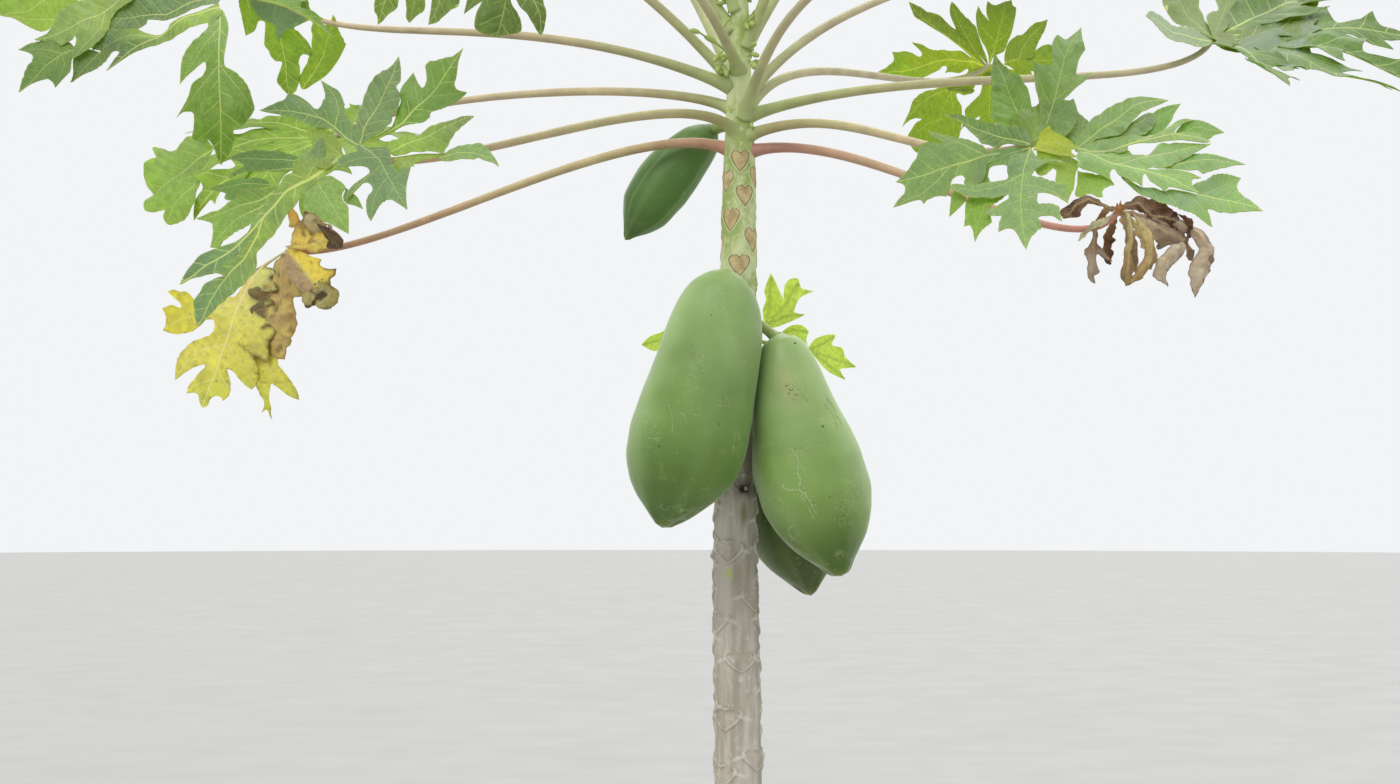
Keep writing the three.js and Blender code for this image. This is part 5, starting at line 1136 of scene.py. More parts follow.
        ([(1076.0, 152.0, 1), (1100.0, 150.0), (1120.0, 148.0), (1129.0, 150.0), (1133.0, 154.4), (1145.0, 157.0), (1138.0, 164.0), (1122.0, 169.0), (1106.0, 168.0), (1090.0, 160.0)],
            [[(1078.0, 153.0), (1102.0, 158.0), (1140.0, 158.0)]], 5, (144, 178, 114), (144, 178, 112)),
        ([(978.0, 158.0, 1), (1002.0, 152.0), (1030.0, 149.0), (1028.4, 158.0), (1022.0, 174.0), (1014.0, 180.0), (1008.4, 178.0), (1007.6, 170.0), (1002.0, 167.6), (991.0, 168.0), (988.4, 178.0), (990.0, 184.0), (976.0, 186.4), (975.0, 172.0)],
            [[(1030.0, 150.0), (1002.0, 160.0), (978.0, 172.0)]], 4, (130, 164, 104), (132, 166, 102)),
    ],
    5: [
        ([(1145.7, 15.7, 1), (1150.7, 10.7), (1161.4, 17.1), (1167.1, 21.4), (1174.3, 27.1), (1187.1, 30.0), (1200.0, 32.1), (1212.1, 37.9, 1), (1212.1, 42.9), (1202.9, 46.0), (1190.0, 44.6), (1175.7, 40.7), (1164.3, 35.7), (1157.1, 28.6), (1151.4, 21.4)],
            [[(1211.4, 40.7), (1190.0, 38.3), (1172.9, 33.6), (1148.6, 15.4)]], 6, (138, 164, 122), (136, 164, 134)),
        ([(1160.0, -8.6, 1), (1162.9, 5.7), (1168.6, 14.3), (1175.7, 21.4), (1187.1, 27.1), (1194.3, 30.7), (1202.9, 33.6), (1212.9, 38.6), (1211.4, 31.4), (1205.7, 21.4), (1202.9, 15.7), (1198.6, 8.6), (1197.1, -8.6)],
            [[(1212.1, 37.4), (1200.0, 27.1), (1187.1, 15.7), (1174.3, -4.3)], [(1192.9, 20.7), (1175.7, 17.1)]], 2, (118, 146, 44), (118, 146, 46)),
        ([(1208.6, -8.6, 1), (1215.7, 2.9), (1217.9, 11.4), (1211.4, 14.3), (1205.7, 20.0), (1208.6, 28.6), (1212.9, 39.3, 1), (1220.0, 34.3), (1227.1, 27.1), (1231.4, 18.6), (1240.0, 13.6), (1247.1, 8.6), (1245.7, -8.6)],
            [[(1213.1, 38.3), (1215.7, 32.9), (1221.4, 18.6), (1230.0, -5.7)], [(1220.0, 21.4), (1238.6, 11.4)]], -2, (124, 154, 66), (122, 152, 66)),
        ([(1212.1, 37.1, 1), (1215.7, 33.1), (1225.7, 32.1), (1232.9, 34.3), (1235.7, 40.0), (1234.3, 45.7), (1230.0, 47.1), (1220.0, 42.9)],
            [[(1212.9, 37.4), (1232.9, 42.1)], [(1220.0, 39.3), (1228.6, 33.6)]], -9, (122, 148, 52), (120, 146, 50)),
        ([(1231.4, 47.1, 1), (1238.6, 44.3), (1240.0, 34.3), (1245.7, 28.6), (1248.6, 22.9), (1254.3, 15.7), (1262.9, 8.6), (1267.1, -8.6), (1285.7, -8.6), (1280.0, 8.6), (1282.9, 15.7), (1288.6, 14.3), (1297.1, 5.7), (1301.4, -8.6), (1318.6, -8.6), (1317.1, 8.6), (1311.4, 15.7), (1318.6, 17.1), (1320.0, 22.9), (1308.6, 31.4), (1295.7, 41.4), (1278.6, 43.6), (1262.9, 44.3), (1247.1, 47.1)],
            [[(1232.1, 46.4), (1251.4, 37.1), (1261.4, 21.4), (1275.7, -2.9)], [(1251.4, 37.1), (1277.1, 34.3), (1291.4, 21.4), (1311.4, -2.9)]], 3, (116, 144, 42), (112, 140, 42)),
        ([(1213.6, 40.7, 1), (1225.7, 47.1), (1237.1, 47.1), (1240.0, 41.4), (1254.3, 37.1), (1268.6, 31.4), (1290.0, 28.6), (1305.7, 24.3), (1317.1, 22.1), (1312.9, 28.6), (1321.4, 32.1), (1311.4, 37.1), (1308.6, 47.1), (1311.4, 55.7), (1318.6, 61.4, 1), (1308.6, 62.9), (1297.1, 67.1), (1292.9, 71.4, 1), (1282.9, 70.0), (1272.9, 62.9), (1261.4, 57.1), (1248.6, 53.1), (1234.3, 53.1), (1222.9, 48.6)],
            [[(1214.3, 41.4), (1238.6, 48.6), (1261.4, 56.4), (1282.9, 61.4), (1317.1, 61.9)], [(1261.4, 55.7), (1282.9, 44.3), (1304.3, 27.1)], [(1240.0, 49.3), (1257.1, 41.4), (1268.6, 34.3)]], -4, (122, 150, 106), (126, 154, 114)),
    ],
    7: [
        ([(214.0, 148.4, 1), (208.0, 141.0), (198.0, 138.4), (188.0, 140.0), (180.0, 148.0), (172.0, 153.0), (162.0, 150.0), (155.0, 152.0), (157.0, 158.0), (158.0, 162.0), (149.0, 166.0), (146.0, 174.0), (147.0, 186.0), (152.0, 193.0), (148.0, 197.0), (144.4, 204.0), (147.0, 212.0), (156.0, 213.6), (165.0, 210.0), (163.6, 217.0), (167.0, 224.0), (176.0, 224.4), (187.0, 220.0), (194.0, 208.0), (198.0, 192.0), (202.0, 174.0), (208.0, 162.0)],
            [[(214.0, 149.0), (196.0, 162.0), (178.0, 176.0), (152.0, 194.0)], [(202.0, 172.0), (192.0, 188.0), (176.0, 204.0), (166.0, 222.0)]], 0, (146, 178, 78), (148, 180, 74)),
    ],
    8: [
        ([(987.8, 65.8, 1), (979.4, 62.2), (969.4, 55.6), (961.7, 49.1), (951.7, 48.9), (937.2, 50.0), (929.4, 47.8), (921.7, 43.6), (911.1, 40.6, 1), (917.2, 46.7), (921.1, 51.1), (921.1, 54.4), (917.2, 55.0), (911.7, 51.7), (905.0, 50.0), (898.3, 51.7), (891.4, 51.1, 1), (893.3, 55.6), (893.3, 60.0), (889.4, 63.3), (885.0, 66.7), (877.2, 71.3, 1), (885.0, 73.6), (896.1, 76.1), (912.8, 76.9), (922.8, 76.1), (931.7, 72.2), (939.4, 68.9), (942.8, 65.6), (946.1, 65.6), (946.8, 70.0), (945.0, 72.4), (951.7, 72.8), (960.6, 71.7), (967.2, 68.0), (979.4, 71.1)],
            [[(986.1, 66.7), (971.7, 60.6), (953.9, 57.8), (938.3, 60.0), (921.7, 64.4), (901.7, 70.6), (879.4, 72.2)], [(938.3, 60.0), (931.7, 55.6), (918.3, 48.9), (911.7, 41.1)], [(921.7, 64.4), (910.6, 55.6), (892.8, 52.2)], [(940.6, 60.6), (929.4, 70.0), (912.8, 75.6)], [(962.8, 58.9), (958.3, 65.6), (951.7, 71.7)]], 4, (164, 186, 58), (152, 182, 66)),
        ([(908.9, 3.1, 1), (918.3, 5.3), (927.2, 9.8), (938.3, 13.1), (945.0, 17.8), (950.6, 24.7), (956.1, 26.7), (962.8, 35.6), (971.7, 46.7), (980.6, 56.7), (987.8, 65.6, 1), (979.4, 62.2), (969.4, 55.6), (958.3, 46.7), (947.2, 37.8), (935.0, 30.0), (923.9, 22.2), (915.0, 16.7), (911.7, 10.0)],
            [[(985.0, 65.6), (962.8, 48.9), (940.6, 32.2), (923.9, 18.9), (910.0, 4.4)]], 2, (148, 174, 60), (146, 172, 72)),
        ([(951.7, 1.3, 1), (956.1, 5.3), (961.7, 12.4), (969.4, 18.9), (975.6, 25.0), (977.2, 31.1), (979.7, 38.3), (982.8, 46.7), (986.1, 55.6), (988.3, 65.6, 1), (982.8, 58.9), (973.9, 48.9), (965.0, 40.0), (957.2, 30.0), (952.8, 21.1), (950.0, 13.3), (949.8, 6.7)],
            [[(986.7, 64.4), (973.9, 48.9), (962.8, 30.0), (956.1, 15.6), (951.9, 3.3)]], 0, (142, 170, 56), (146, 174, 66)),
        ([(978.3, 5.0, 1), (981.7, 11.1), (985.6, 16.1), (989.4, 22.2), (986.7, 14.4), (986.3, 6.7), (987.8, 1.1, 1), (991.7, 4.4), (997.2, 5.0), (1002.8, 2.2), (1007.2, 0.6), (1011.7, -1.6, 1), (1012.8, 4.4), (1016.3, 6.7, 1), (1015.6, 14.4), (1013.9, 22.2), (1011.7, 31.1), (1008.3, 38.9), (1005.0, 47.8), (1000.6, 53.3), (993.9, 57.8), (989.4, 65.6), (988.3, 55.6), (985.0, 46.7), (980.6, 38.9), (977.8, 31.1), (976.3, 22.2), (975.9, 12.2)],
            [[(988.9, 65.0), (993.3, 53.3), (996.1, 42.2), (1000.6, 25.6), (1004.4, 6.7), (1006.7, -1.6)], [(996.1, 41.7), (987.2, 34.4), (980.6, 25.6), (978.1, 8.9)], [(996.1, 41.7), (1005.0, 35.6), (1010.6, 26.7), (1015.0, 10.0)], [(1000.0, 26.7), (992.8, 13.3), (988.3, 3.3)]], 1, (148, 176, 58), (150, 178, 62)),
        ([(1005.6, 50.0, 1), (1007.2, 44.4), (1010.6, 38.9), (1017.2, 33.9, 1), (1021.7, 33.3), (1027.2, 28.9), (1033.9, 23.3), (1040.6, 21.7), (1047.8, 19.4, 1), (1045.0, 28.9), (1040.6, 37.8), (1037.2, 44.4), (1035.0, 50.0), (1033.9, 57.8), (1026.1, 60.0), (1016.1, 60.6), (1006.1, 64.4), (1004.4, 57.8)],
            [[(1004.4, 64.2), (1012.8, 61.3), (1020.0, 58.9), (1021.7, 47.8), (1029.4, 35.6), (1046.7, 20.6)], [(1010.6, 60.6), (1011.7, 48.9), (1017.2, 35.6)]], -1, (144, 172, 72), (148, 174, 78)),
        ([(1002.8, 65.6, 1), (1012.8, 61.1), (1020.6, 58.9), (1032.8, 55.6), (1035.0, 48.9), (1039.4, 44.4), (1045.0, 40.6), (1053.9, 40.0), (1060.6, 37.2, 1), (1065.0, 40.0), (1069.4, 44.4), (1067.2, 51.1), (1062.8, 57.8), (1058.3, 66.7), (1051.7, 71.7), (1040.6, 71.1), (1032.8, 71.1), (1023.9, 71.1), (1017.2, 71.1), (1008.3, 66.7)],
            [[(1005.0, 64.7), (1018.3, 59.4), (1031.7, 58.3), (1051.7, 59.4), (1062.8, 60.0)], [(1035.0, 60.0), (1043.9, 65.6), (1051.7, 70.0)], [(1016.1, 61.1), (1025.0, 67.8), (1033.9, 69.4)]], 3, (154, 180, 62), (148, 176, 76)),
        ([(957.2, 87.8, 1), (947.2, 87.8), (935.0, 88.9), (922.8, 91.1), (916.1, 95.6), (911.1, 103.3), (908.9, 112.2), (906.1, 118.9), (901.7, 125.8, 1), (908.3, 121.7), (917.2, 118.0), (921.7, 119.4), (916.1, 123.3), (910.0, 131.1), (907.2, 137.8), (913.9, 150.0), (929.4, 155.6), (951.7, 153.3), (958.3, 136.7), (960.6, 127.8), (961.7, 116.7), (961.7, 106.7), (957.8, 100.0), (957.2, 94.4), (965.0, 94.4), (973.9, 88.9), (972.8, 86.7)],
            [[(956.1, 88.9), (942.8, 92.2), (929.4, 96.7), (918.3, 104.4), (906.1, 120.0)], [(951.7, 92.2), (942.8, 107.8), (936.7, 126.7)], [(951.4, 92.2), (953.3, 111.1), (953.0, 135.6)], [(940.6, 117.8), (927.2, 123.3), (911.7, 135.6)]], 2, (154, 182, 62), (150, 178, 72)),
        ([(982.8, 75.6, 1), (981.7, 84.4), (979.4, 92.2), (973.9, 97.8), (967.2, 103.3), (964.4, 108.9), (965.6, 115.6), (971.7, 120.0), (980.6, 116.7), (979.4, 120.0), (985.0, 123.3), (990.6, 125.6), (997.2, 122.2), (996.1, 100.0), (994.4, 77.8), (989.4, 71.1)],
            [[(988.9, 71.1), (989.4, 100.0), (989.2, 123.3)], [(989.4, 100.0), (980.6, 105.6), (972.8, 112.2)], [(989.4, 113.3), (981.7, 114.4), (973.9, 118.9)]], 1, (156, 182, 60), (152, 180, 64)),
        ([(967.2, 66.7, 1), (979.4, 66.7), (987.8, 64.4), (996.1, 62.2), (1005.0, 64.4), (1009.4, 68.9), (1029.4, 71.1), (1031.7, 80.0), (1018.3, 82.8), (996.1, 82.8), (979.4, 82.8), (971.7, 88.9), (956.1, 90.0), (947.2, 88.9), (953.9, 80.0), (962.8, 77.8), (968.3, 72.2)],
            [[(987.8, 66.7), (973.9, 73.3), (956.1, 86.7)], [(988.3, 66.7), (1007.2, 73.3), (1029.4, 77.8)]], 6, (160, 180, 56), (150, 176, 60)),
    ],
    9: [
        ([(238.9, -11.1, 1), (240.7, 11.1), (246.3, 35.2, 1), (255.6, 29.6), (259.3, 20.4), (266.7, 22.2), (266.7, 44.4), (274.1, 61.1), (281.5, 63.0), (277.8, 81.5), (288.9, 96.3, 1), (298.1, 88.9), (301.9, 74.1), (300.0, 61.1), (303.7, 53.7), (313.0, 55.6), (311.1, 44.4), (300.0, 31.5), (294.4, 27.8), (307.4, 18.5), (313.0, 11.1), (300.0, -11.1)],
            [[(259.3, -7.4), (281.5, 33.3), (287.0, 74.1), (288.9, 95.4)], [(285.2, 24.1), (300.0, 37.0), (313.0, 53.7)], [(248.1, -7.4), (250.0, 14.8), (247.2, 33.3)]], 4, (146, 176, 66), (142, 174, 70)),
        ([(251.9, -1.9, 1), (255.6, 11.1), (264.8, 19.4), (274.1, 24.1), (276.9, 33.3), (277.8, 43.9, 1), (285.2, 31.5), (292.6, 26.9), (303.7, 22.2), (313.3, 17.6), (309.3, 7.4), (303.7, -11.1), (259.3, -11.1)],
            [[(277.8, -7.4), (296.3, 7.4), (312.0, 14.4)], [(274.1, -7.4), (277.8, 24.1), (278.1, 41.7)]], -6, (158, 186, 144), (160, 188, 148)),
        ([(333.3, 14.4, 1), (331.5, 20.4), (325.9, 24.1), (318.5, 18.5), (313.0, 25.9), (313.0, 46.3), (307.4, 61.1), (300.0, 77.8), (303.7, 89.3), (314.8, 83.3), (327.8, 74.1), (338.9, 59.3), (346.7, 44.4, 1), (340.7, 33.3), (337.0, 22.2)],
            [[(305.6, 85.2), (324.1, 55.6), (335.2, 17.6)], [(323.1, 59.3), (344.8, 45.4)]], 2, (148, 178, 66), (150, 180, 68)),
    ],
    12: [
        ([(453.6, -87.1, 1), (434.3, -68.6), (407.1, -42.9), (385.7, -18.6), (375.7, 2.9), (375.0, 11.4), (378.6, 17.1), (378.6, 25.0, 1), (384.3, 21.4), (388.6, 17.1), (398.6, 8.6), (401.4, -5.7), (405.0, -10.0), (407.1, 8.6), (407.1, 18.6), (410.0, 23.6, 1), (417.1, 15.7), (424.3, 8.6), (425.0, -8.6), (428.6, -35.7), (445.7, -61.4), (455.7, -84.3)],
            [[(454.3, -85.7), (417.1, -35.7), (388.6, -2.9), (380.0, 22.9)], [(417.1, -35.7), (416.4, -5.7), (410.3, 21.4)]], 2, (136, 164, 66), (132, 160, 70)),
        ([(452.9, -85.7, 1), (440.0, -60.0), (432.9, -28.6), (432.1, -5.7), (430.0, 14.3), (428.6, 25.0, 1), (437.1, 22.9), (442.9, 17.1), (451.4, 10.0), (458.6, 5.7), (460.0, -11.4), (458.6, -42.9), (458.6, -84.3)],
            [[(455.0, -85.7), (447.1, -35.7), (438.6, 4.3), (430.3, 23.1)], [(445.0, -21.4), (457.1, -8.6)]], -2, (128, 156, 74), (126, 154, 76)),
        ([(455.7, -85.7, 1), (465.7, -57.1), (472.9, -28.6), (468.6, -8.6), (465.7, 5.7), (463.6, 14.3, 1), (470.0, 10.0), (478.6, 4.3), (481.4, 2.9), (476.4, 12.9), (474.3, 27.1), (481.4, 33.6), (496.4, 37.4, 1), (508.6, 35.0), (519.3, 32.1), (520.0, 21.4), (517.1, 12.9), (511.4, 2.9), (510.0, -8.6), (502.9, -35.7), (481.4, -62.9), (458.6, -85.7)],
            [[(455.7, -85.7), (488.6, -40.0), (505.7, 0.0), (496.4, 35.4)], [(500.7, -18.6), (512.9, 14.3), (516.4, 29.3)], [(488.6, -40.0), (482.9, -8.6), (465.0, 12.1)]], 3, (126, 154, 80), (124, 152, 82)),
        ([(458.6, -85.7, 1), (477.1, -71.4), (497.1, -47.1), (511.4, -21.4), (512.9, -2.9), (517.1, 7.1), (524.3, 15.7), (531.4, 27.1), (539.7, 35.7, 1), (542.1, 31.4), (543.6, 17.1), (541.4, 2.9), (538.6, -11.4), (528.6, -35.7), (502.9, -61.4), (460.0, -87.4)],
            [[(458.6, -86.4), (495.7, -57.1), (524.3, -17.1), (537.1, 17.1), (539.4, 33.6)]], -1, (124, 152, 82), (122, 150, 84)),
    ],
    11: [
        ([(133.3, -14.8, 1), (103.7, -11.1), (87.0, 0.9), (70.4, 7.4), (58.3, 15.7), (53.7, 24.1), (46.3, 32.4), (34.8, 40.0, 1), (46.3, 41.1), (57.4, 43.0), (63.0, 46.3), (74.1, 41.7), (76.3, 38.0), (77.8, 44.4), (74.1, 51.9), (73.7, 60.7, 1), (83.3, 55.6), (94.4, 47.2), (103.7, 37.0), (109.3, 25.9), (111.1, 16.7), (118.5, 7.4), (133.3, 0.0)],
            [[(122.2, -3.7), (100.0, 13.9), (74.1, 28.7), (37.0, 39.8)], [(103.7, 13.0), (101.9, 25.9), (92.6, 40.7), (75.0, 59.6)]], -4, (150, 176, 84), (140, 170, 104)),
        ([(76.9, 50.9, 1), (70.4, 44.4), (63.0, 46.3), (55.6, 42.6), (44.4, 41.1), (29.6, 43.0), (17.0, 48.5, 1), (25.9, 50.9), (33.3, 56.5), (33.3, 63.0), (27.8, 68.5), (22.2, 77.8), (18.1, 92.2, 1), (25.9, 85.2), (37.0, 80.6), (48.1, 79.6), (53.7, 83.3), (55.9, 88.0, 1), (63.0, 81.5), (71.3, 74.1), (73.1, 63.0), (78.7, 55.6)],
            [[(76.9, 50.9), (64.8, 56.5), (46.3, 67.6), (19.4, 90.7)], [(64.8, 56.5), (44.4, 50.0), (20.4, 48.5)], [(63.9, 57.4), (66.7, 66.7), (56.5, 86.1)]], 2, (128, 158, 82), (122, 154, 92)),
        ([(100.0, 52.8, 1), (88.9, 51.9), (77.8, 55.6), (74.1, 64.8), (73.1, 74.1), (69.6, 81.9, 1), (81.5, 75.0), (96.3, 68.5), (105.6, 61.1), (111.1, 53.7), (118.5, 44.4), (103.7, 44.4)],
            [[(103.7, 49.1), (88.9, 64.8), (71.3, 80.6)]], 6, (118, 148, 84), (116, 146, 90)),
        ([(218.5, 3.7, 1), (203.7, 9.3), (185.2, 14.8), (170.4, 23.1), (167.6, 27.8), (159.3, 33.3), (148.1, 33.3), (137.0, 31.1), (125.9, 32.4), (111.1, 31.5), (96.3, 40.7), (92.6, 50.0), (103.7, 49.6), (111.1, 50.0), (119.4, 51.9), (114.8, 57.4), (106.3, 70.4, 1), (120.4, 61.1), (140.7, 50.9), (159.3, 42.6), (177.8, 35.2), (196.3, 25.9), (206.5, 24.1), (220.4, 16.7)],
            [[(218.5, 8.3), (185.2, 16.7), (159.3, 35.2), (129.6, 52.8), (107.4, 68.9)], [(159.3, 35.2), (129.6, 38.0), (103.7, 45.4)]], 3, (150, 178, 70), (110, 142, 92)),
        ([(-16.7, -11.1, 1), (-13.0, 11.1), (0.0, 15.7), (11.1, 17.6), (20.4, 21.3), (31.5, 27.8), (46.3, 33.7), (55.6, 24.1), (63.0, 14.8), (77.8, 7.4), (77.8, -11.1)],
            [[(59.3, -7.4), (27.8, 11.1), (1.9, 15.7)], [(61.1, 20.4), (31.5, 18.1), (3.7, 16.3)]], 1, (154, 184, 60), (148, 180, 66)),
        ([(103.7, -11.1, 1), (109.3, 11.1), (108.3, 25.9), (109.3, 34.3), (129.6, 31.1), (146.3, 24.1), (148.1, 20.4), (166.7, 19.4), (192.6, 12.0), (203.7, 7.4), (218.5, 3.7), (218.5, -11.1)],
            [[(200.0, 1.9), (166.7, 14.8), (114.8, 19.4)], [(140.7, 25.9), (127.8, 11.1), (120.4, -7.4)]], 9, (112, 144, 86), (110, 142, 80)),
        ([(217.0, 12.0, 1), (209.0, 22.0), (207.0, 30.0), (200.0, 38.0), (192.0, 44.0), (184.0, 54.0), (181.0, 66.0), (180.0, 86.0, 1), (186.0, 78.0), (192.0, 72.0), (198.0, 66.0), (204.0, 62.4), (206.0, 68.0), (202.0, 76.0), (192.0, 86.0), (188.0, 98.0), (176.0, 118.0, 1), (183.0, 112.0), (192.4, 112.0), (194.0, 118.0), (193.6, 128.0), (192.4, 138.0), (198.0, 141.0), (208.0, 140.0), (213.0, 146.0), (216.0, 154.0), (221.0, 166.0, 1), (225.0, 160.0), (230.0, 152.0), (234.0, 140.0), (233.0, 132.0), (235.0, 128.0), (240.0, 128.0), (246.0, 122.0), (252.0, 114.0), (254.0, 109.0), (251.0, 100.0), (248.0, 92.0), (242.0, 82.0), (234.0, 74.0), (225.0, 67.0), (224.0, 58.0), (226.0, 46.0), (228.0, 32.0), (227.0, 20.0), (222.0, 10.0)],
            [[(220.0, 10.0), (219.6, 30.0), (218.4, 50.0), (219.0, 80.0), (220.4, 110.0), (221.0, 140.0), (221.0, 164.0)], [(218.4, 66.0), (206.0, 80.0), (192.0, 100.0), (178.0, 116.0)], [(218.6, 30.0), (200.0, 52.0), (182.0, 82.0)], [(220.0, 66.0), (234.0, 86.0), (244.0, 100.0), (252.0, 112.0)]], 0, (132, 166, 76), (134, 168, 74)),
    ],
}


# lobes that the table above gives by themselves: leaf and bearing
OWN_LOBES = [
    (5, -157), (5, -94), (5, 127), (5, 94), (9, -154), (9, -115), (9, -66), (9, -24), (9, 7), (9, 36), (11, -33.4), (11, 3), (11, 41), (11, 76.8), (11, 112),
    (12, -63), (12, -29), (12, 2), (12, 34), (12, 68.8),
]


def build_traced(n, mat, name, nodes):
    """The sheets of leaf n, each on the surface of its blade."""
    depth = depth_of_blade(n)
    gs, cols = [], []
    for i, (rows, ribs, back, near, far) in enumerate(TRACED[n]):
        g = sheet(rows, ribs, lambda x, y: depth(x, y) + back * MM, n * 30 + i, wave=1.0, bulge=0.0015, fold=0.15)
        f = np.concatenate([g["flat"], g["side"][:, None] * 0.5], 1)
        k = smooth(0.1, 0.95, g["u"] + 0.1 * noise(f * 20))
        # the sheet's tones carry painted light and shade along with the leaf's own colour
        col = over(np.tile(lin(near), (len(f), 1)), k, lin(far))
        low = (g["side"] < 0)[:, None]
        col = np.where(low, col * np.array([1.2, 1.12, 0.86]), col)
        col = col * (1 + 0.1 * noise(f * 12 + n)[:, None])
        warm = smooth(0.15, 0.7, noise(f * 16 + 30 + i)) * 0.26
        col = col * (1 - warm[:, None]) + col * np.array([1.2, 1.08, 0.72]) * warm[:, None]
        col = over(col, smooth(0.0016, 0.0, g["to_rim"]) * 0.22, lin((190, 200, 110)))
        gs.append(g)
        cols.append(col)
    verts, faces = join([(g["verts"], g["faces"]) for g in gs])
    o = piece(name, verts, faces, mat, nodes, {"col": np.vstack(cols)}, {"face_side": np.concatenate([g["side"] for g in gs])}, sharp=55)
    uv = []
    for g in gs:
        idx = np.concatenate([np.array(q) for q in g["faces"]])
        uv.append(g["rib_uv"][np.repeat(g["lobes_of"], [len(q) for q in g["faces"]]), idx % g["n"]])
    o.data.uv_layers.new(name="lobe").uv.foreach_set("vector", np.vstack(uv).astype(np.float32).ravel())
    return o


def build_leaves():
    green = leaf_look("leaf_blade_green", lin((214, 222, 158)), (1.62, 1.5, 0.62), 0.5, thin=0.5)
    for n, row in LEAVES.items():
        if n < 3:
            continue
        if n in (3, 4, 8):
            build_traced(n, green, "leaf_blade_%02d_green" % n, ["leaf_blade_%02d" % n])
            continue
        if n in TRACED:
            build_traced(n, green, "leaf_blade_%02d_lobe" % n, [])
        R, bearing, dip, roll = row[6]
        lobes = [list(x) for x in row[7]]
        i = n - 1
        if row[8]:
            lobes = [
                [a + 3 * math.sin(i * 5.3 + k * 2.1), b * (1 + 0.05 * math.sin(i * 3.1 + k * 1.7)), s * (1 + 0.4 * math.sin(i * 1.7 + k * 2.6))]
                for k, (a, b, s) in enumerate(lobes)
            ]
        hub = np.array(row[5], float) * MM
        lobes = [x for x in lobes if (n, x[0]) not in OWN_LOBES]
        g = leaf_mesh(hub, R * MM, bearing, dip, roll, [[a, b, s] for a, b, s in lobes], 100 + n)
        name = "leaf_blade_%02d" % n
        leaf_piece(name + "_green", g, green_leaf_colours(g, n), green, [name])


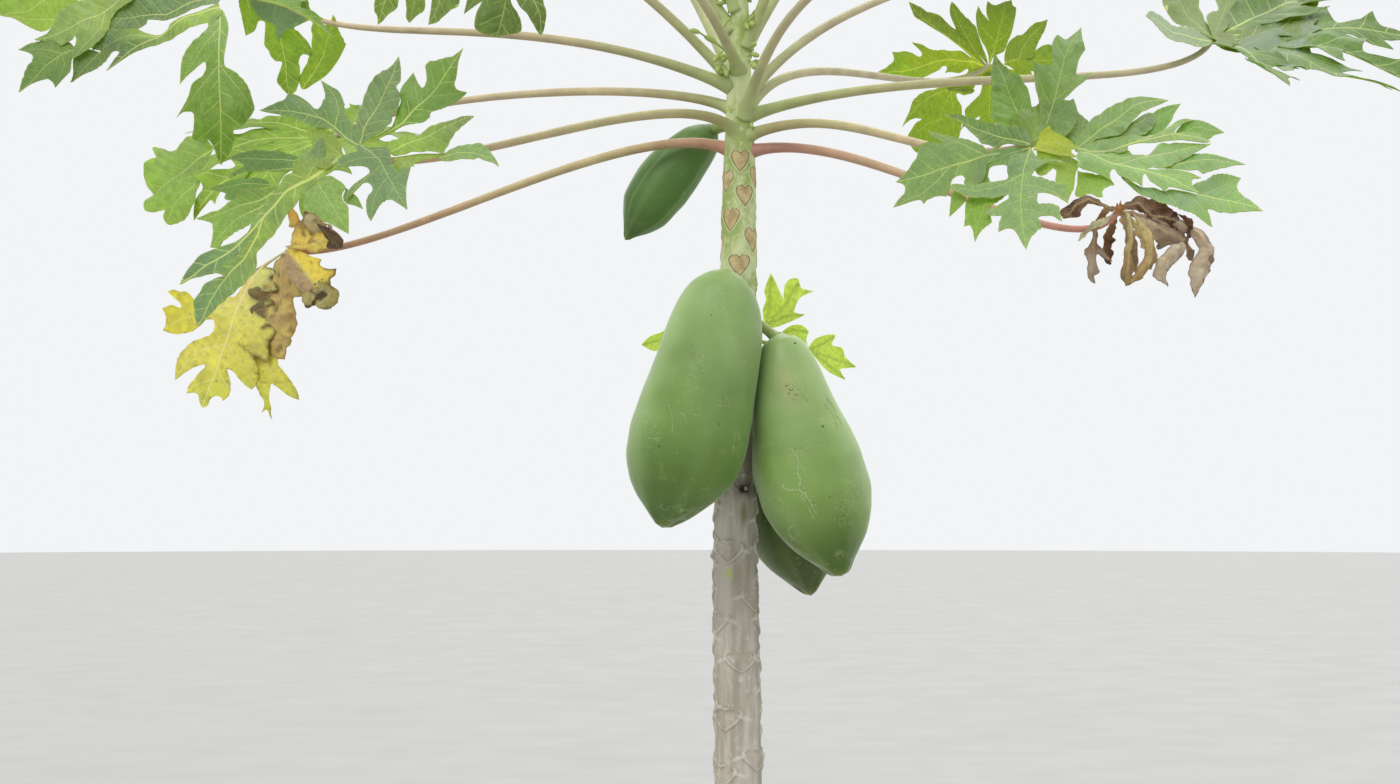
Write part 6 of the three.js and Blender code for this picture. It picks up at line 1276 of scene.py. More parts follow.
# the yellow leaf, sheet by sheet: outline and ribs in the picture; a 1 makes a corner sharp
YELLOW = {
    "main": ([(287.1, 249.3, 1), (281.4, 253.1), (268.6, 260.7), (258.6, 268.6), (252.1, 274.3), (242.9, 287.1),
        (234.3, 297.1), (228.9, 296.6, 1), (220.0, 302.1), (208.6, 305.7), (199.3, 305.0), (189.3, 293.6),
        (181.4, 292.9), (175.7, 291.7), (170.4, 293.7, 1), (175.4, 298.6), (180.7, 302.9), (182.4, 308.9),
        (174.3, 306.9), (165.4, 310.3, 1), (167.4, 320.7), (163.3, 330.7, 1), (173.6, 333.6), (187.1, 333.6),
        (197.1, 330.7), (205.0, 324.6), (211.4, 321.4), (215.7, 321.1), (217.4, 325.7), (216.4, 332.1),
        (211.4, 336.4), (202.9, 340.3), (192.9, 344.0), (184.3, 350.7), (177.9, 359.7), (175.0, 368.6),
        (174.3, 379.6, 1), (181.4, 373.6), (189.3, 369.6), (197.9, 366.1), (204.3, 364.6), (206.0, 367.4),
        (200.0, 373.1), (194.0, 378.9), (190.0, 385.7), (188.7, 394.3, 1), (195.0, 393.1), (200.0, 396.0),
        (201.4, 402.9), (203.7, 408.1, 1), (209.7, 405.7), (211.7, 400.3), (217.1, 396.6), (223.6, 397.9),
        (226.0, 401.7, 1), (231.4, 395.0), (231.1, 386.4), (229.4, 377.9), (227.4, 369.4), (232.1, 371.1),
        (237.9, 378.9), (244.3, 385.4), (250.7, 389.3, 1), (255.4, 384.0), (257.7, 375.0), (256.4, 364.3),
        (254.3, 356.4), (261.4, 359.3), (268.6, 362.9, 1), (269.0, 353.6), (269.7, 344.3), (273.6, 337.9),
        (277.4, 333.6, 1), (275.4, 327.6), (269.3, 326.0), (264.0, 328.9), (269.3, 325.4), (278.6, 324.6, 1),
        (276.4, 319.3), (269.3, 317.1), (262.9, 316.0), (257.7, 312.1), (265.7, 306.9), (274.6, 304.3, 1),
        (272.1, 300.0), (264.3, 301.1), (255.0, 298.6), (251.1, 294.3), (257.1, 290.3), (267.1, 293.6),
        (279.3, 291.7, 1), (276.9, 284.3), (271.7, 278.1), (278.9, 277.9, 1), (277.9, 272.9), (272.9, 268.9),
        (266.4, 266.9), (269.3, 262.9), (280.7, 255.0)],
        [[(287.1, 249.3), (264.3, 264.3), (251.4, 282.9), (240.7, 299.3), (232.9, 321.4), (225.7, 344.3),
        (214.3, 374.3), (205.0, 404.3)], [(242.1, 300.0), (250.0, 318.6), (255.4, 337.1),
        (256.4, 354.3)], [(238.6, 300.7), (220.0, 309.3), (197.1, 315.0), (181.4, 320.0),
        (167.1, 326.4)], [(225.7, 344.3), (207.1, 348.6), (190.0, 358.6), (175.7, 376.4)], [(226.4, 345.0),
        (238.6, 358.6), (247.1, 374.3), (250.7, 387.1)], [(254.3, 274.3), (261.4, 281.4), (272.9, 285.7)]]),
    "lower": ([(248.6, 348.6, 1), (254.3, 358.6), (256.9, 368.6), (258.0, 380.0), (259.4, 388.6), (263.1, 396.4),
        (267.1, 403.6), (264.6, 412.9, 1), (269.3, 410.0), (274.6, 419.6, 1), (272.6, 407.1), (270.6, 395.7),
        (270.6, 385.7), (272.1, 383.6), (277.9, 387.4), (284.3, 393.1), (291.4, 397.4), (298.9, 400.0, 1),
        (296.0, 390.0), (290.3, 380.3), (285.7, 372.1), (279.3, 364.3), (277.1, 357.9), (268.6, 350.0),
        (260.0, 341.4)],
        [[(252.9, 351.4), (265.7, 365.7), (282.9, 384.3), (297.9, 399.0)]]),
    "right": ([(287.1, 249.3, 1), (295.0, 250.3), (304.3, 253.1), (312.1, 257.1), (323.1, 260.7, 1), (321.7, 266.0),
        (329.3, 270.3), (338.6, 270.0, 1), (337.1, 276.4), (332.9, 280.0), (331.7, 286.0, 1), (325.7, 284.0),
        (320.3, 286.6), (312.1, 291.4), (304.3, 292.9), (297.9, 286.4), (291.7, 280.0), (287.9, 271.4),
        (286.4, 260.0)],
        [[(287.1, 249.3), (296.0, 259.5), (304.0, 270.0), (312.0, 280.0), (317.0, 287.5)]]),
}
SCORCHED = {
    "band": ([(283.6, 252.1), (288.6, 260.0), (297.1, 271.4), (306.4, 282.1), (310.0, 288.6), (306.4, 296.0),
        (298.6, 300.0), (296.0, 304.3), (298.9, 312.9), (302.1, 321.4, 1), (298.9, 329.3), (293.6, 335.7),
        (291.4, 343.6), (288.6, 351.4), (282.9, 358.9, 1), (277.1, 357.9), (270.7, 354.3), (266.4, 347.1),
        (267.1, 337.1), (270.7, 327.1), (264.0, 318.0), (254.0, 314.0), (251.0, 306.0), (256.0, 301.0), (249.0, 294.0), (253.0, 288.0),
        (264.0, 286.0), (270.0, 280.0), (272.1, 271.4), (273.6, 261.4)],
        [[(285.7, 252.9), (283.6, 285.7), (280.7, 314.3), (277.1, 354.3)]]),
    "cup": ([(302.5, 290.0, 1), (311.0, 288.0), (317.0, 282.5), (325.0, 280.5), (332.5, 284.0), (336.6, 293.0), (336.4, 302.0), (330.4, 309.2),
        (321.0, 307.6), (313.0, 305.0), (305.0, 307.0, 1), (300.5, 299.0)],
        [[(304.0, 297.0), (320.0, 300.0), (334.0, 296.0)]]),
    "upper_1": ([(287.1, 249.3, 1), (286.9, 241.4), (290.7, 232.1), (294.3, 224.3), (297.6, 219.7, 1), (304.3, 222.9),
        (309.3, 230.7), (312.1, 241.4), (304.3, 246.0), (295.7, 248.6)],
        [[(287.1, 249.3), (294.3, 237.1), (298.6, 224.3)]]),
    "upper_2": ([(304.3, 217.1), (314.6, 212.9, 1), (323.6, 217.9), (326.4, 225.7), (320.0, 234.3), (312.9, 242.9),
        (308.6, 234.3)],
        [[(310.0, 241.4), (315.0, 215.7)]]),
    "upper_3": ([(287.1, 249.3, 1), (297.1, 246.0), (311.4, 242.9), (317.1, 233.6), (325.7, 227.1), (332.1, 233.6),
        (330.0, 242.9), (325.7, 251.4), (314.3, 254.0), (300.0, 252.1)],
        [[(287.1, 249.3), (308.6, 247.1), (327.1, 241.4)]]),
    "upper_tip": ([(300.6, 227.0, 1), (299.8, 214.3), (295.7, 207.9, 1), (291.7, 215.0), (292.0, 228.0)],
        [[(295.4, 221.4), (295.7, 210.0)]]),
    "upper_edge": ([(321.4, 224.3), (328.6, 227.1), (334.3, 234.3), (342.1, 238.6, 1), (339.3, 245.7), (332.9, 251.4),
        (327.4, 247.1), (328.6, 238.6), (324.3, 231.4)],
        [[(324.3, 227.1), (334.3, 242.9)]]),
}
# the withered leaf: outline, ribs, depth (at the hub, per pixel across, per pixel down), tones near and far from the hub
SHRIVELLED = [
    ([(1121.9, 206.9, 1), (1130.0, 201.5), (1138.8, 200.4), (1146.2, 205.6), (1152.5, 213.8), (1162.5, 214.8),
        (1170.6, 210.0, 1), (1173.5, 212.8), (1172.8, 217.2), (1179.0, 217.2, 1), (1179.4, 224.4), (1170.0, 224.0),
        (1160.0, 220.2), (1148.5, 217.5), (1142.5, 210.6), (1135.0, 205.0), (1126.2, 209.8)],
        [[(1123.8, 206.9), (1137.5, 202.9), (1150.0, 215.6), (1176.2, 220.6)]], (-0.215, 0.0006, 0), (132, 96, 74), (104, 66, 48)),
    ([(1126.2, 212.8, 1), (1140.0, 216.0), (1152.5, 221.9), (1165.0, 224.8), (1175.0, 229.8), (1183.8, 236.9),
        (1185.0, 244.4), (1175.6, 242.5), (1167.5, 241.5), (1162.8, 250.2), (1158.8, 245.0), (1152.5, 234.0),
        (1142.8, 223.1), (1133.5, 216.5)],
        [[(1127.5, 213.5), (1150.0, 226.5), (1165.0, 232.5), (1181.2, 240.6)]], (-0.216, 0.0004, 0), (204, 180, 138), (150, 118, 88)),
    ([(1116.2, 208.1, 1), (1110.0, 205.6), (1102.5, 202.5), (1096.9, 198.5), (1090.0, 195.5), (1083.1, 194.8),
        (1075.6, 198.1), (1067.8, 205.0), (1061.9, 210.6), (1060.4, 214.0, 1), (1065.0, 220.0, 1), (1071.2, 218.1),
        (1079.4, 216.2), (1081.9, 211.9), (1086.5, 206.5), (1093.8, 204.4), (1102.5, 206.2), (1111.2, 210.0)],
        [[(1116.2, 208.1), (1100.0, 203.1), (1087.5, 199.4), (1075.0, 205.0), (1066.9, 215.6)]], (-0.225, 0.0003, 0), (168, 122, 74), (112, 78, 58)),
    ([(1123.1, 212.8, 1), (1126.9, 221.2), (1128.0, 232.5), (1125.5, 242.5), (1124.0, 255.0), (1121.5, 266.2),
        (1120.0, 276.9), (1125.6, 284.4, 1), (1131.9, 282.8), (1132.8, 275.0), (1134.8, 265.6), (1132.2, 255.0),
        (1133.0, 242.5), (1134.0, 230.0), (1132.8, 220.0), (1129.4, 212.8)],
        [[(1126.2, 213.1), (1130.6, 230.0), (1128.5, 255.0), (1126.0, 278.8)]], (-0.222, 0, -0.0006), (206, 186, 96), (158, 118, 62)),
    ([(1131.9, 215.6, 1), (1140.0, 221.0), (1148.5, 229.4), (1153.0, 238.8), (1153.2, 250.0), (1151.5, 260.0),
        (1146.5, 272.5), (1139.4, 280.0), (1129.4, 284.8, 1), (1126.5, 280.6), (1132.8, 272.8), (1139.0, 265.0),
        (1143.8, 257.5), (1145.8, 250.0), (1144.5, 240.6), (1140.6, 233.1), (1134.8, 223.8)],
        [[(1133.1, 217.2), (1143.8, 226.5), (1150.0, 238.8), (1149.8, 253.8), (1141.9, 270.6), (1130.2, 281.9)]], (-0.225, 0, -0.0005), (216, 186, 84), (170, 126, 58)),
    ([(1162.5, 230.0), (1170.0, 227.5), (1176.9, 233.8), (1183.8, 238.8), (1180.0, 245.0), (1170.0, 245.0),
        (1161.2, 250.0), (1158.8, 246.2), (1165.0, 240.0)],
        [[(1163.8, 245.0), (1172.5, 236.2), (1180.0, 240.0)]], (-0.212, 0.0004, 0), (178, 146, 112), (158, 124, 94)),
    ([(1183.8, 241.2), (1186.0, 248.1), (1179.8, 260.0), (1171.9, 267.5), (1166.5, 278.8), (1167.2, 286.5, 1),
        (1162.5, 284.0), (1156.5, 280.8), (1153.5, 272.5), (1156.0, 261.9), (1162.8, 253.8), (1170.0, 246.9),
        (1177.2, 242.2)],
        [[(1182.5, 245.0), (1170.0, 255.0), (1161.0, 267.5), (1163.1, 281.9)]], (-0.218, 0.0002, -0.0001), (206, 184, 146), (186, 162, 124)),
    ([(1180.0, 218.8), (1191.2, 223.1), (1202.5, 229.8), (1209.0, 240.0), (1212.8, 250.0), (1211.5, 262.5),
        (1206.5, 275.0), (1200.2, 286.2), (1194.5, 296.9, 1), (1191.2, 290.0), (1189.1, 277.5), (1191.5, 266.2),
        (1197.2, 255.0), (1198.5, 246.9), (1194.0, 239.4), (1187.8, 234.0), (1179.8, 230.6), (1172.8, 224.4)],
        [[(1176.2, 221.2), (1195.0, 231.9), (1205.6, 247.5), (1201.2, 270.0), (1194.8, 292.5)]], (-0.222, 0.0006, 0), (186, 150, 118), (196, 170, 132)),
    ([(1093.1, 230.0, 1), (1097.8, 231.9), (1098.2, 242.5), (1105.2, 249.8), (1113.5, 261.5, 1), (1105.2, 259.0),
        (1097.8, 254.0), (1096.2, 261.9), (1099.0, 270.2), (1094.0, 275.2), (1095.2, 284.4, 1), (1089.8, 280.0),
        (1086.0, 270.0), (1087.2, 260.0), (1084.8, 250.0), (1090.0, 245.0), (1093.0, 238.8)],
        [[(1095.0, 231.2), (1094.0, 250.0), (1091.0, 280.0)]], (-0.212, 0, 0), (150, 108, 76), (176, 150, 128)),
]


def depth_of_blade(n):
    """How deep leaf n lies where the picture shows it: a curved surface fitted to its plain blade."""
    hub, (R, bearing, dip, roll) = np.array(LEAVES[n][5], float) * MM, LEAVES[n][6]
    g = np.stack(np.meshgrid(np.linspace(-1, 1, 21), np.linspace(-1, 1, 21)), -1).reshape(-1, 2) * R * MM * 0.8
    P = leaf_space(g, hub, R * MM, bearing, dip, roll, [list(x) for x in LEAVES[n][7]])
    px, py = seen(P)
    mx, my = px.mean(), py.mean()
    x, y = (px - mx) / 100, (py - my) / 100
    k = np.linalg.lstsq(np.stack([x * 0 + 1, x, y, x * x, x * y, y * y], 1), P[:, 1], rcond=None)[0]

    def depth(px, py):
        x, y = (px - mx) / 100, (py - my) / 100
        return np.clip(k[0] + k[1] * x + k[2] * y + k[3] * x * x + k[4] * x * y + k[5] * y * y, P[:, 1].min(), P[:, 1].max())

    return depth


def over(col, k, tone):
    k = np.clip(k, 0, 1)[:, None]
    return col * (1 - k) + np.asarray(tone) * k


def build_yellow(yellow, dry):
    depth = depth_of_blade(1)
    for i, (part, (rows, ribs)) in enumerate(YELLOW.items()):
        back = {"main": 0.0, "lower": 0.009, "right": -0.003}[part]
        g = sheet(rows, ribs, lambda x, y: depth(x, y) + back, 40 + i, wave=1.1, fold=0.12)
        px, py, f = g["px"], g["py"], np.concatenate([g["flat"], g["side"][:, None] * 0.5], 1)
        w = noise(f * 60)
        col = np.tile(lin((228, 224, 148)), (len(px), 1))
        col = over(col, smooth(262, 345, py + 8 * w), lin((222, 214, 104)))
        col = over(col, smooth(350, 405, py + 8 * w), lin((208, 208, 84)))
        if part == "main":
            col = over(col, smooth(226, 200, px) * smooth(346, 336, py), lin((212, 204, 64)))
            col = over(col, smooth(0.006, 0.002, g["to_rib"]) * smooth(306, 285, py) * smooth(262, 240, px), lin((228, 196, 138)))
            edge = smooth(0.0042, 0.0, g["to_rim"] + 0.0014 * w) * smooth(244, 256, px) * smooth(366, 356, py)
            col = over(col, edge * 0.85, lin((112, 82, 48)))
            blot = smooth(9, 3, np.hypot(px - 258, (py - 296) * 1.6) + 2 * w)
            col = over(col, blot * 0.7, lin((128, 104, 50)))
            _, _, crease = to_lines(np.stack([px, py], 1), [(238.6, 343), (251, 353.4), (268.6, 362.8)])
            col = over(col, smooth(1.7, 0.4, crease) * 0.7, lin((122, 98, 48)))
        if part == "lower":
            col = over(col, smooth(366, 352, py + 5 * w) * 0.8, lin((150, 122, 64)))
        if part == "right":
            col = over(col, np.where(g["side_of"] < 0, 1.0, 0.0), lin((244, 224, 104)))
            low = np.where(g["side_of"] > 0, 1.0, 0.0) * smooth(0.0006, 0.003, g["to_rib"])
            col = over(col, low, lin((204, 176, 140)))
            col = over(col, low * smooth(0.1, 0.5, noise(f * 75 + 4)) * 0.6, lin((150, 120, 88)))
            col = over(col, smooth(0.004, 0.0, g["to_rim"] + 0.0012 * w) * smooth(320, 334, px), lin((120, 86, 46)))
        col = over(col, smooth(0.4, 0.62, noise(f * 150 + 9)) * 0.45, lin((142, 112, 52)))
        col = over(col, smooth(0.0022, 0.0, g["to_rim"]) * smooth(0.0, 0.5, noise(f * 90 + 3)) * 0.6, lin((140, 104, 50)))
        col = col * (1 + 0.07 * noise(f * 30 + 2)[:, None]) * np.array([1.1, 1.12, 1.1])
        leaf_piece("leaf_blade_01_yellow_" + part, g, col, yellow, ["leaf_blade_01"] if part == "main" else [])
    parts, cols = [], []
    for i, (part, (rows, ribs)) in enumerate(SCORCHED.items()):
        back = {"cup": -0.005, "band": 0.006, "upper_1": -0.004, "upper_2": 0.003, "upper_3": -0.006, "upper_tip": 0.01, "upper_edge": -0.012}[part]
        g = sheet(rows, ribs, lambda x, y: depth(x, np.maximum(y, 236)) + back, 60 + i, wave=1.6, fold=0.1, bulge=0.004, crumple=0.0042, cell=2.1)
        f = np.concatenate([g["flat"], g["side"][:, None] * 0.5], 1)
        a, b, c = {
            "cup": ((214, 202, 134), (198, 184, 112), (150, 130, 82)),
            "band": ((226, 206, 118), (208, 180, 116), (150, 122, 74)), "upper_1": ((255, 238, 120), (255, 226, 108), (186, 150, 84)),
            "upper_2": ((220, 208, 156), (200, 186, 130), (150, 128, 86)), "upper_3": ((255, 240, 124), (255, 228, 110), (190, 156, 86)),
            "upper_tip": ((250, 226, 116), (246, 212, 92), (216, 170, 80)), "upper_edge": ((136, 104, 70), (112, 82, 54), (74, 52, 38)),
        }[part]
        col = np.tile(lin(a), (len(f), 1))
        col = over(col, smooth(-0.15, 0.3, noise(f * 48 + i)), lin(b))
        col = over(col, smooth(0.1, 0.45, noise(f * 90 + 20 + i)) * 0.85, lin(c))
        col = over(col, smooth(0.003, 0.0, g["to_rim"]) * 0.7, lin(c))
        if part == "band":
            col = over(col, smooth(288, 298, g["px"]) * smooth(292, 306, g["py"]) * smooth(-0.2, 0.3, noise(f * 70 + 8)) * 0.7, lin((206, 164, 72)))
            col = over(col, smooth(12, 4, np.hypot(g["px"] - 300, g["py"] - 289)) * 0.6, lin((206, 192, 98)))
            col = over(col, smooth(274, 264, g["px"] + 2 * noise(f * 80)) * 0.75, lin((92, 68, 44)))
        if part == "cup":
            col = over(col, smooth(7.5, 4.5, np.hypot(g["px"] - 321, (g["py"] - 296) * 1.25) + 1.2 * noise(f * 90)) * 0.92, lin((78, 64, 40)))
            col = over(col, smooth(1.6, 0.5, np.abs(np.hypot(g["px"] - 321, (g["py"] - 296) * 1.25) - 7.6)) * 0.6, lin((240, 232, 176)))
        if part == "upper_1":
            col = over(col, smooth(234, 226, g["py"] + 3 * noise(f * 80)) * 0.85, lin(c))
        parts.append((g["verts"], g["faces"], g["u"], g["v"]))
        cols.append(col)
    curls = [
        ([(x, y, depth(x, y) - 0.006) for x, y in ((309, 289), (316, 297), (313, 303), (306, 305))], 3.5, 1.4, 50, (132, 104, 66), (96, 72, 46)),
        ([(x, max(y, 216), depth(x, max(y, 236)) - 0.004) for x, y in ((318, 219), (328, 223), (336, 232), (342, 240))], 4.2, 1.6, 40, (204, 186, 116), (130, 96, 56)),
        ([(300, 222, -.05), (306, 214, -.045), (315, 212, -.045), (323, 217, -.05)], 4.0, 1.5, -30, (150, 112, 64), (176, 160, 106)),
        ([(x, y, depth(x, y) - 0.006) for x, y in ((328, 248), (337, 243), (336, 237), (327, 238))], 4.0, 2.0, 30, (96, 66, 42), (70, 48, 34)),
    ]
    for i, (pts, w, curl, twist, foot, tip) in enumerate(curls):
        v, f, u, x = ribbon([at(*q) for q in pts], w * MM, curl, twist, 71 + i * 3, 0.3, crumple=0.8)
        parts.append((v, f, u, x))
        cols.append(ribbon_colours(u, x, v, foot, tip, i + 20))
    verts, faces, u, x = join(parts)
    o = piece("leaf_blade_01_scorched", verts, faces, dry, [], {"col": np.vstack(cols)}, {"face_side": np.ones(len(verts))}, sharp=70)
    uv_of(o, "lobe", np.stack([u, x], 1))


# ---------------------------------------------------------------- withered leaf and curled bits
def ribbon(path, width, curl, twist, seed, ragged=0.25, thick=0.0009, crumple=1.0):
    """A dry strip of blade along path, its sides rolled in and its margin torn."""
    rng = np.random.default_rng(seed)
    key = np.asarray(path, float)
    t = np.linspace(0, 1, len(key))
    n, m = 54, 15
    s = np.linspace(0, 1, n)
    # smooth curve through the points
    p = np.stack([np.interp(s, t, key[:, k]) for k in range(3)], 1)
    for _ in range(4):
        q = p.copy()
        q[1:-1] = (p[:-2] + 2 * p[1:-1] + p[2:]) / 4
        p = q
    T, a, b = frames(p)
    tw = np.radians(np.linspace(0, twist, n) + rng.uniform(0, 360))
    A = a * np.cos(tw)[:, None] + b * np.sin(tw)[:, None]
    B = -a * np.sin(tw)[:, None] + b * np.cos(tw)[:, None]
    x = np.linspace(-1, 1, m)
    shape = np.interp(s, [0, 0.12, 0.35, 0.6, 0.72, 0.86, 1.0], [0.16, 0.45, 0.9, 1.0, 0.72, 0.85, 0.12])
    edge = 1 + ragged * noise(np.stack([s * 14, np.full(n, seed * 1.3), np.zeros(n)], 1))
    edge2 = 1 + ragged * noise(np.stack([s * 14, np.full(n, seed * 1.3 + 50), np.zeros(n)], 1))
    rows = []
    for i in range(n):
        half = width * shape[i] * np.where(x < 0, edge[i], edge2[i])
        c = curl * (0.6 + 0.6 * math.sin(s[i] * 5 + seed))
        ang = x * c
        across = np.where(abs(c) > 0.05, np.sin(ang) / max(abs(c), 0.05) * np.sign(c), x) * half
        up = np.where(abs(c) > 0.05, (1 - np.cos(ang)) / max(abs(c), 0.05), 0) * half
        rows.append(p[i] + across[:, None] * A[i] + up[:, None] * B[i])
    G = np.array(rows)
    flat = G.reshape(-1, 3)
    G = (flat + 0.0042 * crumple * np.stack([noise(flat * 70 + k * 9 + seed) for k in range(3)], 1)
         + 0.0016 * crumple * np.stack([noise(flat * 190 + k * 9 + seed) for k in range(3)], 1)).reshape(n, m, 3)
    du, dv = np.gradient(G, axis=0), np.gradient(G, axis=1)
    N = unit(np.cross(du, dv))
    top, low = (G + N * thick / 2).reshape(-1, 3), (G - N * thick / 2).reshape(-1, 3)
    k = n * m
    faces = []
    for i in range(n - 1):
        for j in range(m - 1):
            q = (i * m + j, i * m + j + 1, (i + 1) * m + j + 1, (i + 1) * m + j)
            faces.append(q[::-1])
            faces.append(tuple(z + k for z in q))
    ring = [j for j in range(m)] + [i * m + m - 1 for i in range(1, n)] + [(n - 1) * m + j for j in range(m - 2, -1, -1)]
    ring += [i * m for i in range(n - 2, 0, -1)]
    for a_, b_ in zip(ring, ring[1:] + ring[:1]):
        faces.append((a_, b_, b_ + k, a_ + k))
    u = np.tile(np.repeat(s, m), 2)
    v = np.tile(np.tile(x, n), 2) * 0.2
    return np.vstack([top, low]), faces, u, v


def join(parts):
    """Several (verts, faces, extra arrays...) as one."""
    verts, faces, rest, base = [], [], None, 0
    for p in parts:
        verts.append(p[0])
        faces += [tuple(i + base for i in f) for f in p[1]]
        base += len(p[0])
        rest = [[x] for x in p[2:]] if rest is None else [r + [x] for r, x in zip(rest, p[2:])]
    return (np.vstack(verts), faces, *[np.concatenate(r) for r in rest])


# strips behind the withered leaf's sheets: points in the picture with their depth, width mm, curl, twist, tones (foot, tip)
WITHERED = [
    ([(1119, 209, -.22), (1110, 208, -.22), (1104, 212, -.215), (1099, 221, -.21), (1094, 233, -.21)], 4, 1.4, 30, (176, 140, 88), (140, 104, 72)),
    ([(1118, 213, -.222), (1104, 219, -.228), (1090, 227, -.232), (1080, 240, -.235)], 3.2, 1.6, 20, (198, 192, 132), (182, 178, 116)),
    ([(1119, 211, -.22), (1112, 220, -.19), (1106, 234, -.165), (1106, 250, -.155), (1110, 264, -.155)], 8, 1.6, 60, (160, 122, 80), (124, 88, 60)),
    ([(1120, 211, -.22), (1136, 222, -.215), (1147, 238, -.21), (1152, 254, -.21), (1150, 268, -.21)], 8, 1.8, -40, (198, 170, 96), (160, 128, 78)),
    ([(1121, 208, -.22), (1142, 204, -.19), (1158, 212, -.165), (1170, 220, -.15), (1178, 236, -.14), (1180, 252, -.138)], 11, 1.7, 90, (134, 96, 66), (116, 82, 58)),
    ([(1121, 210, -.22), (1146, 220, -.195), (1166, 232, -.18), (1180, 238, -.17), (1190, 250, -.165), (1192, 262, -.165)], 10, 2.0, 20, (176, 142, 104), (140, 106, 76)),
    ([(1120, 210, -.22), (1126, 222, -.185), (1134, 240, -.16), (1138, 258, -.15), (1136, 274, -.148)], 10, 1.7, 70, (180, 148, 94), (146, 112, 72)),
    ([(1121, 209, -.22), (1140, 216, -.2), (1158, 226, -.19), (1168, 238, -.185)], 3, 1.2, 10, (206, 188, 138), (196, 172, 128)),
    ([(1200, 236, -.17), (1206, 246, -.168), (1206, 262, -.17), (1201, 278, -.172), (1196, 290, -.174)], 6, 2.2, 30, (172, 140, 106), (120, 88, 62)),
    ([(1178, 216, -.19), (1186, 222, -.186), (1192, 230, -.184), (1188, 236, -.186)], 7, 2.0, 50, (112, 66, 48), (96, 56, 42)),
]


def ribbon_colours(u, v, verts, foot, tip, seed):
    foot, tip = (tuple(255 * (c / 255) ** np.interp(sum(tone) / 3, (85, 135), (0.96, 0.5)) for c in tone) for tone in (foot, tip))
    k = smooth(0.1, 0.85, u + 0.12 * noise(verts * 60))[:, None]
    col = lin(foot) * (1 - k) + lin(tip) * k
    col = col * (1 + 0.22 * noise(verts * 85 + seed)[:, None])
    col = over(col, smooth(0.3, 0.7, noise(verts * 110 + 5)) * 0.4, lin(tip) * 0.45)
    return over(col, smooth(0.1, 0.6, noise(verts * 70 + 31)) * 0.35, lin(foot) * 1.25)


def build_withered(dry):
    parts, cols = [], []
    for i, (pts, w, curl, twist, foot, tip) in enumerate(WITHERED):
        v, f, u, x = ribbon([at(*q) for q in pts], w * 1.3 * MM, curl * 0.8, twist, 11 + i * 3, 0.3, crumple=0.8)
        parts.append((v, f, u, x))
        cols.append(ribbon_colours(u, x, v, foot, tip, i))
    for i, (rows, ribs, (d, dx, dy), near, far) in enumerate(SHRIVELLED):
        g = sheet(rows, ribs, lambda x, y: d + dx * (x - 1120) + dy * (y - 210), 80 + i, wave=1.2, fold=-0.25, bulge=0.006, crumple=0.0028, step=1.2, cell=1.7)
        f = np.concatenate([g["flat"], g["side"][:, None] * 0.5], 1)
        k = smooth(0.15, 0.8, g["u"] + 0.2 * noise(f * 50))
        near, far = (tuple(255 * (c / 255) ** np.interp(sum(tone) / 3, (85, 135), (0.96, 0.44)) for c in tone) for tone in (near, far))
        col = over(np.tile(lin(near), (len(f), 1)), k, lin(far))
        col = over(col, smooth(0.05, 0.5, noise(f * np.array([90, 90, 1]) + i)) * 0.55, lin(far) * 0.5)
        col = over(col, smooth(0.1, 0.5, noise(f * 60 + 40 + i)) * 0.4, lin(near) * 1.3)
        col = over(col, smooth(0.0016, 0.0002, g["to_rib"]) * 0.6, lin((222, 200, 152)))
        lines = np.abs(np.sin(g["v"] * 60 + 2 * noise(f * 40)))
        col = over(col, smooth(0.25, 0.0, lines) * 0.35, lin(far) * 0.55)
        col = over(col, smooth(0.0016, 0.0, g["to_rim"]) * 0.6, lin((84, 56, 40)))
        parts.append((g["verts"], g["faces"], g["u"], g["v"]))
        cols.append(col)
    hub = [(1113.0, 209.0, 1), (1115.6, 206.8), (1116.0, 203.0, 1), (1118.6, 205.4), (1120.4, 200.6, 1), (1122.0, 205.0), (1127.4, 203.0, 1), (1124.8, 207.6),
        (1129.0, 210.4, 1), (1123.6, 211.4), (1121.6, 215.0, 1), (1118.8, 211.8), (1114.6, 213.6, 1), (1115.8, 210.4)]
    g = sheet(hub, [[(1114, 208), (1126, 209)], [(1120, 204), (1119, 213)]], lambda x, y: -0.226 + 0 * x, 95, bulge=0.005, crumple=0.0022, step=1.0, cell=1.4)
    f = np.concatenate([g["flat"], g["side"][:, None] * 0.5], 1)
    col = over(np.tile(lin((216, 158, 84)), (len(f), 1)), smooth(-0.2, 0.3, noise(f * 200)) * 0.8, lin((160, 96, 48)))
    parts.append((g["verts"], g["faces"], g["u"], g["v"]))
    cols.append(col)
    verts, faces, u, x = join(parts)
    o = piece("leaf_blade_02_withered", verts, faces, dry, ["leaf_blade_02"], {"col": np.vstack(cols)}, {"face_side": np.ones(len(verts))}, sharp=70)
    uv_of(o, "lobe", np.stack([u, x], 1))


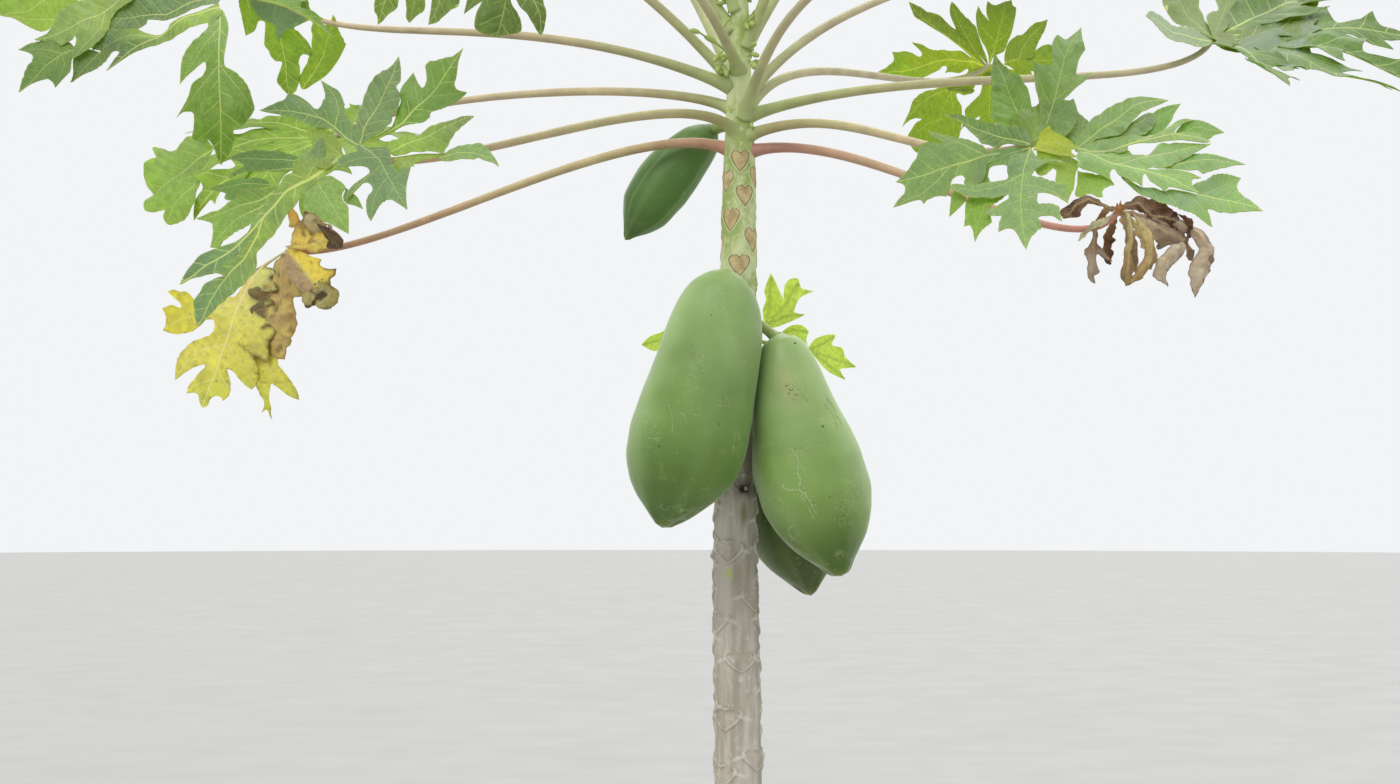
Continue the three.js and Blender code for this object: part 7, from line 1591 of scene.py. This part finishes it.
# ---------------------------------------------------------------- fruits
FRUITS = {
    "fruit_front_left": ([-14, -88, 1742], [-97, -88, 1416], 4, [1738, -104],
        [[0, 2], [.012, 14], [.03, 25], [.08, 42], [.15, 53], [.25, 61], [.35, 65], [.45, 69], [.55, 73.5], [.65, 75.5], [.75, 71.5], [.84, 59], [.9, 44], [.94, 31], [.965, 21.5], [.982, 14.5], [.993, 10], [1, 3]]),
    "fruit_right": ([51, -56, 1662], [130, -56, 1354], -6, [1690, -40],
        [[0, 2], [.012, 13], [.03, 23], [.08, 33], [.15, 41], [.25, 49], [.35, 57], [.45, 66], [.55, 71], [.65, 71], [.75, 64], [.85, 49], [.92, 31], [.95, 22], [.97, 17], [.985, 13], [.994, 9.5], [1, 3]]),
    "fruit_behind": ([36, 86, 1632], [99, 86, 1323], -2, [1650, 66],
        [[0, 2], [.012, 13], [.03, 23], [.08, 34], [.15, 43], [.25, 51], [.35, 58], [.45, 66], [.55, 70], [.65, 69], [.75, 63], [.85, 48], [.92, 30], [.955, 19], [.975, 13], [.99, 8], [1, 2]]),
    "fruit_upper_left": ([-28, 54, 1952], [-149, 54, 1797], -6, [1944, 118],
        [[0, 2], [.012, 4], [.03, 8], [.08, 18], [.15, 27], [.25, 32], [.35, 36], [.45, 38.3], [.55, 39], [.65, 37], [.75, 34], [.85, 24], [.92, 14], [.96, 8], [.985, 5], [1, 1.5]]),
}


def spline(x, xs, ys):
    """A curve through the points that doesn't overshoot."""
    xs, ys = np.asarray(xs, float), np.asarray(ys, float)
    h, d = np.diff(xs), np.diff(ys) / np.diff(xs)
    m = np.concatenate([[d[0]], np.where(d[:-1] * d[1:] > 0, 2 * d[:-1] * d[1:] / (d[:-1] + d[1:] + 1e-12), 0), [d[-1]]])
    i = np.clip(np.searchsorted(xs, x) - 1, 0, len(h) - 1)
    t = (x - xs[i]) / h[i]
    return (
        (2 * t**3 - 3 * t**2 + 1) * ys[i] + (t**3 - 2 * t**2 + t) * h[i] * m[i]
        + (-2 * t**3 + 3 * t**2) * ys[i + 1] + (t**3 - t**2) * h[i] * m[i + 1]
    )


def build_fruit(name, mat, number):
    top, tip, bend, (fz, fb), girth = FRUITS[name]
    top, tip = np.array(top, float), np.array(tip, float)
    axis = unit(tip - top)
    side = unit(RIGHT - axis * (RIGHT @ axis))
    other = np.cross(axis, side)
    n, sides = 150, 168
    t = 0.5 - 0.5 * np.cos(np.linspace(0, math.pi, n))
    ang = np.arange(sides) * 2 * math.pi / sides
    c = top + (tip - top) * t[:, None] + side * (bend * np.sin(math.pi * t))[:, None]
    r = spline(t, *np.array(girth).T)
    Tt, A = np.meshgrid(t, ang, indexing="ij")
    ring = np.cos(A)[..., None] * side + np.sin(A)[..., None] * other
    rr = r[:, None] * (1 + 0.011 * np.cos(5 * A + number * 1.3) * np.sin(math.pi * np.clip(Tt, 0, 1)) ** 0.6)
    pinch = smooth(0.9, 0.985, Tt)
    rr = rr * (1 + 0.1 * pinch * np.cos(5 * A + number * 1.3 + 0.3))
    V = (c[:, None] + ring * rr[..., None]).reshape(-1, 3)
    V = V + ring.reshape(-1, 3) * (1.5 * noise(V * 0.014 + number * 7) + 0.5 * noise(V * 0.04))[:, None] * smooth(0, 0.06, Tt.reshape(-1))[:, None]
    faces = []
    for i in range(n - 1):
        p, q = i * sides, (i + 1) * sides
        for j in range(sides):
            k = (j + 1) % sides
            faces.append((p + j, q + j, q + k, p + k))
    V = np.vstack([V, top, tip + axis * 1.0])
    last = (n - 1) * sides
    for j in range(sides):
        k = (j + 1) % sides
        faces.append((n * sides, j, k))
        faces.append((n * sides + 1, last + k, last + j))
    tt = np.append(Tt.reshape(-1), [0, 1])
    aa = np.append(A.reshape(-1), [0, 0])
    rn = np.vstack([ring.reshape(-1, 3), -axis, axis])
    # tones from the stalk end to the tip: the darker lower end is partly the fruit's own colour and partly painted
    # shade
    hi, low, deep = lin((138, 166, 100)), lin((116, 148, 72)), lin((70, 102, 26))
    if name == "fruit_right":
        hi, low, deep = lin((152, 178, 114)), lin((128, 158, 82)), lin((72, 102, 20))
    # painted shade: fruit_behind and fruit_upper_left take darker tones that paint in the shade they lie in
    if name == "fruit_behind":
        hi, low, deep = lin((82, 104, 42)), lin((72, 94, 30)), lin((66, 84, 22))
    if name == "fruit_upper_left":
        hi, low, deep = lin((96, 130, 66)), lin((84, 120, 54)), lin((76, 108, 44))
    w = 0.1 * noise(V * 0.012)
    k1, k2 = smooth(0.1, 0.62, tt + w)[:, None], smooth(0.6, 0.98, tt + w)[:, None]
    col = hi * (1 - k1) + low * k1
    col = col * (1 - k2) + deep * k2
    # soft lighter ribs
    ribs = np.clip(np.cos(5 * aa + number * 1.3), 0, 1)[:, None] ** 3 * 0.14
    col = col * (1 - ribs) + lin((150, 178, 118)) * ribs
    if name == "fruit_upper_left":
        # pale long lines down the skin
        lines = sum(np.exp(-(((aa - a0 + 0.03 * noise(V * 0.03) + math.pi) % (2 * math.pi) - math.pi) / 0.05) ** 2) for a0 in (2.2, 2.75, 3.9, 4.6, 5.2, 0.6))
        m = (np.clip(lines, 0, 1) * 0.4 * smooth(0.06, 0.2, tt) * smooth(0.96, 0.8, tt))[:, None]
        col = col * (1 - m) + lin((136, 170, 106)) * m
    # the side away from the camera goes back to a lighter green, without that painted shade
    if name in ("fruit_behind", "fruit_upper_left"):
        open_side = (smooth(0.0, 0.85, rn[:, 1] + 0.1 * noise(V * 0.02)) * 0.75)[:, None]
        col = col * (1 - open_side) + lin((118, 148, 82)) * open_side
    if name in ("fruit_front_left", "fruit_right"):
        # painted sheen: the outer side and the shoulders are painted paler
        out = rn[:, 0] * (-1 if name == "fruit_front_left" else 1)
        painted_sheen = smooth(0.35, 0.95, out + 0.12 * noise(V * 0.03)) * smooth(1.0, 0.7, tt) * 0.5
        painted_sheen = painted_sheen + smooth(0.1, 0.5, noise(V * 0.016 + 4)) * smooth(0.62, 0.2, tt) * 0.16
        painted_sheen = np.clip(painted_sheen, 0, 1)[:, None]
        col = col * (1 - painted_sheen) + lin((176, 202, 140)) * painted_sheen
        if name == "fruit_right":
            px, py = seen(V * MM)
            haze = np.exp(-(((px - 786 - 0.25 * (py - 385)) / 9) ** 2) - ((py - 385) / 17) ** 2) * (0.55 + 0.4 * noise(V * 0.08)) * (rn[:, 1] < 0)
            haze = np.clip(haze, 0, 0.6)[:, None]
            col = col * (1 - haze) + lin((180, 176, 118)) * haze
        glow = (smooth(0.55, 0.8, tt) * smooth(1.0, 0.9, tt) * smooth(-0.2, 0.5, noise(V * 0.02 + 9)) * 0.3)[:, None]
        col = col * (1 - glow) + lin((114, 142, 48)) * glow
    tipc = smooth(0.955, 1.0, tt)[:, None] * 0.55
    col = col * (1 - tipc) + lin((128, 134, 66)) * tipc
    neck = smooth(0.05, 0.0, tt)[:, None] * 0.6
    col = col * (1 - neck) + lin((140, 158, 84)) * neck
    parts = [(V, faces, col)]
    # the fruit's own stalk
    foot = np.array([trunk_centre(fz), 0, fz]) + direction(0, fb) * trunk_radius(fz) * 0.6
    end = top + axis * 12
    midp = foot + (end - foot) * 0.55 + direction(10, fb) * 6
    s = np.linspace(0, 1, 24)[:, None]
    path = foot * (1 - s) ** 2 + 2 * midp * s * (1 - s) + end * s * s
    rad = 6.4 + 1.2 * smooth(0.35, 0, s[:, 0]) + 2.2 * smooth(0.55, 0.95, s[:, 0])
    sv, sf, along, _, nrm = tube(path, rad, 20)
    sv = sv + nrm * (0.35 * noise(sv * 0.2))[:, None]
    sc = np.tile(lin((142, 158, 86)), (len(sv), 1)) * (1 + 0.1 * noise(sv * 0.1)[:, None])
    parts.append((sv, sf, sc))
    verts, fs, col = join(parts)
    return piece(name + "_skin", verts * MM, fs, mat, [name], {"col": col})


def build_fruit_marks(fruits, mat):
    """Dried latex in thin raised lines, a tan graze and small dark dots, all lying on the fruits' skin."""
    trees = []
    for o in fruits:
        me = o.data
        trees.append(BVHTree.FromPolygons([tuple(v.co) for v in me.vertices], [tuple(p.vertices) for p in me.polygons]))

    def touch(px, py):
        start, best = Vector(CAM), None
        d = Vector(unit(AHEAD + (px - 700) / FOCAL * RIGHT + (392 - py) / FOCAL * ABOVE))
        for t in trees:
            hit, normal, _, far = t.ray_cast(start, d, 6.0)
            if hit is not None and (best is None or far < best[2]):
                best = (np.array(hit), np.array(normal), far)
        return best

    parts = []

    def line(points, width, tone, seed):
        key = np.array(points, float)
        d = np.concatenate([[0], np.cumsum(np.linalg.norm(np.diff(key, axis=0), axis=1))])
        q = np.arange(0, d[-1], 0.7)
        x, y = np.interp(q, d, key[:, 0]), np.interp(q, d, key[:, 1])
        wob = np.stack([q * 0.35, np.full(len(q), seed * 1.7), np.zeros(len(q))], 1)
        x, y = x + 1.5 * noise(wob * 1.4), y + 1.5 * noise(wob * 1.4 + 40)
        hits = [touch(a, b) for a, b in zip(x, y)]
        if any(h is None for h in hits):
            return
        P, N = np.array([h[0] for h in hits]), np.array([h[1] for h in hits])
        t = unit(np.gradient(P, axis=0))
        side = unit(np.cross(t, N))
        w = width * MM * np.minimum(1, np.minimum(q, q[-1] - q) / 4 + 0.15) * (1 + 0.35 * noise(wob * 3 + 9))
        w = w[:, None]
        verts = np.stack([P - side * w - N * 0.0002, P + N * 0.00028, P + side * w - N * 0.0002, P - N * 0.0008], 1).reshape(-1, 3)
        faces = []
        for i in range(len(P) - 1):
            for j in range(4):
                k = (j + 1) % 4
                faces.append((i * 4 + j, i * 4 + k, i * 4 + 4 + k, i * 4 + 4 + j))
        m = (len(P) - 1) * 4
        faces += [(3, 2, 1, 0), (m, m + 1, m + 2, m + 3)]
        parts.append((verts, faces, np.tile(lin(tone), (len(verts), 1)) * (1 + 0.1 * noise(verts * 900)[:, None])))

    def spot(px, py, size, tone, high=0.3, squash=1.0):
        h = touch(px, py)
        if h is None:
            return
        p, n = h[0], h[1]
        a = unit(np.cross(n, UP))
        b = np.cross(n, a)
        verts, faces, sides = [], [], 16
        for r, up in ((1.0, -0.3), (0.72, 0.55), (0.36, 0.9)):
            for j in range(sides):
                ang = 2 * math.pi * j / sides
                wob = 1 + 0.14 * math.sin(3 * ang + px) + 0.08 * math.sin(5 * ang + py)
                verts.append(p + (a * math.cos(ang) + b * math.sin(ang) * squash) * size * r * wob * MM + n * up * high * MM)
        verts += [p + n * high * MM, p - n * 0.6 * MM]
        for k in range(2):
            for j in range(sides):
                z = (j + 1) % sides
                faces.append((k * sides + j, k * sides + z, (k + 1) * sides + z, (k + 1) * sides + j))
        for j in range(sides):
            z = (j + 1) % sides
            faces.append((2 * sides + j, 2 * sides + z, 3 * sides))
            faces.append((z, j, 3 * sides + 1))
        parts.append((np.array(verts), faces, np.tile(lin(tone), (len(verts), 1)) * (1 + 0.12 * noise(np.array(verts) * 700)[:, None])))

    rng = np.random.default_rng(77)
    pale, cream = (176, 196, 134), (192, 204, 152)
    for k, (points, w) in enumerate((
        ([(790, 447), (796, 455), (799, 463), (797, 472), (801, 480), (799, 488)], 0.55),
        ([(799, 463), (804, 470), (806, 482), (803, 492)], 0.4),
        ([(781, 486), (790, 491), (799, 490), (806, 495), (813, 507), (818, 517)], 0.5),
        ([(800, 488), (803, 498), (811, 512), (816, 522)], 0.45),
        ([(779, 496), (783, 505), (782, 514)], 0.35), ([(794, 449), (803, 447), (809, 452)], 0.35),
        ([(826, 397), (832, 405), (836, 414), (842, 424)], 0.4), ([(824, 404), (833, 415), (838, 430)], 0.35),
        ([(792, 384), (800, 390), (808, 402)], 0.4), ([(667, 402), (671, 410), (673, 424), (672, 436)], 0.35),
        ([(681, 411), (685, 416), (689, 426)], 0.35), ([(700, 366), (704, 374), (706, 380)], 0.3),
        ([(722, 395), (728, 402), (731, 410)], 0.35), ([(690, 343), (694, 351), (692, 360)], 0.3),
        ([(640, 388), (644, 401), (644, 416)], 0.35),
    )):
        line(points, w, cream if w > 0.45 else pale, k + 3)
        for a, b in zip(points, points[1:]):
            for q in range(7 if w > 0.38 else 3):
                part = rng.uniform()
                spot(a[0] + (b[0] - a[0]) * part + rng.normal(0, 1.5), a[1] + (b[1] - a[1]) * part + rng.normal(0, 1.5), rng.uniform(0.3, 1.0), cream if q % 2 else pale, 0.14, rng.uniform(0.4, 1.0))
    for cx, cy, sx, sy, count in ((798, 468, 7, 12, 26), (806, 500, 12, 9, 22), (727, 402, 6, 8, 18), (697, 352, 10, 9, 18), (836, 410, 5, 9, 12)):
        for _ in range(count):
            spot(rng.normal(cx, sx * 0.6), rng.normal(cy, sy * 0.6), rng.uniform(0.35, 0.95), pale, 0.16, rng.uniform(0.5, 1.0))
    for px, py, size in ((795, 343, 1.9), (823, 426, 1.7), (659, 446, 1.5), (719, 424, 1.1), (650, 452, 0.9), (830, 497, 0.9), (686, 470, 0.8)):
        spot(px, py, size, (74, 96, 48), 0.28)
        spot(px, py, size * 0.55, (124, 148, 84), 0.42)
    for px, py, size in ((787, 385, 2.6), (791, 389, 3.2), (796, 394, 2.8), (789, 393, 2.2), (794, 399, 1.8)):
        spot(px, py, size, (170, 184, 120), 0.12, 0.8)
    for px, py, size in ((797, 558, 2.6), (799, 563, 2.2), (796, 568, 1.8), (801, 555, 1.4)):
        spot(px, py, size, (122, 100, 66), 0.2, 0.7)
    verts, faces, col = join(parts)
    return piece("fruit_marks", verts, faces, mat, [], {"col": col})


# ---------------------------------------------------------------- side shoots, buds
SHOOTS = {
    "right": [
        ([(764.1, 325.9, 1), (763.4, 310.3), (766.9, 300.0), (765.5, 289.7), (771.0, 273.4, 1), (775.5, 281.0), (780.7, 293.1),
            (783.4, 299.3, 1), (784.8, 287.9), (789.3, 280.0), (797.9, 278.6), (801.4, 287.9), (814.5, 291.4, 1), (801.4, 296.6),
            (796.2, 305.2), (794.5, 312.1), (805.5, 314.5, 1), (796.2, 319.0), (784.1, 324.1), (773.8, 327.6)],
            [[(764.5, 325.9), (770.3, 306.9), (771.4, 277.0)], [(764.5, 325.9), (784.1, 306.9), (798.0, 283.0)],
            [(766.9, 324.1), (787.6, 315.5), (803.1, 314.5)]], 0.052, 0.0006),
        ([(780.7, 332.8, 1), (791.0, 325.9), (801.4, 325.2), (809.0, 331.0, 1), (806.6, 339.7), (808.5, 345.5, 1), (797.9, 337.5)],
            [[(782.0, 332.8), (794.0, 330.0), (807.5, 332.0)]], 0.05, 0.0004),
        ([(808.3, 348.3, 1), (815.2, 339.7), (825.5, 335.2), (835.2, 335.2), (832.4, 344.8), (842.8, 348.3), (845.5, 356.9),
            (856.6, 367.2, 1), (846.2, 368.3), (840.0, 369.7), (845.5, 380.0, 1), (832.4, 374.1), (823.8, 367.2), (815.2, 356.9)],
            [[(809.0, 349.0), (822.1, 344.8), (834.1, 336.2)], [(809.0, 349.0), (829.0, 356.9), (854.8, 366.6)],
            [(810.0, 350.0), (825.5, 362.1), (844.5, 378.6)]], 0.044, 0.0005),
    ],
    "left": [
        ([(668.0, 320.0, 1), (663.4, 331.0), (650.3, 336.2), (641.0, 344.8, 1), (653.1, 351.0), (663.4, 348.3), (672.0, 338.0)],
            [[(668.0, 338.0), (655.0, 341.0), (643.0, 344.8)], [(668.0, 336.0), (666.0, 324.0)]], 0.058, -0.0003),
    ],
}
SHOOT_LOBES = {
    "right": [[[-62, 0.62, 0.12], [-26, 1.05, 0.12], [30, 1.0, 0.12]], [[-40, 0.82, 0.12], [2, 1.0, 0.12], [58, 0.6, 0.12]]],
    "left": [[[-50, 0.7, 0.12], [0, 1.0, 0.12], [50, 0.75, 0.12]]],
}


def build_shoots(stalk_mat):
    look = leaf_look("side_shoot_leaf", lin((246, 250, 190)), (1.2, 1.28, 0.8), 0.45, thin=0.5)
    for side, foot, leaves in (
        ("right", [1662, 50], [([46, 52, 1682], 68, 0, -58, 66), ([86, 44, 1656], 70, -14, 22, 55)]),
        ("left", [1640, 160], [([-66, 58, 1658], 66, 182, -4, -58)]),
    ):
        parts, cols = [], []
        start = np.array([trunk_centre(foot[0]), 0, foot[0]]) + direction(0, foot[1]) * trunk_radius(foot[0]) * 0.6
        gs = []
        for i, (hub, R, b, dip, roll) in enumerate(leaves):
            hub = np.array(hub, float)
            lobes = SHOOT_LOBES[side][i]
            g = leaf_mesh(hub * MM, R * MM, b, dip, roll, lobes, 300 + i + (9 if side == "left" else 0), fold=0.1, ripple=0.8, thick=0.0007, style="simple")
            gs.append(g)
            d = hub - start
            mid = start + d * 0.5 + np.array([0, 0, -6.0])
            s = np.linspace(0, 1, 20)[:, None]
            path = (start * (1 - s) ** 2 + 2 * mid * s * (1 - s) + hub * s * s) * MM
            v, f, al, an, nn = tube(path, np.linspace(2.9, 1.6, 20) * MM, 12)
            parts.append((v, f))
            cols.append(np.tile(lin((158, 178, 84)), (len(v), 1)) * (1 + 0.12 * noise(v * 60)[:, None]))
        verts, faces = join(parts)
        stem = piece("side_shoot_%s_stem" % side, verts, faces, stalk_mat, [], {"col": np.vstack(cols)})
        uv_of(stem, "along", np.stack([verts[:, 2] * 4, verts[:, 0] * 40], 1))
        # short twigs from the stem to the small leaves
        twigs, tones = [], []
        ends = {
            "right": ((at(764.1, 325.9, 0.052), at(780.7, 332.8, 0.05)), (np.array([86, 44, 1656]) * MM, at(808.8, 348.6, 0.044))),
            "left": ((np.array([-66, 58, 1658]) * MM, at(670.0, 338.0, 0.058)),),
        }[side]
        for p, q in ends:
            s = np.linspace(0, 1, 12)[:, None]
            path = p * (1 - s) + q * s + np.array([0, 0, -0.002]) * np.sin(math.pi * s)
            v, f, al, an, nn = tube(path, np.linspace(1.6, 1.0, 12) * MM, 10)
            twigs.append((v, f))
            tones.append(np.tile(lin((170, 188, 94)), (len(v), 1)))
        verts, faces = join(twigs)
        twig = piece("side_shoot_%s_twig" % side, verts, faces, stalk_mat, [], {"col": np.vstack(tones)})
        uv_of(twig, "along", np.stack([verts[:, 2] * 4, verts[:, 0] * 40], 1))
        gs = []
        for i, (rows, ribs, y, lean) in enumerate(SHOOTS[side]):
            x0 = rows[0][0]
            gs.append(sheet(rows, ribs, lambda x, q: y - lean * (x - x0), 330 + i, wave=0.7, bulge=0.001, fold=0.14, step=1.1, cell=1.8, thick=0.0007))
        for i, g in enumerate(gs):
            top, low = lin((222, 234, 136)), lin((226, 236, 146))
            f = g["flat"] * 1.0
            k = noise(np.stack([f[:, 0], f[:, 1], np.full(len(f), 2.0)], 1) * 40)[:, None]
            col = np.where(g["side"][:, None] > 0, top, low) * (1 + 0.08 * k)
            col = over(col, smooth(0.002, 0.0004, g["to_rib"]) * 0.55, lin((146, 178, 62)))
            leaf_piece("side_shoot_%s_leaf_%d" % (side, i + 1), g, col, look, ["side_shoot_" + side] if i == 0 else [])


def bud(foot, tip, thick, seed):
    """A flower bud on its short stalk. Millimetres."""
    foot, tip = np.array(foot, float), np.array(tip, float)
    t = np.linspace(0, 1, 26)
    sagged = foot + (tip - foot) * t[:, None] + UP * (np.sin(math.pi * t) * 2.0)[:, None]
    r = thick * spline(t, [0, 0.25, 0.4, 0.5, 0.7, 0.86, 0.95, 1], [0.34, 0.28, 0.32, 0.62, 0.8, 0.66, 0.4, 0.08])
    v, f, along, ang, nrm = tube(sagged, r, 14)
    v = v + nrm * (0.07 * thick * np.cos(5 * ang) * smooth(0.4, 0.6, along))[:, None]
    k = smooth(0.35, 0.6, along + 0.05 * noise(v * 0.2 + seed))[:, None]
    col = lin((142, 166, 84)) * (1 - k) + lin((168, 186, 98)) * k
    end = smooth(0.9, 1.0, along)[:, None] * 0.6
    return v, f, col * (1 - end) + lin((118, 116, 58)) * end


def build_buds():
    parts = []
    P = lambda x, y, d: at(x, y, d) * 1000
    for a, b, w in (
        ((724, 50, -.012), (704, 36, -.03), 4.6), ((706, 37, -.03), (690, 30, -.034), 4.4), ((722, 52, -.014), (714, 62, -.034), 4.2),
        ((722, 60, -.014), (717, 73, -.03), 5.0), ((724, 66, -.016), (727, 77, -.03), 4.2), ((748, 50, -.014), (756, 44, -.036), 4.2),
        ((748, 56, -.014), (759, 56, -.03), 4.4), ((749, 60, -.015), (755, 69, -.032), 5.0), ((749, 62, -.012), (762, 64, -.014), 4.0),
        ((729, 106, -.02), (731, 113, -.029), 3.2), ((750, 122, -.016), (752, 128, -.026), 3.0), ((730, 20, -.01), (722, 28, -.026), 3.6),
        ((744, 20, -.01), (748, 30, -.026), 3.4),
    ):
        parts.append(bud(P(*a), P(*b), w, a[0]))
    rng = np.random.default_rng(5)
    for z, b in ((1975, 60), (1992, 120), (2004, 200), (2018, 20), (2030, 150), (2050, 90), (2066, -60), (2082, 30), (2100, 190)):
        foot = np.array([trunk_centre(z), 0, z]) + direction(0, b) * trunk_radius(z) * 0.8
        for k in range(3):
            d = direction(rng.uniform(-10, 40), b + rng.uniform(-32, 32))
            parts.append(bud(foot, foot + d * rng.uniform(15, 27), rng.uniform(3.4, 4.8), k + z))
    verts, faces, col = join(parts)
    m = Look("flower_bud_skin")
    base = m.mix(m.ramp(m.noise(m.place(), 300.0, 3.0), 0.4, 0.66, 0, 0.4), m.attr("col", True), lin((190, 202, 134)))
    bump = m.node("Bump", {"Strength": 0.3, "Distance": 0.0008, "Height": m.noise(m.place(), 420.0, 3.0)})
    s = m.node("BsdfPrincipled", {"Base Color": base, "Roughness": m.ramp(m.noise(m.place(), 90.0), 0.3, 0.7, 0.42, 0.6), "Normal": bump.outputs[0]})
    m.tree.links.new(s.outputs[0], m.out.inputs[0])
    return piece("flower_buds", verts * MM, faces, m.mat, [], {"col": col})


# ---------------------------------------------------------------- build
build_trunk()
stalk_skin = stalk_look()
for number in LEAVES:
    build_stalk(number, stalk_skin)
build_leaves()
dry_look = leaf_look("leaf_blade_dry", lin((224, 202, 154)), (1.1, 0.95, 0.7), 0.62, dry=0.14, thin=0.3)
build_yellow(leaf_look("leaf_blade_yellow", lin((246, 242, 196)), (1.2, 1.2, 0.8), 0.55, dry=0.06, thin=0.4), dry_look)
build_withered(dry_look)
skin = fruit_look()
build_fruit_marks([build_fruit(fruit, skin, number) for number, fruit in enumerate(FRUITS)], skin)
build_shoots(stalk_skin)
build_buds()

# ---------------------------------------------------------------- stage, light, camera
m = Look("studio_floor")
tone = m.mix(m.ramp(m.noise(m.place(), 0.6, 3.0), 0.3, 0.7), (0.33, 0.33, 0.325), (0.34, 0.34, 0.335))
floor_shader = m.node("BsdfPrincipled", {"Base Color": tone, "Roughness": m.ramp(m.noise(m.place(), 2.0), 0.3, 0.7, 0.7, 0.85)})
m.tree.links.new(floor_shader.outputs[0], m.out.inputs[0])
ring = 64
fv = [(0, 0, -0.0005)] + [(60 * math.cos(2 * math.pi * k / ring), 60 * math.sin(2 * math.pi * k / ring), -0.0005) for k in range(ring)]
me = bpy.data.meshes.new("floor")
me.from_pydata(fv, [], [(0, k + 1, (k + 1) % ring + 1) for k in range(ring)])
me.materials.append(m.mat)
floor = bpy.data.objects.new("floor", me)
bpy.context.scene.collection.objects.link(floor)

world = bpy.data.worlds.new("studio")
bpy.context.scene.world = world
world.use_nodes = True
world.node_tree.nodes["Background"].inputs["Color"].default_value = (0.97, 0.985, 1.0, 1.0)
world.node_tree.nodes["Background"].inputs["Strength"].default_value = 0.92


def sun(name, towards, strength, spread, colour):
    d = bpy.data.lights.new(name, "SUN")
    d.energy, d.angle, d.color = strength, math.radians(spread), colour
    o = bpy.data.objects.new(name, d)
    o.rotation_euler = Vector(towards).to_track_quat("-Z", "Y").to_euler()
    bpy.context.scene.collection.objects.link(o)


sun("key", (0.5, 0.62, -1.0), 1.35, 40, (1.0, 0.98, 0.94))
sun("sky_behind", (-0.25, -0.8, -1.15), 1.95, 50, (1.0, 1.0, 0.97))

cam_data = bpy.data.cameras.new("camera")
cam_data.lens, cam_data.sensor_width = LENS, 36
cam = bpy.data.objects.new("camera", cam_data)
cam.location = Vector(CAM)
cam.rotation_euler = (math.pi / 2 + PITCH, 0, 0)
bpy.context.scene.collection.objects.link(cam)
bpy.context.scene.camera = cam
bpy.context.scene.view_settings.view_transform = "Standard"
